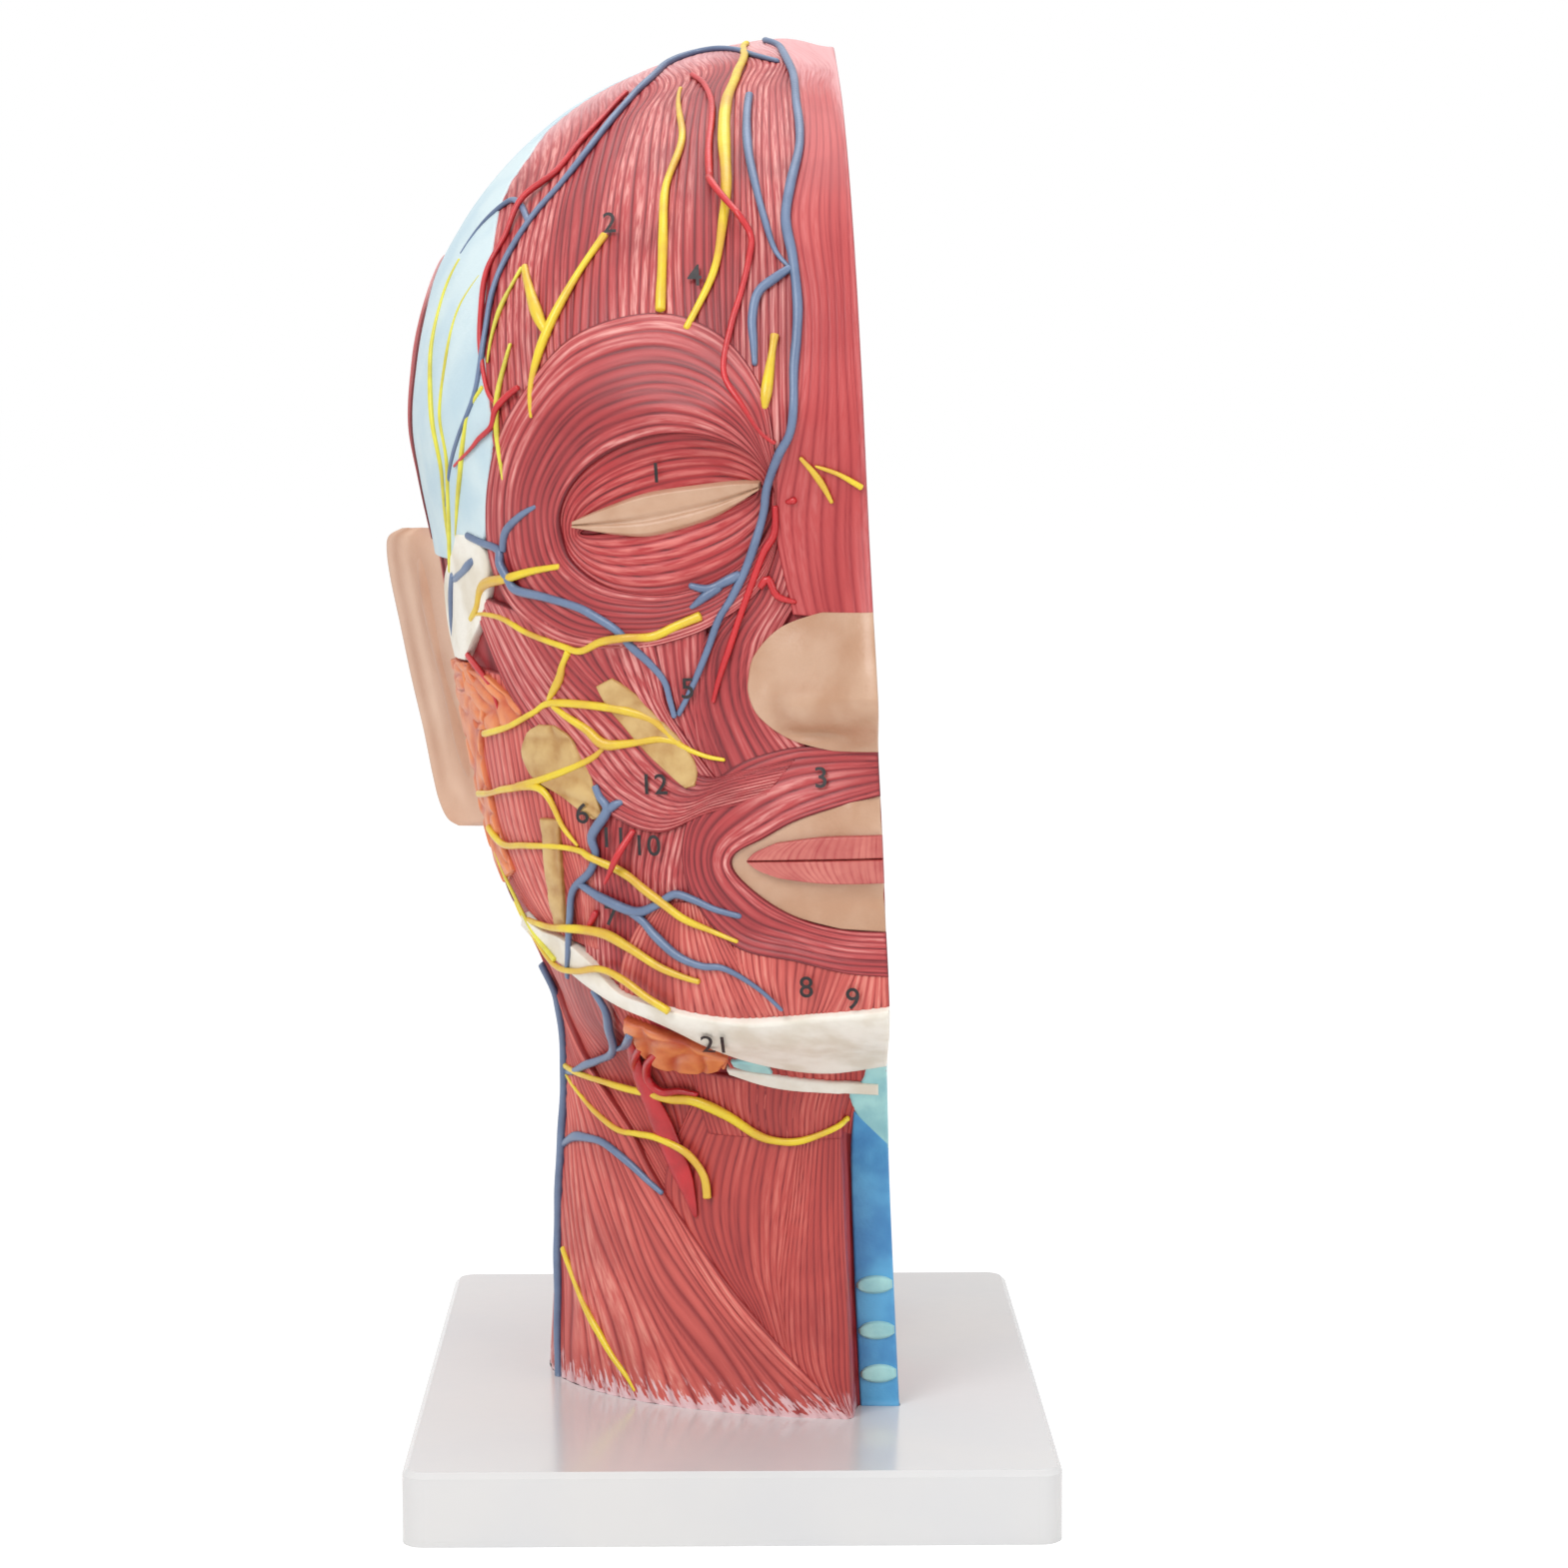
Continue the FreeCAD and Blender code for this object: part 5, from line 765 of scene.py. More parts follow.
# %% Paint of skin, bone, glands and strands
BLOTCH_SHARES = (0.35, 0.68)
TOOTH_DETAIL = 4.0
TOOTH_ROUGHNESS = 0.1


def two_tone(name, light, dark, size, rough, ridge_shade=0.0, coat=0.0, depth=0.10 * MM, fine=0.8 * MM):
    """A brushed coat: blotches of two near tints, with painted shade that darkens the furrows and
    undersides by the ridge value, and a fine tooth.
    """
    paint = Paint(bpy.data.materials.new(name))
    share = paint.noise(size).between(*BLOTCH_SHARES)
    tooth = paint.noise(fine, TOOTH_DETAIL)
    if ridge_shade:
        share = share * (1 - ridge_shade) + (1 - paint.stored("ridge")) * ridge_shade
    colour = paint.mix(share, tint(*light), tint(*dark))
    return paint.finish(colour, rough + TOOTH_ROUGHNESS * tooth, tooth, depth, coat)


# Light tint, dark tint, size of the blotches, roughness, share of painted shade that follows the furrows,
# and gloss
SKIN = two_tone("skin_tan", (198, 161, 134), (183, 140, 110), 14 * MM, 0.36, 0.0, 0.15)
# The ear's darker tint follows its hollows: painted shade, with painted highlight on the folds.
EAR_PAINT = two_tone("ear_tan", (216, 178, 152), (184, 136, 108), 16 * MM, 0.36, 0.7, 0.15)
# The lips darken towards their edges and in the line where they meet: painted shade.
LIP = two_tone("lip_pink", (208, 122, 110), (160, 44, 50), 5 * MM, 0.36, 0.7, 0.15)
FASCIA = two_tone("fascia_pale_blue", (204, 221, 225), (184, 207, 217), 18 * MM, 0.45)
# Glands and fat are darker in the furrows between their lobes, as painted shade, and lighter on the lobes,
# as painted highlight.
GLAND = two_tone("gland_orange", (228, 138, 82), (186, 76, 46), 6 * MM, 0.36, 0.55, 0.2)
FAT = two_tone("fat_tan", (206, 172, 112), (170, 122, 62), 5 * MM, 0.38, 0.5, 0.2)
CARTILAGE = two_tone("cartilage_aqua", (166, 216, 214), (136, 190, 196), 8 * MM, 0.35, 0.0, 0.15)
WINDPIPE = two_tone("windpipe_blue", (82, 164, 212), (52, 128, 186), 12 * MM, 0.32, 0.0, 0.25)
# Nerves, veins and arteries are lighter on top of their section and darker underneath, as painted highlight
# and shade; the carotid's paint is also darker than the arteries', as painted shade in the hollow where it
# lies.
NERVE_PAINT = two_tone("nerve_yellow", (230, 204, 36), (200, 138, 60), 11 * MM, 0.32, 0.4, 0.25)
THIN_NERVE_PAINT = two_tone("nerve_lemon", (226, 220, 70), (190, 176, 60), 7 * MM, 0.34, 0.3, 0.2)
VEIN_PAINT = two_tone("vein_grey_blue", (106, 125, 156), (50, 63, 98), 8 * MM, 0.34, 0.75, 0.2)
ARTERY_PAINT = two_tone("artery_red", (204, 40, 46), (140, 12, 24), 7 * MM, 0.32, 0.7, 0.2)
CAROTID_PAINT = two_tone("carotid_red", (196, 30, 38), (122, 8, 18), 9 * MM, 0.3, 0.5, 0.25)
# The brain takes its darker tint in its furrows, as painted shade.
BRAIN = two_tone("brain_cream", (236, 206, 188), (190, 132, 116), 10 * MM, 0.40, 0.75, 0.1)
BRAIN_WHITE = two_tone("brain_white", (240, 230, 214), (222, 204, 184), 7 * MM, 0.42, 0.3)
DISC = two_tone("disc_grey_blue", (150, 176, 190), (120, 150, 168), 5 * MM, 0.4)
INK = two_tone("ink_black", (22, 18, 20), (44, 36, 38), 2 * MM, 0.5)
PANEL = two_tone("panel_flesh", (214, 130, 122), (196, 98, 94), 14 * MM, 0.45)

# Those with a coarser or finer tooth: its depth and size
BONE = two_tone("bone_ivory", (236, 231, 220), (218, 209, 192), 9 * MM, 0.42,
                depth=0.16 * MM, fine=1.1 * MM)
TONGUE_PAINT = two_tone("tongue_red", (198, 96, 92), (168, 62, 64), 7 * MM, 0.36, 0.0, 0.2,
                        depth=0.25 * MM, fine=1.6 * MM)
TRAY = two_tone("tray_white", (214, 213, 212), (210, 210, 211), 40 * MM, 0.12, 0.0, 0.3,
                depth=0.01 * MM, fine=3 * MM)
RUBBER = two_tone("pad_grey", (120, 120, 122), (96, 96, 98), 3 * MM, 0.7, depth=0.05 * MM)


def screw_steel():
    """Brushed steel: bright metal with fine scratches."""
    paint = Paint(bpy.data.materials.new("screw_steel"))
    scratch = paint.noise(0.3 * MM, TOOTH_DETAIL, (1, 1, 0.1))
    colour = paint.mix(scratch, tint(190, 190, 194), tint(150, 150, 156))
    return paint.finish(colour, 0.25 + 0.25 * scratch, scratch, 0.02 * MM, metal=1.0)


def block_wood():
    """Planed softwood: rings stretched along the grain, darker in the late wood."""
    paint = Paint(bpy.data.materials.new("block_wood"))
    grain = paint.noise(4 * MM, TOOTH_DETAIL, (1, 1, 0.12))
    colour = paint.mix(grain.between(0.4, 0.62), tint(214, 184, 134), tint(176, 134, 84))
    return paint.finish(colour, 0.6 + 0.1 * grain, grain, 0.1 * MM)


print("materials so far:", len(bpy.data.materials))

# %% [markdown]
# Under the muscles lies the shell. Its outside shows only in the furrows between them, so it gets
# a dark flesh red as painted shade there, and a faint grain. It is one closed skin: each level ring
# runs round the outside from front to back and returns along the inside wall.

# %% Shell, the bed of the flesh
BED_DEPTH = 1.2 * MM
BED_FIBRE_PITCH = 2.2 * MM
BED_FIBRE_DEPTH = 0.25 * MM
BED_LEVELS = 260
BED_TURNS = 180
BED_BREADTH = 90 * MM
BED_TOP_SHARE = 3.03
LINING_DEPTH = 6.6 * MM
LINING_TOP_SHARE = 3.0
CROWN_LEVEL_SHARES = [3.045, 3.056, 3.063, 3.067, 3.07, 3.07]
CROWN_CLOSING_SHARE = 0.02
CUT_LOOP_SHARES = (0.04, 0.96)


def round_trip(outer, wall):
    """Along the outside, over the rear cut, back along the inside and over the front cut."""
    rear = [outer[:, -1:] + share * (wall[:, -1:] - outer[:, -1:]) for share in CUT_LOOP_SHARES]
    front = [wall[:, :1] + share * (outer[:, :1] - wall[:, :1]) for share in CUT_LOOP_SHARES]
    return np.concatenate([outer, *rear, wall[:, ::-1], *front], 1)


def trimmed(side):
    """A side of the shell whose cuts lie in the section face, and whose last level nearly closes."""
    side[:, (0, -1), 0] = 0.0
    side[..., 0] = np.minimum(side[..., 0], 0.0)
    crown = (side[-1, 0] + side[-1, -1]) / 2
    side[-1] = crown + CROWN_CLOSING_SHARE * (side[-1] - crown)
    side[0, :, 2] = 0.0
    return side


def head_bed():
    """Level rings: half an oval at one depth, and back at another, closed at the section face."""
    height = np.concatenate([np.linspace(0, BED_TOP_SHARE, BED_LEVELS), CROWN_LEVEL_SHARES])[:, None]
    turn = np.linspace(0, np.pi, BED_TURNS)[None, :]
    place = np.stack(np.broadcast_arrays(turn, height), -1)
    across, along = np.broadcast_arrays(turn * BED_BREADTH, height * HALF_BREADTH)
    lift, ridge = fibres(BED_FIBRE_PITCH, BED_FIBRE_DEPTH, 5)(across, along)
    outer = over_head(place, lift - BED_DEPTH)
    wall = form_share(turn, height, nose=False) * HALF_BREADTH - form_normal(turn, height) * LINING_DEPTH
    wall[..., 2] = np.minimum(wall[..., 2], LINING_TOP_SHARE * HALF_BREADTH)
    grain = np.stack([across, along, np.zeros(across.shape)], -1)
    return skin(round_trip(trimmed(outer), trimmed(wall)), ridge=round_trip(ridge, ridge),
                grain=round_trip(grain, grain))


piece("shell", [head_bed()], SHADED_BED, "head_shell")

# %% [markdown]
# Each muscle is laid between lines that follow the real one's origin and insertion, so its fibres
# run as they do in life: up the forehead, in ovals round the eye and in a half ring round the
# mouth. A map of noise over one large mesh could not do that. The smooth strip of the nose root
# runs on up to the crown, and its edge hides under the forehead's vein.

# %% Forehead and nose root
# Lines of places: distance from the section face, and height
FRONTALIS_SHARES = [
    [(0.09, 2.05), (0.20, 2.10), (0.30, 2.36), (0.45, 2.40), (0.60, 2.35), (0.70, 2.25), (0.795, 2.13)],
    [(0.09, 2.50), (0.19, 2.52), (0.30, 2.61), (0.44, 2.61), (0.59, 2.56), (0.71, 2.45), (0.815, 2.33)],
    [(0.09, 2.77), (0.185, 2.78), (0.29, 2.79), (0.42, 2.77), (0.57, 2.71), (0.70, 2.59), (0.82, 2.46)],
    [(0.09, 2.93), (0.175, 2.93), (0.275, 2.93), (0.395, 2.90), (0.535, 2.84), (0.675, 2.72), (0.82, 2.57)],
    [(0.08, 3.02), (0.155, 3.015), (0.25, 3.005), (0.37, 2.98), (0.50, 2.93), (0.655, 2.83), (0.82, 2.66)],
    [(0.04, 3.069), (0.12, 3.066), (0.22, 3.056), (0.34, 3.037), (0.47, 3.005), (0.63, 2.93), (0.82, 2.74)]]
NOSE_ROOT_SHARES = [
    [(0.0, 1.79), (0.08, 1.80), (0.165, 1.81)],
    [(0.0, 1.90), (0.09, 1.90), (0.185, 1.92)],
    [(0.0, 2.02), (0.10, 2.02), (0.20, 2.04)],
    [(0.0, 2.14), (0.09, 2.14), (0.175, 2.15)],
    [(0.0, 2.28), (0.07, 2.28), (0.14, 2.28)],
    [(0.0, 2.46), (0.06, 2.46), (0.125, 2.46)],
    [(0.0, 2.64), (0.07, 2.64), (0.138, 2.64)],
    [(0.0, 2.80), (0.05, 2.80), (0.10, 2.80)],
    [(0.0, 2.93), (0.05, 2.93), (0.10, 2.93)],
    [(0.0, 3.02), (0.05, 3.02), (0.115, 3.018)],
    [(0.0, 3.069), (0.06, 3.068), (0.13, 3.063)]]


def muscle(name, node, parts, material=MUSCLE):
    """A piece in one of the muscle paints."""
    return piece(name, parts, material, node)


muscle("frontalis_fibres", "frontalis",
       [sheet(front_lines(FRONTALIS_SHARES), fibres(2.0 * MM, 0.42 * MM, 3, 0.25), top=-0.06 * MM,
              rim=0.15 * MM, ends=(0.0, 1.0), sides=(0.3, 0.0))])
muscle("nose_root_flesh", "nose_root_muscle",
       [sheet(front_lines(NOSE_ROOT_SHARES), fibres(1.9 * MM, 0.12 * MM, 8, 0.3), top=0.12 * MM,
              rim=0.2 * MM, ends=(0.0, 1.0), sides=(0.4, 0.0))], MUSCLE_ROOT)

# %% [markdown]
# The eye's ring muscle has two zones. The outer one is a broad ring of ovals. The inner one lies
# lower, within a soft rim, and its fibres close in on both corners of the lids; its darker paint is
# painted shade in the eye's hollow.

# %% Ring muscle of the eye
EYE_CENTRE_SHARES = (0.42, 2.03)
EYE_REACH_SHARES = [
    (0, 0.226), (8, 0.236), (30, 0.268), (50, 0.33), (70, 0.39), (90, 0.42), (115, 0.42), (140, 0.395),
    (165, 0.39), (190, 0.40), (208, 0.40), (228, 0.36), (252, 0.295), (270, 0.268), (290, 0.253),
    (315, 0.252), (335, 0.243), (352, 0.236)]
EYE_BOWL_SHARES = (0.232, 0.165)
EYE_LID_SHARES = [(0.192, 0.013), (0.212, 0.095), (0.236, 0.172)]
EYE_LID_STEP = 15
EYE_SLANT = np.radians(11.0)


def eye_oval(degrees, across, up, slant=EYE_SLANT):
    """A place on an oval round the eye, slanted with the lids."""
    angle = np.radians(degrees)
    side, climb = -across * np.cos(angle), up * np.sin(angle)
    return (EYE_CENTRE_SHARES[0] + side * np.cos(slant) + climb * np.sin(slant),
            EYE_CENTRE_SHARES[1] + climb * np.cos(slant) - side * np.sin(slant))


def eye_ring():
    """Outer zone: lines from the bowl's rim out to the muscle's reach, closed round the eye."""
    across, up = EYE_BOWL_SHARES
    lines = [[eye_oval(degrees, across, up),
              eye_oval(degrees, (across + reach) / 2, (up + reach) / 2, EYE_SLANT / 2),
              eye_oval(degrees, reach, reach, 0.0)]
             for degrees, reach in EYE_REACH_SHARES + [(360, EYE_REACH_SHARES[0][1])]]
    return sheet(front_lines(lines), fibres(1.3 * MM, 0.42 * MM, 11), top=0.5 * MM, wrapped=True,
                 sides=(0.0, 0.3))


def eye_lids():
    """Inner zone: ovals that shrink to the slit between the lids, set lower than the ring."""
    lines = [[eye_oval(degrees, *oval) for oval in EYE_LID_SHARES]
             for degrees in range(0, 361, EYE_LID_STEP)]
    return sheet(front_lines(lines), fibres(1.55 * MM, 0.42 * MM, 12), top=-0.7 * MM, wrapped=True)


muscle("eye_ring_fibres", "orbicularis_oculi", [eye_ring()])
# The lids take the darker muscle paint as painted shade in the eye's hollow.
muscle("eye_lid_fibres", None, [eye_lids()], SHADED_MUSCLE)

# %% [markdown]
# The mouth's ring is one sheet in a half circle. The muscles that raise the lip, draw it out and
# pull it down run into that ring, each a sheet of its own, so their fibres meet it at an angle.

# %% Muscles of the mouth, cheek and chin
MOUTH_RING_SHARES = [
    [(0.0, 1.43), (0.0, 1.53)], [(0.09, 1.41), (0.09, 1.535)], [(0.18, 1.382), (0.20, 1.53)],
    [(0.25, 1.345), (0.32, 1.485)], [(0.31, 1.312), (0.41, 1.375)], [(0.312, 1.275), (0.412, 1.24)],
    [(0.25, 1.215), (0.325, 1.12)], [(0.175, 1.173), (0.19, 1.085)], [(0.09, 1.15), (0.09, 1.06)],
    [(0.0, 1.142), (0.0, 1.05)]]
LIP_RAISER_SHARES = [
    [[(0.12, 1.99), (0.225, 1.95)], [(0.145, 1.86), (0.285, 1.84)], [(0.20, 1.75), (0.37, 1.74)],
     [(0.21, 1.62), (0.385, 1.61)], [(0.10, 1.48), (0.37, 1.46)]],
    [[(0.345, 1.80), (0.53, 1.79)], [(0.35, 1.68), (0.51, 1.68)], [(0.355, 1.60), (0.48, 1.61)],
     [(0.30, 1.45), (0.45, 1.45)]]]
ZYGOMATIC_SHARES = [
    [[(0.46, 1.775), (0.67, 1.775)], [(0.445, 1.70), (0.63, 1.71)], [(0.43, 1.61), (0.54, 1.62)],
     [(0.34, 1.47), (0.46, 1.49)]],
    [[(0.67, 1.805), (0.87, 1.87)], [(0.585, 1.70), (0.79, 1.655)], [(0.49, 1.60), (0.68, 1.50)],
     [(0.42, 1.52), (0.585, 1.40)], [(0.36, 1.475), (0.475, 1.355)], [(0.28, 1.49), (0.365, 1.395)],
     [(0.17, 1.51), (0.24, 1.43)]]]
MASSETER_SHARES = [
    [(0.63, 1.66), (0.765, 1.68), (0.905, 1.70)],
    [(0.62, 1.50), (0.75, 1.50), (0.895, 1.50)],
    [(0.615, 1.35), (0.73, 1.345), (0.868, 1.34)],
    [(0.615, 1.22), (0.69, 1.22), (0.825, 1.21)],
    [(0.615, 1.09), (0.665, 1.10), (0.74, 1.12)]]
CHEEK_SHARES = [
    [(0.37, 1.40), (0.50, 1.43), (0.66, 1.43)],
    [(0.40, 1.27), (0.53, 1.28), (0.65, 1.29)],
    [(0.40, 1.17), (0.53, 1.16), (0.65, 1.17)],
    [(0.42, 0.95), (0.54, 0.97), (0.64, 1.02)]]
CHIN_SHARES = [
    [[(0.23, 0.93), (0.58, 0.96)], [(0.27, 1.02), (0.57, 1.06)], [(0.325, 1.12), (0.53, 1.15)],
     [(0.37, 1.21), (0.48, 1.21)]],
    [[(0.13, 0.945), (0.275, 0.965)], [(0.09, 1.01), (0.315, 1.06)], [(0.04, 1.11), (0.33, 1.17)]],
    [[(0.0, 0.96), (0.155, 0.955)], [(0.0, 1.02), (0.12, 1.015)], [(0.0, 1.10), (0.075, 1.10)]]]


def fibre_group(tables, pitch, seed, lines=front_lines, depth=0.40 * MM, **layers):
    """Several sheets with fibres, each with its own seed."""
    return [sheet(lines(table), fibres(pitch, depth, seed + number), **layers)
            for number, table in enumerate(tables)]


muscle("mouth_ring_fibres", "orbicularis_oris",
       fibre_group([MOUTH_RING_SHARES], 1.6 * MM, 21, top=0.35 * MM, rim=0.3 * MM))
muscle("lip_raiser_fibres", "lip_raisers", fibre_group(LIP_RAISER_SHARES, 1.6 * MM, 31, top=-0.1 * MM))
muscle("zygomatic_fibres", "zygomatic_muscles",
       fibre_group(ZYGOMATIC_SHARES, 1.6 * MM, 41, top=0.4 * MM, ends=(0.3, 0.0)))
muscle("masseter_fibres", "masseter", fibre_group([MASSETER_SHARES], 1.7 * MM, 51, top=-0.3 * MM),
       MUSCLE_NECK)
muscle("cheek_fibres", "buccinator", fibre_group([CHEEK_SHARES], 1.4 * MM, 61, top=-0.45 * MM))
muscle("chin_fibres", "chin_muscles", fibre_group(CHIN_SHARES, 1.3 * MM, 71, top=-0.15 * MM),
       MUSCLE_NECK)

# %% [markdown]
# The neck's muscles run mostly up and down, so their tables hold level lines: a height, and where
# the muscle starts and ends round the head. The strap muscles in front are laid as the face's are.

# %% Muscles of the neck
THROAT_SHARES = [
    [[(0.08, 0.63), (0.23, 0.63), (0.40, 0.64)], [(0.07, 0.69), (0.23, 0.70), (0.42, 0.715)],
     [(0.05, 0.75), (0.22, 0.76), (0.43, 0.79)]],
    [[(0.0, 0.755), (0.12, 0.765), (0.34, 0.785)], [(0.0, 0.83), (0.12, 0.82), (0.36, 0.84)]]]
NECK_BED_SHARES = [
    [(0.37, 0.44), (0.50, 0.46)], [(0.40, 0.60), (0.60, 0.62)], [(0.40, 0.76), (0.70, 0.80)],
    [(0.50, 0.90), (0.75, 0.95)], [(0.58, 1.05), (0.77, 1.12)]]
STRAP_SHARES = [
    [[(0.095, 0.0), (0.15, 0.0)], [(0.095, 0.12), (0.25, 0.12)], [(0.095, 0.30), (0.265, 0.30)],
     [(0.095, 0.50), (0.228, 0.50)], [(0.095, 0.70), (0.19, 0.70)]],
    [[(0.235, 0.12), (0.30, 0.12)], [(0.25, 0.24), (0.36, 0.24)], [(0.25, 0.33), (0.44, 0.34)],
     [(0.23, 0.44), (0.50, 0.45)], [(0.21, 0.54), (0.50, 0.56)], [(0.175, 0.70), (0.44, 0.70)],
     [(0.16, 0.75), (0.42, 0.75)]]]
STERNOMASTOID_SHARES = [
    (1.36, 0.630, 0.672), (1.20, 0.575, 0.662), (1.06, 0.515, 0.645), (0.93, 0.455, 0.625),
    (0.80, 0.375, 0.605), (0.66, 0.290, 0.588), (0.55, 0.252, 0.573), (0.44, 0.210, 0.563),
    (0.325, 0.168, 0.553), (0.225, 0.130, 0.546), (0.115, 0.088, 0.541), (0.03, 0.055, 0.536),
    (0.002, 0.045, 0.534)]
NAPE_SHARES = [
    [(1.42, 0.650, 0.800), (1.20, 0.640, 0.799), (1.00, 0.622, 0.797), (0.66, 0.575, 0.787),
     (0.30, 0.548, 0.768), (0.002, 0.532, 0.750)],
    [(1.50, 0.795, 0.997), (1.10, 0.798, 0.997), (0.66, 0.788, 0.997), (0.30, 0.768, 0.997),
     (0.002, 0.748, 0.997)]]
OCCIPITAL_SHARES = [
    (1.34, 0.665, 0.790), (1.49, 0.655, 0.800), (1.53, 0.650, 0.890), (1.72, 0.650, 0.930),
    (1.97, 0.640, 0.935)]

# The fan above the ear, whose lines aren't level: turn and height
EAR_RAISER_SHARES = [
    [(0.488, 1.96), (0.512, 1.97), (0.536, 1.96)], [(0.458, 2.07), (0.512, 2.09), (0.566, 2.07)],
    [(0.434, 2.20), (0.511, 2.25), (0.590, 2.20)], [(0.423, 2.37), (0.511, 2.42), (0.603, 2.37)],
    [(0.430, 2.48), (0.511, 2.54), (0.596, 2.48)], [(0.458, 2.575), (0.511, 2.61), (0.566, 2.575)]]
EAR_BED_SHARES = [
    (1.02, 0.500, 0.660), (1.25, 0.480, 0.680), (1.50, 0.455, 0.680), (1.75, 0.450, 0.670),
    (2.00, 0.440, 0.660)]


def turned_lines(table):
    """Lines of places measured round the head, as angles and heights."""
    return [[(np.pi * turn, height) for turn, height in line] for line in table]


muscle("throat_fibres", "throat_muscles",
       fibre_group(THROAT_SHARES, 1.3 * MM, 81, top=-0.2 * MM)
       + fibre_group([NECK_BED_SHARES], 1.5 * MM, 85, top=-1.0 * MM), MUSCLE_STRAP)
muscle("strap_fibres", "strap_muscles", fibre_group(STRAP_SHARES, 1.5 * MM, 91, top=-0.4 * MM),
       MUSCLE_STRAP)
muscle("sternomastoid_fibres", "sternocleidomastoid",
       fibre_group([STERNOMASTOID_SHARES], 2.3 * MM, 101, level_lines, 0.5 * MM, top=0.35 * MM),
       MUSCLE_NECK)
muscle("nape_fibres", "nape_muscles", fibre_group(NAPE_SHARES, 2.2 * MM, 111, level_lines, 0.45 * MM),
       MUSCLE_NECK)
# These take the darker muscle paint as painted shade at the head's far edge and behind the ear.
muscle("occipital_fibres", "occipital_muscle",
       fibre_group([OCCIPITAL_SHARES], 1.9 * MM, 121, level_lines, 0.4 * MM, ends=(0.2, 0.6))
       + fibre_group([EAR_RAISER_SHARES], 1.7 * MM, 122, turned_lines, 0.3 * MM, top=0.8 * MM,
                     ends=(0.0, 1.0))
       + fibre_group([EAR_BED_SHARES], 2.2 * MM, 123, level_lines, 0.35 * MM, top=-0.6 * MM),
       SHADED_MUSCLE)

# %% [markdown]
# Bone, cartilage and glands are bared in places between the muscles. They stand a little prouder
# than the flesh, with soft edges, so they are the same closed sheets with another relief: nearly
# calm for bone, and lobed for the glands.

# %% Bones and cartilage
MANDIBLE_SHARES = [
    [(0.0, 0.815), (0.11, 0.80), (0.21, 0.808), (0.31, 0.84), (0.405, 0.90), (0.49, 0.945),
     (0.57, 0.975), (0.64, 1.01), (0.70, 1.055), (0.745, 1.08), (0.785, 1.115)],
    [(0.0, 0.985), (0.11, 0.975), (0.21, 0.965), (0.31, 0.957), (0.405, 0.965), (0.49, 0.985),
     (0.57, 1.008), (0.63, 1.07), (0.69, 1.11), (0.735, 1.12), (0.78, 1.145)]]
ZYGOMATIC_BONE_SHARES = [
    [(0.887, 1.705), (0.915, 1.705)], [(0.865, 1.75), (0.925, 1.75)], [(0.835, 1.81), (0.93, 1.81)],
    [(0.815, 1.88), (0.928, 1.88)], [(0.815, 1.945), (0.90, 1.95)], [(0.84, 1.99), (0.885, 1.99)]]
HYOID_SHARES = [
    [(0.02, 0.728), (0.12, 0.738), (0.22, 0.748), (0.29, 0.765), (0.345, 0.79)],
    [(0.02, 0.755), (0.12, 0.767), (0.22, 0.78), (0.29, 0.793), (0.35, 0.803)]]
THROAT_HORN_SHARES = [
    [(0.25, 0.792), (0.30, 0.80), (0.335, 0.815)], [(0.265, 0.822), (0.31, 0.83), (0.34, 0.828)]]
LARYNX_SHARES = [
    [(0.0, 0.59), (0.02, 0.595)], [(0.0, 0.65), (0.06, 0.66)], [(0.0, 0.72), (0.085, 0.73)],
    [(0.0, 0.76), (0.055, 0.765)], [(0.0, 0.82), (0.045, 0.82)]]
WINDPIPE_SHARES = [
    [(0.0, -0.04), (0.088, -0.04)], [(0.0, 0.28), (0.088, 0.28)], [(0.0, 0.50), (0.086, 0.50)],
    [(0.0, 0.56), (0.084, 0.60)], [(0.0, 0.60), (0.076, 0.69)]]
RING_HEIGHT_SHARES = [0.075, 0.172, 0.275]
RING_HALF_HEIGHT_SHARE = 0.021
RING_REACH_SHARE = 0.084
RING_START_SHARE = 0.04
RING_POINTS = 9


def ring_lines(height):
    """A ring of the windpipe: a lens, tall in the middle of its run and thin at both ends."""
    share = np.linspace(RING_START_SHARE, 1, RING_POINTS)
    tall = np.sqrt(np.clip(1 - (2 * share - 1) ** 2, RING_START_SHARE, 1))
    levels = [height + RING_HALF_HEIGHT_SHARE * tall * part for part in (-1, 0, 1)]
    return [np.stack([share * RING_REACH_SHARE, level], -1) for level in levels]


def calm_group(tables, depth, seed, **layers):
    """Several nearly smooth sheets."""
    return [sheet(front_lines(table), calm(depth, seed + number), across_step=0.6 * MM, **layers)
            for number, table in enumerate(tables)]


piece("jaw_bone", calm_group([MANDIBLE_SHARES], 0.25 * MM, 131, top=1.3 * MM, rim=1.6 * MM),
      BONE, "mandible")
piece("cheek_bone", calm_group([ZYGOMATIC_BONE_SHARES], 0.15 * MM, 132, top=0.6 * MM),
      BONE, "zygomatic_bone")
piece("throat_bone", calm_group([HYOID_SHARES], 0.08 * MM, 133, top=0.6 * MM),
      BONE, "hyoid_bone")
piece("throat_horn", calm_group([THROAT_HORN_SHARES], 0.08 * MM, 134, top=0.7 * MM),
      CARTILAGE, None)
piece("voice_box", calm_group([LARYNX_SHARES], 0.10 * MM, 134), CARTILAGE, "larynx")
piece("windpipe_tube", calm_group([WINDPIPE_SHARES], 0.12 * MM, 135),
      WINDPIPE, "windpipe")
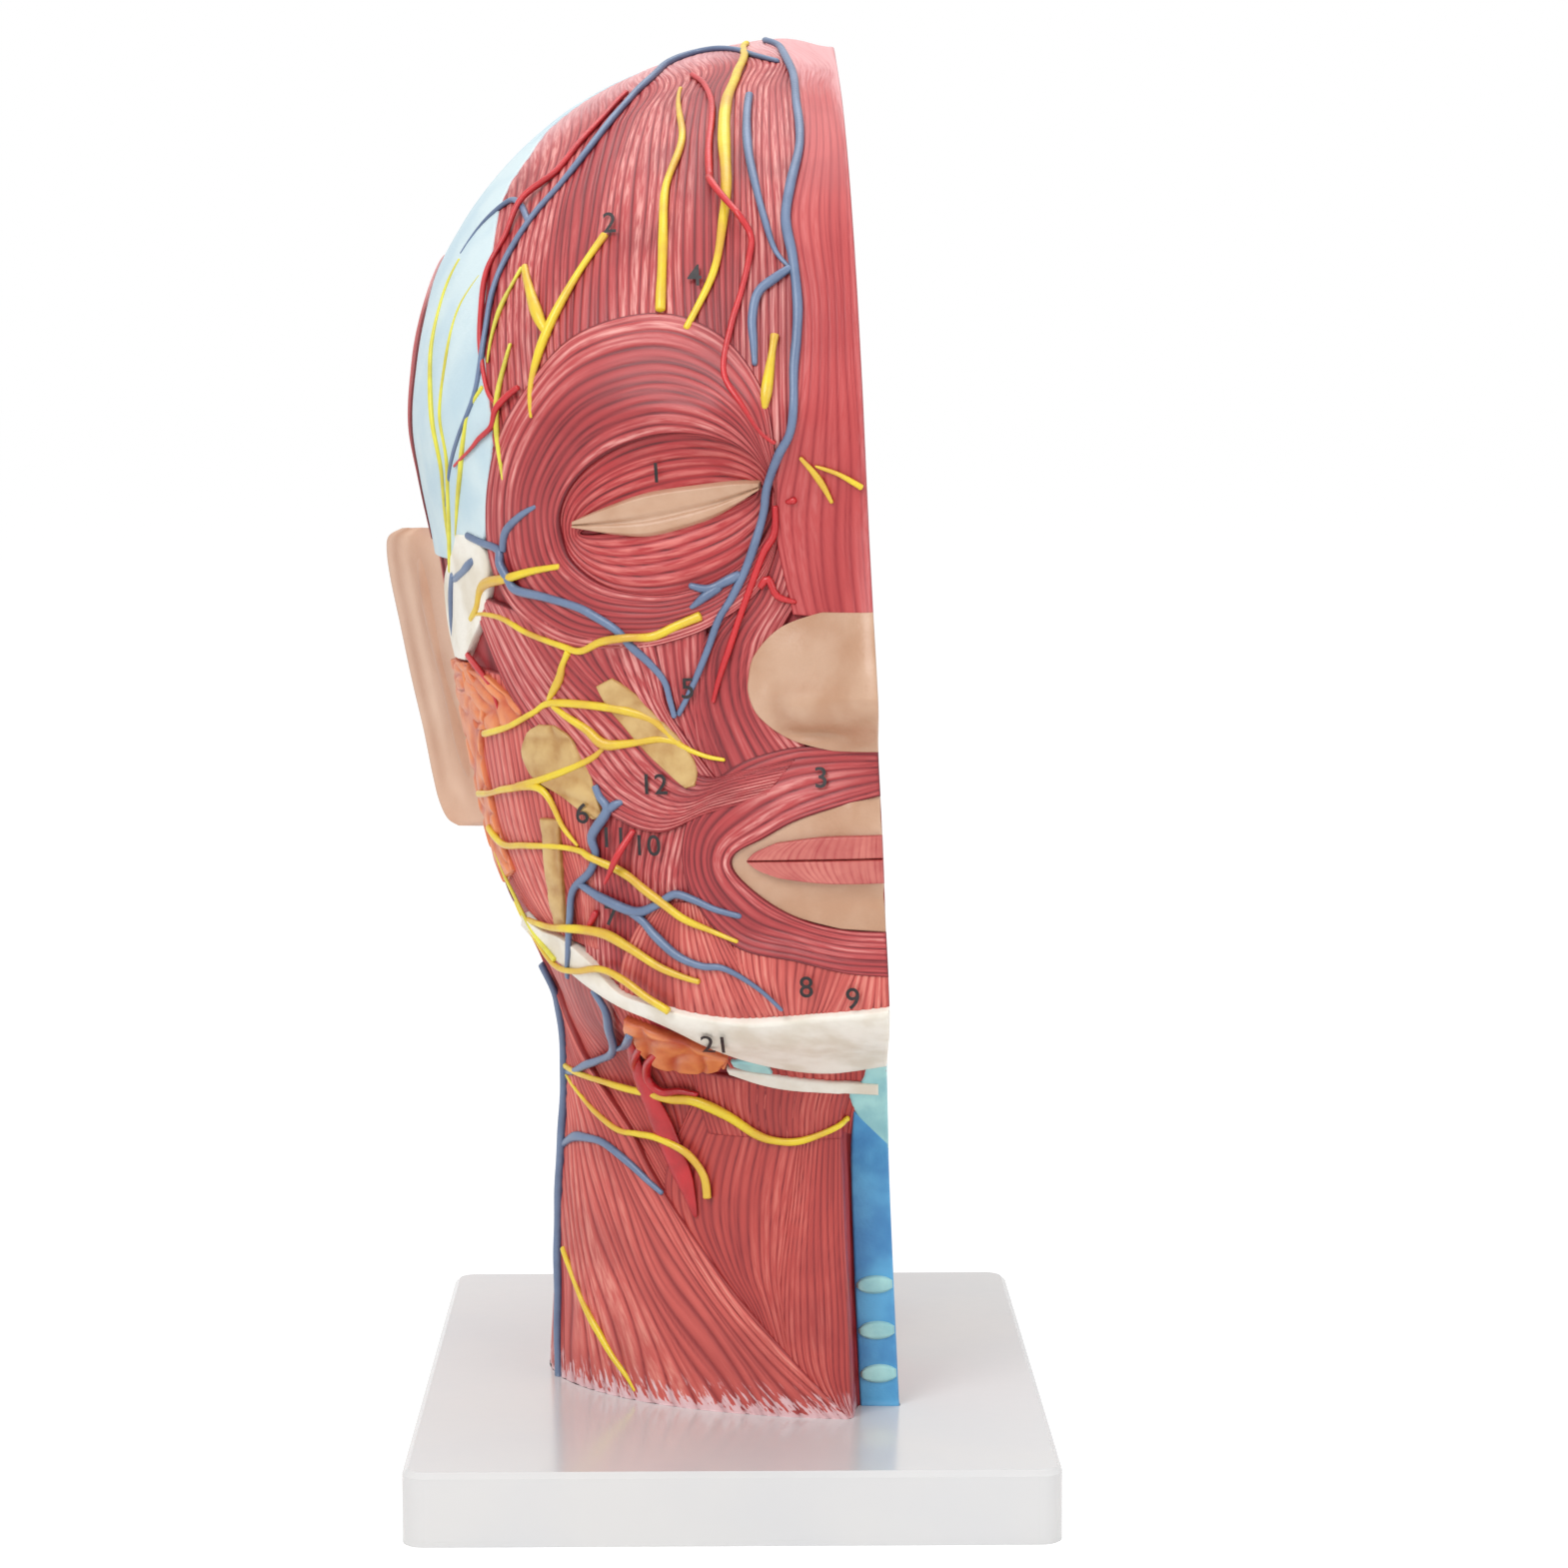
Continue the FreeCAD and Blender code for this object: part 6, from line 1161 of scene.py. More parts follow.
piece("windpipe_bands",
      calm_group([ring_lines(height) for height in RING_HEIGHT_SHARES], 0.05 * MM, 136,
                 top=1.0 * MM, under=0.1 * MM, rim=0.9 * MM),
      CARTILAGE, "windpipe_rings")

# %% [markdown]
# The salivary glands are clusters of small lobes, and the cheek's fat lies in soft pads. Both are
# sheets whose relief is a random field, cut finely enough along and across to hold the lobes.

# %% Glands and pads
PAROTID_SHARES = [
    [[(0.80, 1.24), (0.825, 1.20)], [(0.83, 1.32), (0.865, 1.30)], [(0.845, 1.40), (0.885, 1.39)],
     [(0.86, 1.50), (0.903, 1.50)], [(0.845, 1.60), (0.92, 1.60)], [(0.86, 1.65), (0.925, 1.65)],
     [(0.885, 1.70), (0.93, 1.695)]],
    [[(0.80, 1.56), (0.87, 1.55)], [(0.755, 1.60), (0.88, 1.59)], [(0.785, 1.64), (0.89, 1.64)],
     [(0.83, 1.68), (0.895, 1.69)]]]
GLAND_SHARES = [
    [(0.545, 0.865), (0.50, 0.805), (0.405, 0.795), (0.35, 0.817)],
    [(0.565, 0.90), (0.51, 0.86), (0.41, 0.84), (0.345, 0.832)],
    [(0.565, 0.935), (0.50, 0.912), (0.41, 0.872), (0.345, 0.843)]]
CHEEK_PAD_SHARES = [
    [[(0.585, 1.385), (0.605, 1.38)], [(0.59, 1.41), (0.635, 1.40)], [(0.60, 1.445), (0.68, 1.43)],
     [(0.61, 1.48), (0.74, 1.465)], [(0.63, 1.525), (0.76, 1.515)], [(0.65, 1.56), (0.745, 1.56)],
     [(0.68, 1.582), (0.715, 1.582)]],
    [[(0.385, 1.455), (0.405, 1.45)], [(0.38, 1.50), (0.435, 1.475)], [(0.42, 1.565), (0.49, 1.53)],
     [(0.465, 1.61), (0.53, 1.58)], [(0.51, 1.66), (0.565, 1.625)], [(0.55, 1.688), (0.585, 1.67)]],
    [[(0.685, 1.375), (0.725, 1.375)], [(0.685, 1.24), (0.72, 1.24)], [(0.68, 1.13), (0.705, 1.13)]]]


def lobed(table, size, depth, seed, top, steps=(0.5 * MM, 0.7 * MM)):
    """A sheet of lobes, cut finely across and along."""
    return sheet(front_lines(table), lumps(size, depth, seed), top=top, across_step=steps[0],
                 along_step=steps[1])


piece("parotid_lobes",
      [lobed(table, 5 * MM, 0.8 * MM, seed, 0.5 * MM) for table, seed in zip(PAROTID_SHARES, (141, 150))],
      GLAND, "parotid_gland")
piece("jaw_gland_lobes", [lobed(GLAND_SHARES, 6.5 * MM, 0.9 * MM, 142, 1.0 * MM)],
      GLAND, "submandibular_gland")
piece("cheek_fat",
      [lobed(table, 5.5 * MM, 0.5 * MM, 143 + number, 0.8 * MM, (0.6 * MM, COARSE))
       for number, table in enumerate(CHEEK_PAD_SHARES)], FAT, "cheek_pads")

# %% [markdown]
# The scalp's fascia is a thin pale sheet that covers the temple, the crown and the back. Its front
# border is feathered, because the sculptor let the pale coat run out over the muscle's fibres.

# %% Fascia
SCALP_FRONT_SHARES = [
    (1.93, 0.835), (2.00, 0.815), (2.10, 0.800), (2.22, 0.785), (2.35, 0.795), (2.43, 0.800),
    (2.53, 0.790), (2.61, 0.775), (2.68, 0.765), (2.75, 0.740), (2.82, 0.692), (2.88, 0.650),
    (2.92, 0.600), (2.955, 0.545), (2.99, 0.470), (3.02, 0.375), (3.04, 0.280), (3.055, 0.170),
    (3.064, 0.080), (3.068, 0.020), (3.07, 0.0), (3.073, 0.0), (3.076, 0.0)]
SCALP_NAPE_SHARES = [
    (1.50, 0.900, 0.995), (1.56, 0.900, 0.995), (1.75, 0.935, 0.995), (1.98, 0.940, 0.995)]
SCALP_BACK_SHARE = 0.998
SCALP_SINK = 1.35 * MM
CROWN_SINK = 0.55 * MM
CROWN_SINK_SHARES = (2.92, 0.12)
CROWN_SHARE = 3.07
CAP_SHARE = 0.006


def over_scalp(place, lift):
    """Over the head, sunk toward the back and the crown; above the crown's level it closes to a cap."""
    turn, height = place[..., 0], place[..., 1]
    behind = np.clip(2 * turn / np.pi - 1, 0, 1)
    above = np.clip((height - CROWN_SINK_SHARES[0]) / CROWN_SINK_SHARES[1], 0, 1)
    lift = lift - np.maximum(SCALP_SINK * behind, CROWN_SINK * above)
    points = over_head(np.stack([turn, np.minimum(height, CROWN_SHARE)], -1), lift)
    ends = over_head(np.array([(0.0, CROWN_SHARE), (np.pi, CROWN_SHARE)]), np.zeros(2))
    middle = ends.mean(0) + lift[..., None] * (0, 0, 1)
    closing = np.clip((height - CROWN_SHARE) / CAP_SHARE, 0, 1)[..., None]
    return points + closing * (middle - points)


def scalp():
    """The sheet from its front border round to the section face behind."""
    lines = [[(turn_at(side, height), height), (np.pi * SCALP_BACK_SHARE, height)]
             for height, side in SCALP_FRONT_SHARES]
    return sheet(np.array(lines, float), fibres(3.2 * MM, 0.10 * MM, 151), top=0.3 * MM,
                 sides=(1.0, 0.0), lay=over_scalp, across_step=0.8 * MM)


def nape_scalp():
    """The smooth patch behind the ear, under the sheet's lower edge."""
    return sheet(level_lines(SCALP_NAPE_SHARES), calm(0.15 * MM, 152), across_step=0.8 * MM)


piece("scalp_sheet", [scalp(), nape_scalp()], FASCIA, "scalp_fascia")

# %% [markdown]
# The skin that is left on the nose and round the mouth is smooth, so its relief is a few soft
# swellings: the wing of the nose with the crease behind it, the nostril's hollow, and the furrow
# from the nose to the lip.

# %% Skin of nose and mouth
NOSE_SKIN_SHARES = [
    [(0.0, 1.52), (0.09, 1.525)], [(0.0, 1.55), (0.18, 1.55)], [(0.0, 1.595), (0.242, 1.595)],
    [(0.0, 1.64), (0.264, 1.64)], [(0.0, 1.68), (0.264, 1.68)], [(0.0, 1.73), (0.248, 1.73)],
    [(0.0, 1.785), (0.19, 1.785)], [(0.0, 1.815), (0.10, 1.815)]]
MOUTH_SKIN_SHARES = [
    [(0.0, 1.14), (0.09, 1.15)], [(0.0, 1.18), (0.195, 1.18)], [(0.0, 1.23), (0.285, 1.23)],
    [(0.0, 1.30), (0.335, 1.30)], [(0.0, 1.36), (0.265, 1.36)], [(0.0, 1.405), (0.165, 1.40)],
    [(0.0, 1.435), (0.06, 1.43)]]

# Distance from the section face, height, breadth, height and how far it stands out in millimetres
NOSE_SWELLINGS = [(0.155, 1.625, 0.060, 0.050, 3.2), (0.225, 1.655, 0.022, 0.060, -0.7),
                  (0.150, 1.730, 0.060, 0.040, 0.9), (0.125, 1.563, 0.060, 0.014, -1.4),
                  (0.00, 1.640, 0.070, 0.050, -1.15)]
MOUTH_SWELLINGS = [(0.00, 1.400, 0.030, 0.040, -0.7), (0.060, 1.395, 0.024, 0.040, 0.5),
                   (0.00, 1.215, 0.16, 0.022, -0.7), (0.30, 1.30, 0.030, 0.030, -0.5)]


def shaped(swellings):
    """A lay over the head with soft swellings added to its lift."""
    def lay(place, lift):
        side = -form_share(place[..., 0], place[..., 1], nose=False)[..., 0]
        total = np.zeros_like(side) + lift
        for middle, level, breadth, tall, out in swellings:
            total = total + out * MM * np.exp(-((side - middle) / breadth) ** 2
                                              - ((place[..., 1] - level) / tall) ** 2)
        return over_head(place, total)
    return lay


def soft_skin(table, depth, seed, swellings, **layers):
    """Skin laid over its swellings."""
    return sheet(front_lines(table), calm(depth, seed), along_step=0.6 * MM, lay=shaped(swellings),
                 **layers)


piece("nose_cover", [soft_skin(NOSE_SKIN_SHARES, 0.08 * MM, 161, NOSE_SWELLINGS, top=0.5 * MM,
                               across_step=0.4 * MM)], SKIN, "nose_skin")
piece("mouth_cover", [soft_skin(MOUTH_SKIN_SHARES, 0.10 * MM, 162, MOUTH_SWELLINGS, top=-0.25 * MM,
                                rim=0.9 * MM, across_step=0.5 * MM)], SKIN, "mouth_skin")

# %% [markdown]
# The lips are two soft rolls that meet in one line, and the closed lids are one leaf with a crease
# where they meet.

# %% Lips and eyelid
LIP_SHARES = [
    [[(0.0, 1.248), (0.12, 1.250), (0.21, 1.262)], [(0.0, 1.274), (0.14, 1.276), (0.26, 1.280)],
     [(0.0, 1.301), (0.15, 1.301), (0.285, 1.299)]],
    [[(0.0, 1.301), (0.15, 1.301), (0.285, 1.299)], [(0.0, 1.326), (0.14, 1.325), (0.265, 1.318)],
     [(0.0, 1.350), (0.12, 1.350), (0.22, 1.338)]]]
EYELID_SHARES = [
    [(0.622, 2.008), (0.535, 1.990), (0.450, 1.986), (0.335, 2.014), (0.270, 2.044), (0.220, 2.076)],
    [(0.620, 2.020), (0.535, 2.052), (0.450, 2.076), (0.335, 2.088), (0.270, 2.092), (0.220, 2.090)]]
LID_CREASE_SHARES = (0.42, 0.06)
LID_CREASE_DEPTH = 0.9 * MM
LID_RIDGE_SHARE = 0.8


def lip(table, seed):
    """A lip: a soft roll with fine upright creases."""
    return sheet(front_lines(table), fibres(1.3 * MM, 0.10 * MM, seed), top=1.3 * MM, under=-0.3 * MM,
                 rim=1.2 * MM, across_step=0.3 * MM, along_step=0.35 * MM)


def lid():
    """The closed lids: a leaf with one crease along it, a bell curve across its width."""
    def relief(across, along):
        place = along / along.max() - LID_CREASE_SHARES[0]
        crease = np.exp(-(place / LID_CREASE_SHARES[1]) ** 2)
        return -LID_CREASE_DEPTH * crease, LID_RIDGE_SHARE - LID_RIDGE_SHARE * crease
    return sheet(front_lines(EYELID_SHARES), relief, top=1.0 * MM, rim=1.4 * MM, across_step=0.4 * MM,
                 along_step=0.25 * MM)


piece("lip_rolls", [lip(table, 171 + number) for number, table in enumerate(LIP_SHARES)],
      LIP, "lips")
piece("eyelid_leaf", [lid()], SKIN, "eyelids")

# %% [markdown]
# The ear is cast whole. Its folds follow the real one: the helix rolls over the rim, the antihelix
# forks inside it, the concha is a bowl, and the tragus guards its front. It is one grid, up the
# ear and across it, closed along its back.

# %% Ear
EAR_SECTION_SHARES = [
    (1.285, 0.15, 0.19, 0.955), (1.30, 0.13, 0.22, 0.982), (1.34, 0.12, 0.26, 1.003),
    (1.40, 0.12, 0.30, 1.018), (1.50, 0.13, 0.36, 1.038), (1.62, 0.13, 0.41, 1.064),
    (1.74, 0.13, 0.45, 1.086), (1.85, 0.14, 0.46, 1.104), (1.92, 0.17, 0.44, 1.108),
    (1.96, 0.21, 0.39, 1.097), (1.98, 0.26, 0.33, 1.060)]
EAR_THICKNESS = 3.0 * MM
EAR_STEPS = (90, 110)

# Share up the ear, share across it, and how far the fold or hollow stands out in millimetres
EAR_FOLDS = [(0.66, 0.38, 0.26, 0.18, -4.5), (0.36, 0.26, 0.14, 0.16, -4.0), (0.40, 0.04, 0.10, 0.10, 3.2),
             (0.24, 0.50, 0.06, 0.14, 2.6), (0.80, 0.60, 0.10, 0.10, -2.0), (0.07, 0.50, 0.10, 0.35, 1.5)]
# The helix, the antihelix and the hollow between them: share across, breadth, and how far it stands
EAR_RIDGES = [(0.93, 0.06, 3.4), (0.62, 0.075, 3.4), (0.79, 0.06, -2.4)]
EAR_RIDGE_START_SHARES = (0.22, 0.2)
EAR_CENTRE_SHARES = (0.15, 0.95)
EAR_ROOT_SINK_SHARE = 0.01
EAR_ROOT_SHARES = (0.4, 3)
EAR_FADES = (12, 14)
EAR_EDGE_SHARES = (0.05, 0.02)
EAR_BACK = 0.6 * MM
EAR_LIGHT_SHARES = (0.6, 0.16)


def ear_relief(climb, share):
    """Folds and hollows as bell curves over the ear, and ridges that start above the lobe."""
    lift = np.zeros((EAR_STEPS[0], EAR_STEPS[1]))
    for up, across, tall, broad, stand in EAR_FOLDS:
        lift = lift + stand * np.exp(-((climb - up) / tall) ** 2 - ((share - across) / broad) ** 2)
    ends = np.clip((climb - EAR_RIDGE_START_SHARES[0]) / EAR_RIDGE_START_SHARES[1], 0, 1)
    for place, broad, stand in EAR_RIDGES:
        lift = lift + stand * ends * np.exp(-((share - place) / broad) ** 2)
    return lift


def ear_sections(climb):
    """Where each section starts at the head, its reach to the rim, and its outward direction."""
    rows = smooth_through(np.array(EAR_SECTION_SHARES), climb.ravel())
    height, front, back, reach = (rows[:, k:k + 1] for k in range(4))
    turn = np.pi / 2 + np.arcsin(np.clip((front - EAR_CENTRE_SHARES[0]) / EAR_CENTRE_SHARES[1], -1, 1))
    root = -form_share(turn, height)[..., 0] - EAR_ROOT_SINK_SHARE
    start = np.stack([-root, front, height], -1) * HALF_BREADTH
    along = np.stack([-reach, back, height], -1) * HALF_BREADTH - start
    out = np.stack([along[..., 1], -along[..., 0], 0 * along[..., 0]], -1)
    return start, along, out / np.linalg.norm(out, axis=-1, keepdims=True)


def ear():
    """Sections from the lobe to the top, each from its root to its rim, with the folds laid over."""
    climb = np.linspace(0, 1, EAR_STEPS[0])[:, None]
    share = np.linspace(0, 1, EAR_STEPS[1])[None, :]
    lift = ear_relief(climb, share)
    body = EAR_THICKNESS * np.minimum(1, EAR_ROOT_SHARES[0] + EAR_ROOT_SHARES[1] * share)
    ends = np.sqrt(np.clip(np.minimum(climb, 1 - climb) * EAR_FADES[0], EAR_EDGE_SHARES[0], 1))
    tip = np.sqrt(np.clip((1 - share) * EAR_FADES[1], EAR_EDGE_SHARES[1], 1))
    start, along, out = ear_sections(climb)
    middle = start + along * share[..., None]
    outer = middle + out * ((body + lift * MM) * tip * ends)[..., None]
    inner = middle - out * (EAR_BACK * tip * ends)[..., None]
    # The ridge value rises with how far a fold stands out, so folds are painted lighter and hollows darker:
    # painted highlight and shade.
    ridge = np.clip(EAR_LIGHT_SHARES[0] + EAR_LIGHT_SHARES[1] * lift, 0, 1)
    return skin(there_and_back(outer, inner), ridge=there_and_back(ridge, ridge))


piece("ear_folds", [ear()], EAR_PAINT, "ear")

# %% [markdown]
# Nerves and vessels lie on the muscles as rounded strands. Each is an oval section carried along a
# smooth route; its breadth changes along the way and falls away at both tips.

# %% Nerves
FOREHEAD_NERVE_SHARES = [
    [(0.195, 3.05), (0.205, 3.015), (0.225, 2.965), (0.25, 2.90), (0.26, 2.81), (0.26, 2.72),
     (0.27, 2.64), (0.295, 2.53), (0.36, 2.41)],
    [(0.35, 2.945), (0.35, 2.83), (0.39, 2.71), (0.40, 2.58), (0.41, 2.45)],
    [(0.52, 2.62), (0.585, 2.535), (0.65, 2.425), (0.69, 2.32), (0.695, 2.24)],
    [(0.175, 2.395), (0.19, 2.32), (0.205, 2.24)],
    [(0.70, 2.565), (0.685, 2.50), (0.665, 2.44), (0.65, 2.41)]]
NOSE_NERVE_SHARES = [
    [(0.135, 2.14, 0.004), (0.095, 2.09, 0.004), (0.07, 2.04, 0.004)],
    [(0.105, 2.12, 0.004), (0.055, 2.10, 0.004), (0.008, 2.07, 0.004)]]
TEMPLE_NERVE_SHARES = [
    [(0.855, 2.59), (0.895, 2.51), (0.925, 2.38), (0.925, 2.26), (0.91, 2.14), (0.91, 2.02), (0.905, 1.90)],
    [(0.805, 2.55), (0.855, 2.48), (0.885, 2.38), (0.905, 2.26), (0.895, 2.16), (0.90, 2.04), (0.91, 1.90)],
    [(0.705, 2.56), (0.74, 2.505), (0.77, 2.44), (0.79, 2.36)],
    [(0.80, 2.31), (0.835, 2.26), (0.85, 2.20), (0.868, 2.10), (0.89, 1.98)],
    [(0.735, 2.40), (0.765, 2.30), (0.772, 2.20), (0.765, 2.11)],
    [(0.845, 1.27, 0.004), (0.80, 1.19, 0.006), (0.75, 1.11, 0.01), (0.70, 1.06, 0.014)]]
FACIAL_NERVE_SHARES = [
    [(0.865, 1.80), (0.845, 1.83), (0.825, 1.88), (0.76, 1.90, 0.01), (0.71, 1.915), (0.65, 1.925)],
    [(0.865, 1.80), (0.845, 1.815), (0.79, 1.81), (0.73, 1.78), (0.655, 1.755), (0.615, 1.745),
     (0.57, 1.765), (0.515, 1.775, 0.012), (0.46, 1.775), (0.41, 1.795), (0.355, 1.815)],
    [(0.85, 1.545), (0.79, 1.57), (0.73, 1.605), (0.685, 1.63), (0.57, 1.625), (0.475, 1.60),
     (0.415, 1.545), (0.365, 1.52), (0.32, 1.51)],
    [(0.64, 1.745), (0.655, 1.715), (0.665, 1.68), (0.695, 1.632)],
    [(0.685, 1.625), (0.65, 1.60), (0.61, 1.575), (0.575, 1.545), (0.53, 1.545), (0.455, 1.555),
     (0.41, 1.545)],
    [(0.57, 1.545), (0.60, 1.515), (0.66, 1.485), (0.72, 1.46), (0.775, 1.438)],
    [(0.87, 1.40, 0.006), (0.84, 1.412, 0.004), (0.80, 1.43), (0.72, 1.44), (0.675, 1.36), (0.645, 1.32)],
    [(0.85, 1.33, 0.006), (0.815, 1.30, 0.004), (0.77, 1.307), (0.695, 1.315), (0.64, 1.31),
     (0.61, 1.30, 0.012), (0.565, 1.277), (0.535, 1.26), (0.50, 1.235, 0.006), (0.46, 1.205, 0.006),
     (0.42, 1.175, 0.006), (0.37, 1.15), (0.31, 1.125)],
    [(0.77, 1.135, 0.004), (0.71, 1.132, 0.008), (0.672, 1.137, 0.012), (0.635, 1.137, 0.006),
     (0.59, 1.13), (0.54, 1.105), (0.48, 1.07), (0.43, 1.05), (0.395, 1.04)],
    [(0.80, 1.17, 0.004), (0.755, 1.10, 0.008), (0.70, 1.05, 0.016), (0.655, 1.045, 0.016),
     (0.60, 1.058, 0.013), (0.55, 1.04, 0.013), (0.50, 1.005, 0.013), (0.455, 0.98, 0.013)]]
NECK_NERVE_SHARES = [
    [(0.725, 0.75, 0.004), (0.65, 0.745), (0.59, 0.738), (0.53, 0.73), (0.475, 0.722), (0.42, 0.72),
     (0.355, 0.69), (0.29, 0.645), (0.245, 0.63), (0.195, 0.63), (0.135, 0.65), (0.085, 0.675)],
    [(0.725, 0.745, 0.004), (0.69, 0.70), (0.655, 0.67), (0.60, 0.635), (0.56, 0.632), (0.51, 0.63, 0.008),
     (0.455, 0.61, 0.012), (0.43, 0.585, 0.006), (0.41, 0.545), (0.405, 0.495)],
    [(0.745, 0.33), (0.73, 0.29), (0.70, 0.22), (0.67, 0.17), (0.64, 0.12), (0.61, 0.08), (0.59, 0.045)]]

# Half the breadth and the height of each kind of strand
NERVE = (1.05 * MM, 1.4 * MM)
FACE_NERVE = (0.9 * MM, 1.25 * MM)
THIN_NERVE = (0.6 * MM, 0.85 * MM)
VEIN = (1.0 * MM, 1.35 * MM)
THIN_VEIN = (0.75 * MM, 1.1 * MM)
ARTERY = (0.75 * MM, 1.05 * MM)
CAROTID = (2.7 * MM, 1.5 * MM)
CAROTID_BRANCH = (0.95 * MM, 1.6 * MM)

# How the breadth changes along the route
NERVE_WIDTHS = [(0.7, 1.0, 1.3, 0.95, 0.7), (0.4, 0.75, 0.85, 1.0, 1.1), (0.9, 0.75, 1.05, 0.75, 0.4),
                (0.95, 0.75, 1.0, 1.1, 0.5)]
VESSEL_WIDTHS = [(0.8, 1.1, 0.95, 0.9, 0.6), (0.9, 1.0, 0.75, 0.4)]
JUGULAR_WIDTHS = (1.0, 1.3, 1.3, 1.0)
CAROTID_WIDTHS = (0.45, 0.8, 1.0, 1.0, 0.8, 0.2)


def strands(tables, size, widths):
    """Several strands, whose widths along the route take turns."""
    return [strand(table, *size, widths[number % len(widths)]) for number, table in enumerate(tables)]


piece("forehead_nerve_strands",
      strands(FOREHEAD_NERVE_SHARES, NERVE, NERVE_WIDTHS)
      + strands(NOSE_NERVE_SHARES, THIN_NERVE, NERVE_WIDTHS), NERVE_PAINT, "forehead_nerves")
piece("temple_nerve_strands", strands(TEMPLE_NERVE_SHARES, THIN_NERVE, NERVE_WIDTHS),
      THIN_NERVE_PAINT, "temple_nerves")
piece("facial_nerve_strands", strands(FACIAL_NERVE_SHARES, FACE_NERVE, NERVE_WIDTHS),
      NERVE_PAINT, "facial_nerve")
piece("neck_nerve_strands", strands(NECK_NERVE_SHARES, FACE_NERVE, NERVE_WIDTHS),
      NERVE_PAINT, "neck_nerves")

# %% [markdown]
# The veins are dark blue and a little thicker than the arteries, which wind more. Both take turns
# in how their breadth changes along the way, so that no two neighbours look alike.

# %% Veins
FOREHEAD_VEIN_SHARES = [
    [(0.155, 3.055), (0.125, 3.035), (0.105, 2.975), (0.10, 2.88), (0.10, 2.795), (0.125, 2.705),
     (0.14, 2.63), (0.13, 2.55), (0.125, 2.46), (0.13, 2.39), (0.14, 2.32), (0.145, 2.245), (0.155, 2.19),
     (0.18, 2.145), (0.205, 2.08), (0.215, 2.025), (0.235, 1.965), (0.26, 1.905), (0.29, 1.85),
     (0.32, 1.805), (0.345, 1.745), (0.37, 1.69), (0.395, 1.64), (0.415, 1.605)],
    [(0.20, 2.915), (0.21, 2.85), (0.21, 2.78), (0.20, 2.71), (0.185, 2.635), (0.165, 2.565),
     (0.133, 2.525)],
    [(0.133, 2.53), (0.165, 2.51), (0.205, 2.48), (0.22, 2.43), (0.22, 2.375), (0.22, 2.33)]]
CHEEK_VEIN_SHARES = [
    [(0.86, 1.99), (0.825, 1.975), (0.785, 1.96), (0.775, 1.93, 0.008), (0.76, 1.902, 0.01),
     (0.745, 1.875, 0.006), (0.69, 1.86), (0.62, 1.84), (0.58, 1.82), (0.535, 1.79), (0.505, 1.755),
     (0.47, 1.72), (0.44, 1.68), (0.43, 1.64), (0.418, 1.60, 0.01)],
    [(0.775, 1.955), (0.765, 2.0), (0.73, 2.035), (0.695, 2.055)],
    [(0.268, 1.90), (0.30, 1.885), (0.34, 1.87), (0.38, 1.88)],
    [(0.31, 1.875), (0.345, 1.855), (0.365, 1.84), (0.38, 1.83)],
    [(0.845, 1.935), (0.875, 1.905), (0.90, 1.885)],
    [(0.90, 1.90), (0.912, 1.83), (0.92, 1.75)]]
TEMPORAL_VEIN_SHARES = [
    [(0.13, 2.995), (0.215, 3.03), (0.27, 3.04), (0.335, 3.03), (0.405, 2.985), (0.455, 2.935),
     (0.51, 2.87), (0.565, 2.80), (0.62, 2.735), (0.685, 2.665), (0.73, 2.60), (0.77, 2.52), (0.79, 2.43),
     (0.805, 2.35), (0.825, 2.28), (0.86, 2.21), (0.89, 2.13), (0.905, 2.05)],
    [(0.69, 2.655), (0.705, 2.69), (0.73, 2.71), (0.775, 2.685), (0.815, 2.65), (0.855, 2.60)]]
FACIAL_VEIN_SHARES = [
    [(0.60, 1.455), (0.59, 1.43), (0.575, 1.40), (0.61, 1.345), (0.605, 1.305), (0.62, 1.265),
     (0.66, 1.22), (0.668, 1.15, 0.004), (0.672, 1.09, 0.008), (0.675, 1.02, 0.014)],
    [(0.575, 1.40), (0.555, 1.415), (0.54, 1.42)],
    [(0.645, 1.238), (0.618, 1.222), (0.59, 1.208), (0.525, 1.185), (0.48, 1.20), (0.44, 1.225),
     (0.40, 1.215), (0.355, 1.195), (0.30, 1.18)],
    [(0.545, 1.19), (0.51, 1.165), (0.485, 1.135), (0.44, 1.095), (0.39, 1.075), (0.34, 1.07),
     (0.275, 1.03), (0.22, 0.985, 0.012)]]
NECK_VEIN_SHARES = [
    [(0.63, 1.00), (0.605, 0.955), (0.60, 0.90), (0.60, 0.83), (0.63, 0.80), (0.665, 0.775),
     (0.70, 0.745), (0.725, 0.73)],
    [(0.55, 0.905, 0.008), (0.562, 0.875, 0.006), (0.575, 0.85), (0.60, 0.83)],
    [(0.735, 0.56), (0.715, 0.585), (0.70, 0.597), (0.68, 0.602), (0.635, 0.60), (0.58, 0.565),
     (0.535, 0.525), (0.505, 0.50)]]
JUGULAR_TURN_SHARES = [
    (0.460, 1.00), (0.455, 0.90), (0.448, 0.80), (0.442, 0.70), (0.445, 0.58), (0.450, 0.46),
    (0.446, 0.34), (0.432, 0.22), (0.425, 0.10), (0.415, 0.02)]

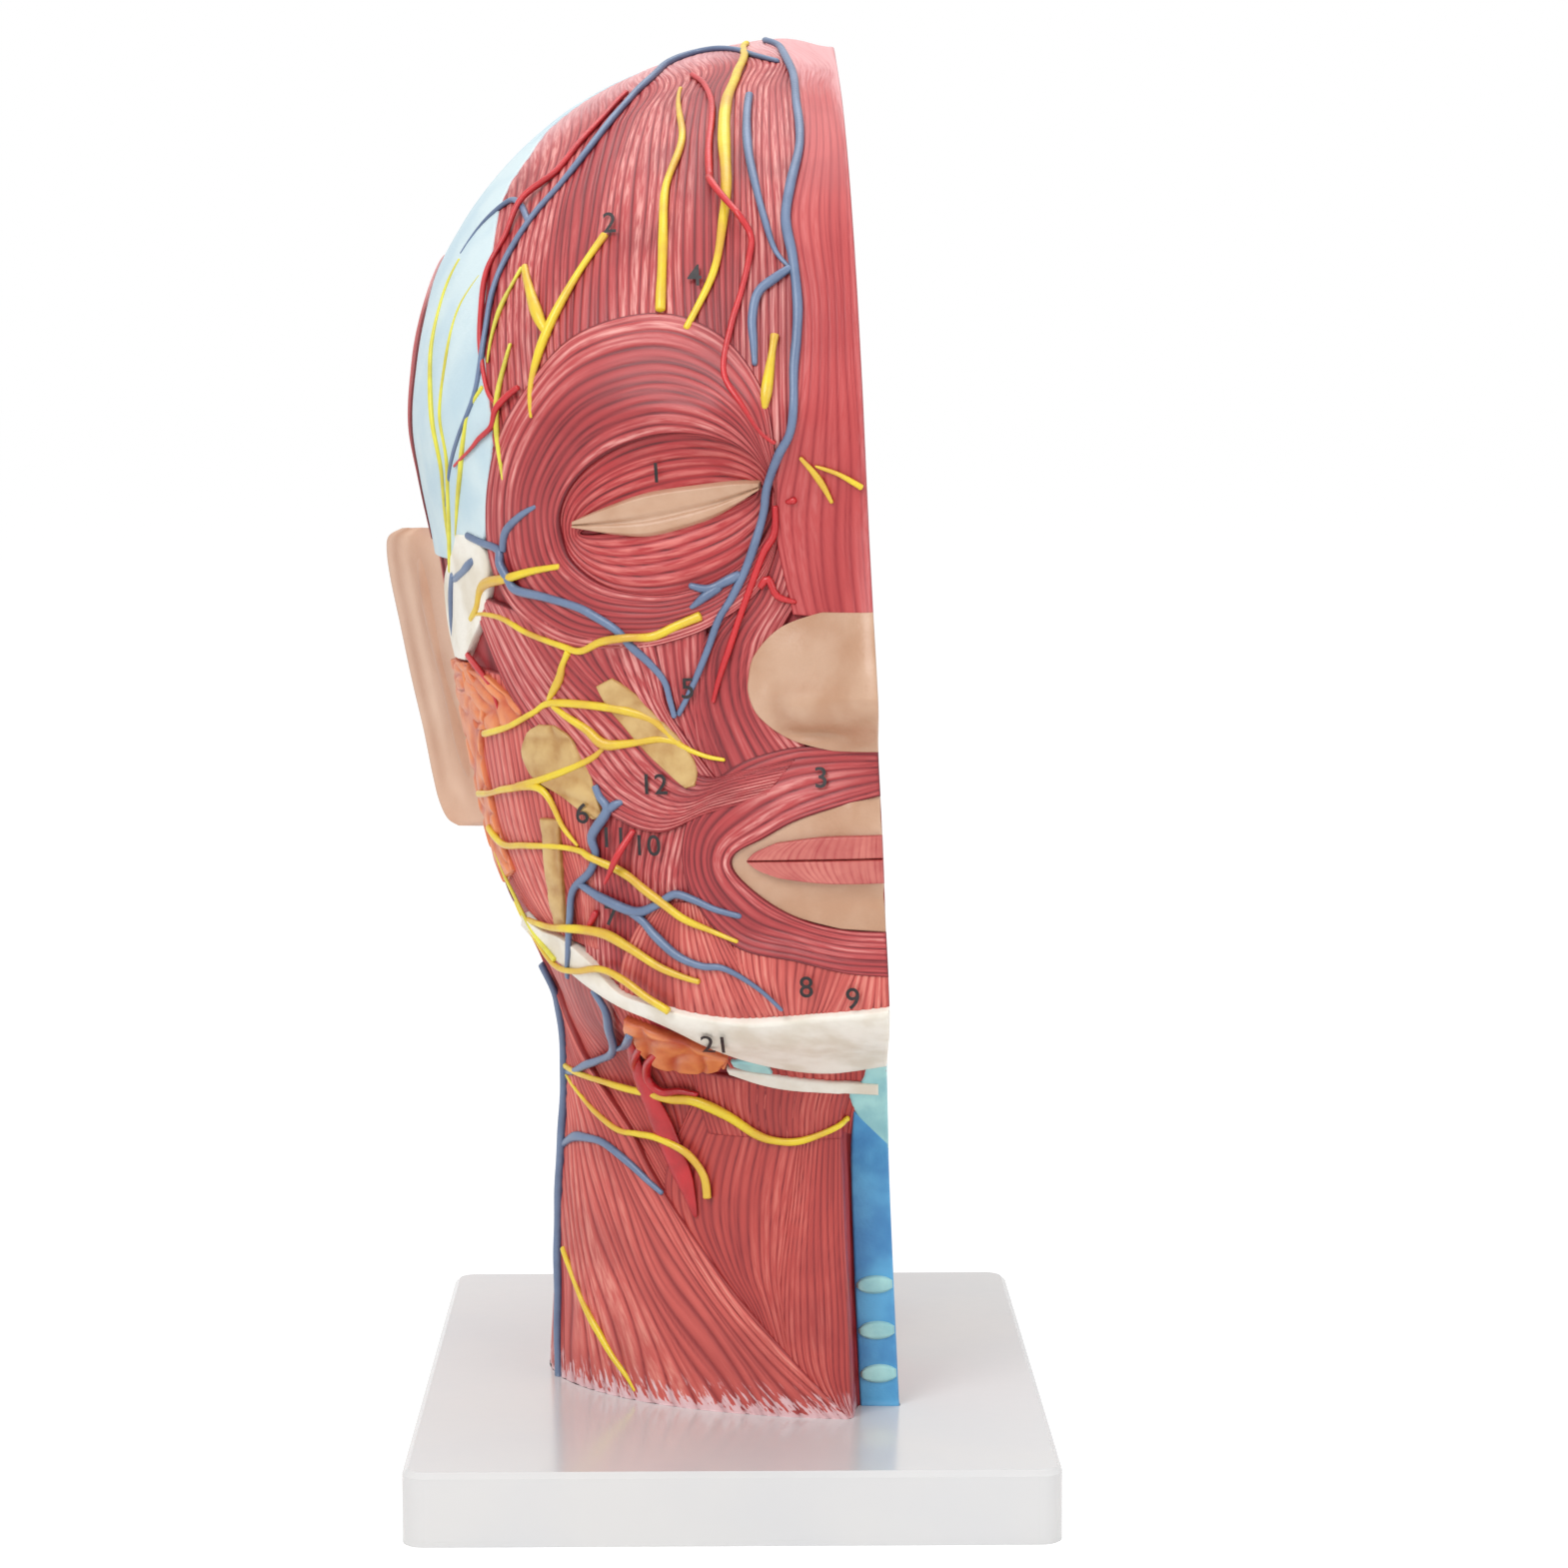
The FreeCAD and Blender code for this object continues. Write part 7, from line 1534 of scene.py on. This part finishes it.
for name, tables, size in (("forehead_veins", FOREHEAD_VEIN_SHARES, VEIN),
                           ("cheek_veins", CHEEK_VEIN_SHARES, VEIN),
                           ("temporal_veins", TEMPORAL_VEIN_SHARES, THIN_VEIN),
                           ("facial_veins", FACIAL_VEIN_SHARES, VEIN)):
    piece(name + "_round", strands(tables, size, VESSEL_WIDTHS), VEIN_PAINT, name)
piece("neck_veins_round", strands(NECK_VEIN_SHARES, VEIN, VESSEL_WIDTHS)
      + [strand(JUGULAR_TURN_SHARES, *VEIN, JUGULAR_WIDTHS, direct=True)],
      VEIN_PAINT, "neck_veins")

# %% Arteries
FOREHEAD_ARTERY_SHARES = [
    [(0.325, 2.975), (0.30, 2.95), (0.285, 2.91), (0.285, 2.86), (0.295, 2.785), (0.295, 2.735),
     (0.29, 2.705, 0.022), (0.25, 2.65, 0.022), (0.235, 2.63, 0.022), (0.215, 2.60), (0.22, 2.555),
     (0.24, 2.485), (0.265, 2.415), (0.285, 2.32),
     (0.25, 2.25), (0.215, 2.195), (0.185, 2.17)]]
TEMPORAL_ARTERY_SHARES = [
    [(0.47, 2.945), (0.52, 2.89), (0.575, 2.83), (0.63, 2.765), (0.70, 2.70, 0.012), (0.745, 2.63),
     (0.785, 2.56), (0.80, 2.47), (0.802, 2.38), (0.79, 2.30), (0.765, 2.265)],
    [(0.715, 2.305, 0.006), (0.74, 2.288, 0.006), (0.768, 2.26, 0.006), (0.78, 2.225, 0.006),
     (0.81, 2.20, 0.006), (0.835, 2.175, 0.006), (0.875, 2.14, 0.006)]]
FACE_ARTERY_SHARES = [
    [(0.19, 2.04), (0.195, 1.98), (0.22, 1.94), (0.25, 1.87), (0.275, 1.81), (0.30, 1.745), (0.325, 1.68),
     (0.34, 1.63)],
    [(0.145, 2.05), (0.17, 2.045)],
    [(0.232, 1.867), (0.212, 1.885), (0.195, 1.85), (0.155, 1.835)],
    [(0.52, 1.36), (0.542, 1.31, 0.026), (0.56, 1.272, 0.028), (0.575, 1.245, 0.026)],
    [(0.61, 1.18), (0.63, 1.14)],
    [(0.88, 1.72), (0.855, 1.695), (0.825, 1.655), (0.81, 1.60)]]
CAROTID_SHARES = [
    [(0.56, 0.87), (0.545, 0.78), (0.51, 0.69), (0.48, 0.61), (0.452, 0.53), (0.435, 0.45)]]
CAROTID_BRANCH_SHARES = [
    [(0.50, 0.845), (0.522, 0.81), (0.522, 0.765), (0.495, 0.738), (0.455, 0.742), (0.415, 0.735)],
    [(0.535, 0.86), (0.552, 0.81), (0.545, 0.76)]]

for name, tables in (("forehead_artery", FOREHEAD_ARTERY_SHARES),
                     ("temporal_arteries", TEMPORAL_ARTERY_SHARES),
                     ("face_arteries", FACE_ARTERY_SHARES)):
    piece(name + "_round", strands(tables, ARTERY, VESSEL_WIDTHS), ARTERY_PAINT, name)
piece("carotid_round",
      strands(CAROTID_SHARES, CAROTID, [CAROTID_WIDTHS])
      + strands(CAROTID_BRANCH_SHARES, CAROTID_BRANCH, VESSEL_WIDTHS),
      CAROTID_PAINT, "carotid_artery")

# %% [markdown]
# Small painted numbers mark the parts for the learner's key. Each figure is flat type laid over
# the form: its outline is filled, and every point is set down on the surface.

# %% Numbers
# Text, distance from the section face, height of the foot, and lift in millimetres
NUMBER_MARKS = [
    ("1", 0.435, 2.10, 0.9), ("2", 0.51, 2.618, 1.0), ("3", 0.12, 1.448, 1.3), ("4", 0.335, 2.498, 1.0),
    ("5", 0.39, 1.643, 1.0), ("6", 0.625, 1.373, 1.3), ("7", 0.575, 1.153, 1.0), ("8", 0.17, 1.013, 1.0),
    ("9", 0.075, 0.988, 1.0), ("10", 0.49, 1.308, 1.2), ("11", 0.56, 1.323, 1.2), ("12", 0.47, 1.438, 1.0),
    ("21", 0.365, 0.888, 2.2)]
NUMBER_HEIGHT = 6.2 * MM
NUMBER_BOLDNESS = 0.05 * MM


def figure(text, side, height, lift):
    """A number's filled outline, laid over the head at a place, with a lift in millimetres."""
    curve = bpy.data.curves.new("number", "FONT")
    curve.body = text
    curve.size = NUMBER_HEIGHT
    curve.align_x = "CENTER"
    curve.offset = NUMBER_BOLDNESS
    shape = bpy.data.objects.new("number", curve)
    mesh = bpy.data.meshes.new_from_object(shape)
    bpy.data.objects.remove(shape)
    flat = np.array([vertex.co[:2] for vertex in mesh.vertices])
    faces = [list(polygon.vertices) for polygon in mesh.polygons]
    places = np.stack([side - flat[:, 0] / HALF_BREADTH, height + flat[:, 1] / HALF_BREADTH], -1)
    turned = np.stack([turn_at(places[:, 0], places[:, 1]), places[:, 1]], -1)
    points = stood(over_head(turned, np.full(len(turned), lift * MM)))
    return points, faces


def numbers():
    """All the figures as one mesh."""
    points, faces, start = [], [], 0
    for mark in NUMBER_MARKS:
        found, filled = figure(*mark)
        points.append(found)
        faces += [[start + corner for corner in face] for face in filled]
        start += len(found)
    mesh = bpy.data.meshes.new("numbers")
    mesh.from_pydata(np.concatenate(points).tolist(), [], faces)
    mesh.materials.append(INK)
    made = bpy.data.objects.new("numbers", mesh)
    bpy.context.scene.collection.objects.link(made)
    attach(made, "root")
    print("numbers", len(mesh.polygons), "faces")


numbers()

# %% [markdown]
# The flat side of the head shows a cut through the middle. Each organ is a low relief on the
# panel. It is laid between the two long edges of its outline, and a random field gives the brain
# its windings: the furrows lie where the field crosses zero.

# %% Section face
CEREBRUM_SHARES = [
    (-0.57, 2.04), (-0.60, 2.28), (-0.50, 2.52), (-0.33, 2.70), (-0.10, 2.83), (0.20, 2.87), (0.50, 2.80),
    (0.76, 2.62), (0.92, 2.38), (0.96, 2.12), (0.86, 2.00), (0.62, 2.06), (0.40, 2.09), (0.10, 2.02),
    (-0.12, 1.97), (-0.36, 1.99)]
CALLOSUM_SHARES = [
    (-0.22, 2.17), (-0.20, 2.32), (-0.06, 2.44), (0.18, 2.49), (0.42, 2.44), (0.56, 2.32), (0.58, 2.22),
    (0.49, 2.21), (0.46, 2.30), (0.34, 2.37), (0.16, 2.40), (-0.02, 2.36), (-0.11, 2.27), (-0.14, 2.17)]
CEREBELLUM_SHARES = [
    (0.45, 1.72), (0.44, 1.92), (0.56, 2.00), (0.74, 1.97), (0.90, 1.88), (0.88, 1.70), (0.74, 1.58),
    (0.58, 1.58)]
CEREBRUM_SPLIT = 10
CALLOSUM_SPLIT = 7
CEREBELLUM_SPLIT = 4
EDGE_POINTS = 40
SECTION_FACE = -0.5 * MM
SECTION_BED = -2.0 * MM
BEND_REACH_SHARE = 1.6
BEND_SHARE = 0.3
BEND_SEED = 50
FOLD_REACH_SHARE = 1.7
FOLD_POWER = 1.4
LEAF_CENTRE_SHARE = 0.2


def windings(size, depth, seed, sharp):
    """Folds of a brain: round swellings with narrow furrows where a bent random field is near zero."""
    def relief(across, along):
        bend = wander(across, along, size * BEND_REACH_SHARE, seed + BEND_SEED) * size * BEND_SHARE
        field = wander(across + bend, along - bend, size * FOLD_REACH_SHARE, seed)
        ridge = 1 - np.exp(-(np.abs(field) / sharp) ** FOLD_POWER)
        return depth * (ridge - 1), ridge
    return relief


def leaves(pitch, depth):
    """Thin curved leaves of the small brain: arches on rings about a place near its front edge."""
    def relief(across, along):
        reach = np.hypot(across - across.max() * LEAF_CENTRE_SHARE, along - along.max() / 2)
        ridge = np.sqrt(np.clip(1 - (2 * (reach / pitch % 1) - 1) ** 2, 0, 1))
        return depth * (ridge - 1), ridge
    return relief


def halves(shares, split):
    """An outline's two edges, both from its first place to the one at split."""
    return shares[:split + 1], [shares[0]] + shares[:split - 1:-1]


def organ(shares, split, relief, step=0.6 * MM):
    """A low relief between the two edges of an outline on the section face."""
    first, last = (smooth_through(np.array(edge), np.linspace(0, 1, EDGE_POINTS))
                   for edge in halves(shares, split))
    return sheet([first, (first + last) / 2, last], relief, top=SECTION_FACE, under=SECTION_BED,
                 rim=0.9 * MM, lay=over_section, across_step=step, along_step=step)


piece("brain_folds",
      [organ(CEREBRUM_SHARES, CEREBRUM_SPLIT, windings(12 * MM, 1.3 * MM, 181, 0.42), 0.5 * MM)],
      BRAIN, "cerebrum")
piece("brain_arch", [organ(CALLOSUM_SHARES, CALLOSUM_SPLIT, calm(0.1 * MM, 182))],
      BRAIN_WHITE, "corpus_callosum")
piece("brain_leaves",
      [organ(CEREBELLUM_SHARES, CEREBELLUM_SPLIT, leaves(3.2 * MM, 1.0 * MM), 0.4 * MM)],
      BRAIN, "cerebellum")

# %% [markdown]
# The rest keeps the meshes that the part came with: the tray, its pads and screws, the block in
# the neck, the panel and the flat reliefs of bone, which need only their paint.

# %% Paint of the pieces that stay as they are
CARRIED_OVER = {
    "base_tray": TRAY, "rubber_feet": RUBBER, "base_screws": screw_steel(), "neck_block": block_wood(),
    "section_panel": PANEL, "skull_section": BONE, "brainstem_and_cord": BRAIN_WHITE,
    "nasal_conchae": LIP, "palate": BONE, "tongue": TONGUE_PAINT, "throat_section": LIP,
    "vertebrae": BONE, "spine_discs": DISC}

for name, material in CARRIED_OVER.items():
    node = bpy.data.objects[name]
    node.data.materials.clear()
    node.data.materials.append(material)
print("carried over:", len(CARRIED_OVER))

# %% [markdown]
# The camera stands a little above the head's middle and looks slightly down, with a long lens. The
# light is the soft plain light of a catalogue picture: a large lamp on each side and one above.

# %% Camera
CAMERA_PLACE = (-0.0021, -0.8748, 0.2538)
CAMERA_TURN = np.radians([90 - 6.64, 0.0, -0.94])
LENS_SHARE = 3843 / 1569
SENSOR = 36.0

camera = bpy.data.objects.new("camera", bpy.data.cameras.new("camera"))
camera.data.sensor_width = SENSOR
camera.data.lens = LENS_SHARE * SENSOR
camera.location = CAMERA_PLACE
camera.rotation_euler = CAMERA_TURN
bpy.context.scene.collection.objects.link(camera)
bpy.context.scene.camera = camera
print("lens:", round(camera.data.lens, 1), "mm")

# %% Light, floor and sky

# Name, place, size and power
LAMPS = [("key", (-0.75, -1.05, 1.20), 0.8, 13.5), ("fill", (1.10, -0.95, 0.70), 1.1, 6.5),
         ("top", (0.0, 0.30, 1.6), 1.0, 9.0)]
AIM = (0.0, 0.0, 0.16)
SKY_LIGHT = 0.50
FLOOR_HALF = 12.0
FLOOR_GLOW = 0.75
FLOOR_STRENGTH = 1.17
FLOOR_TINT = (252, 252, 252)
WHITE = (1, 1, 1, 1)


def lamp(name, place, size, power):
    """A square lamp that faces the head."""
    data = bpy.data.lights.new(name, "AREA")
    data.size = size
    data.energy = power
    made = bpy.data.objects.new(name, data)
    made.location = place
    made.rotation_euler = (Vector(AIM) - Vector(place)).to_track_quat("-Z", "Y").to_euler()
    bpy.context.scene.collection.objects.link(made)


def sky():
    """White for the eye and in reflections, and a weaker light on everything else."""
    paint = Paint(bpy.data.worlds.new("studio"))
    seen, glossy, clear = (paint.node("ShaderNodeLightPath", {}, {}, name)
                           for name in ("Is Camera Ray", "Is Glossy Ray", "Is Transmission Ray"))
    for other in (glossy, clear):
        seen = seen.maths("MAXIMUM", seen, other)
    dim, bright = (paint.node("ShaderNodeBackground", {}, {"Color": WHITE, "Strength": strength})
                   for strength in (SKY_LIGHT, 1.0))
    mixed = paint.node("ShaderNodeMixShader", {}, {0: seen, 1: dim, 2: bright})
    paint.node("ShaderNodeOutputWorld", {}, {"Surface": mixed})
    bpy.context.scene.world = paint.owner


def floor():
    """A pale floor that glows a little for the eye, so that only a soft shadow is left on it."""
    corners = [(x * FLOOR_HALF, y * FLOOR_HALF, 0) for x, y in ((-1, -1), (1, -1), (1, 1), (-1, 1))]
    mesh = bpy.data.meshes.new("floor")
    mesh.from_pydata(corners, [], [(0, 1, 2, 3)])
    made = bpy.data.objects.new("floor", mesh)
    bpy.context.scene.collection.objects.link(made)
    paint = Paint(bpy.data.materials.new("floor_white"))
    matt = paint.node("ShaderNodeBsdfDiffuse", {}, {"Color": tint(*FLOOR_TINT)})
    glow = paint.node("ShaderNodeEmission", {}, {"Color": WHITE, "Strength": FLOOR_STRENGTH})
    seen = paint.node("ShaderNodeLightPath", {}, {}, "Is Camera Ray")
    mixed = paint.node("ShaderNodeMixShader", {}, {0: seen * FLOOR_GLOW, 1: matt, 2: glow})
    paint.node("ShaderNodeOutputMaterial", {}, {"Surface": mixed})
    mesh.materials.append(paint.owner)


for values in LAMPS:
    lamp(*values)
sky()
floor()
bpy.context.scene.view_settings.view_transform = "Standard"
print("lamps:", len(LAMPS))
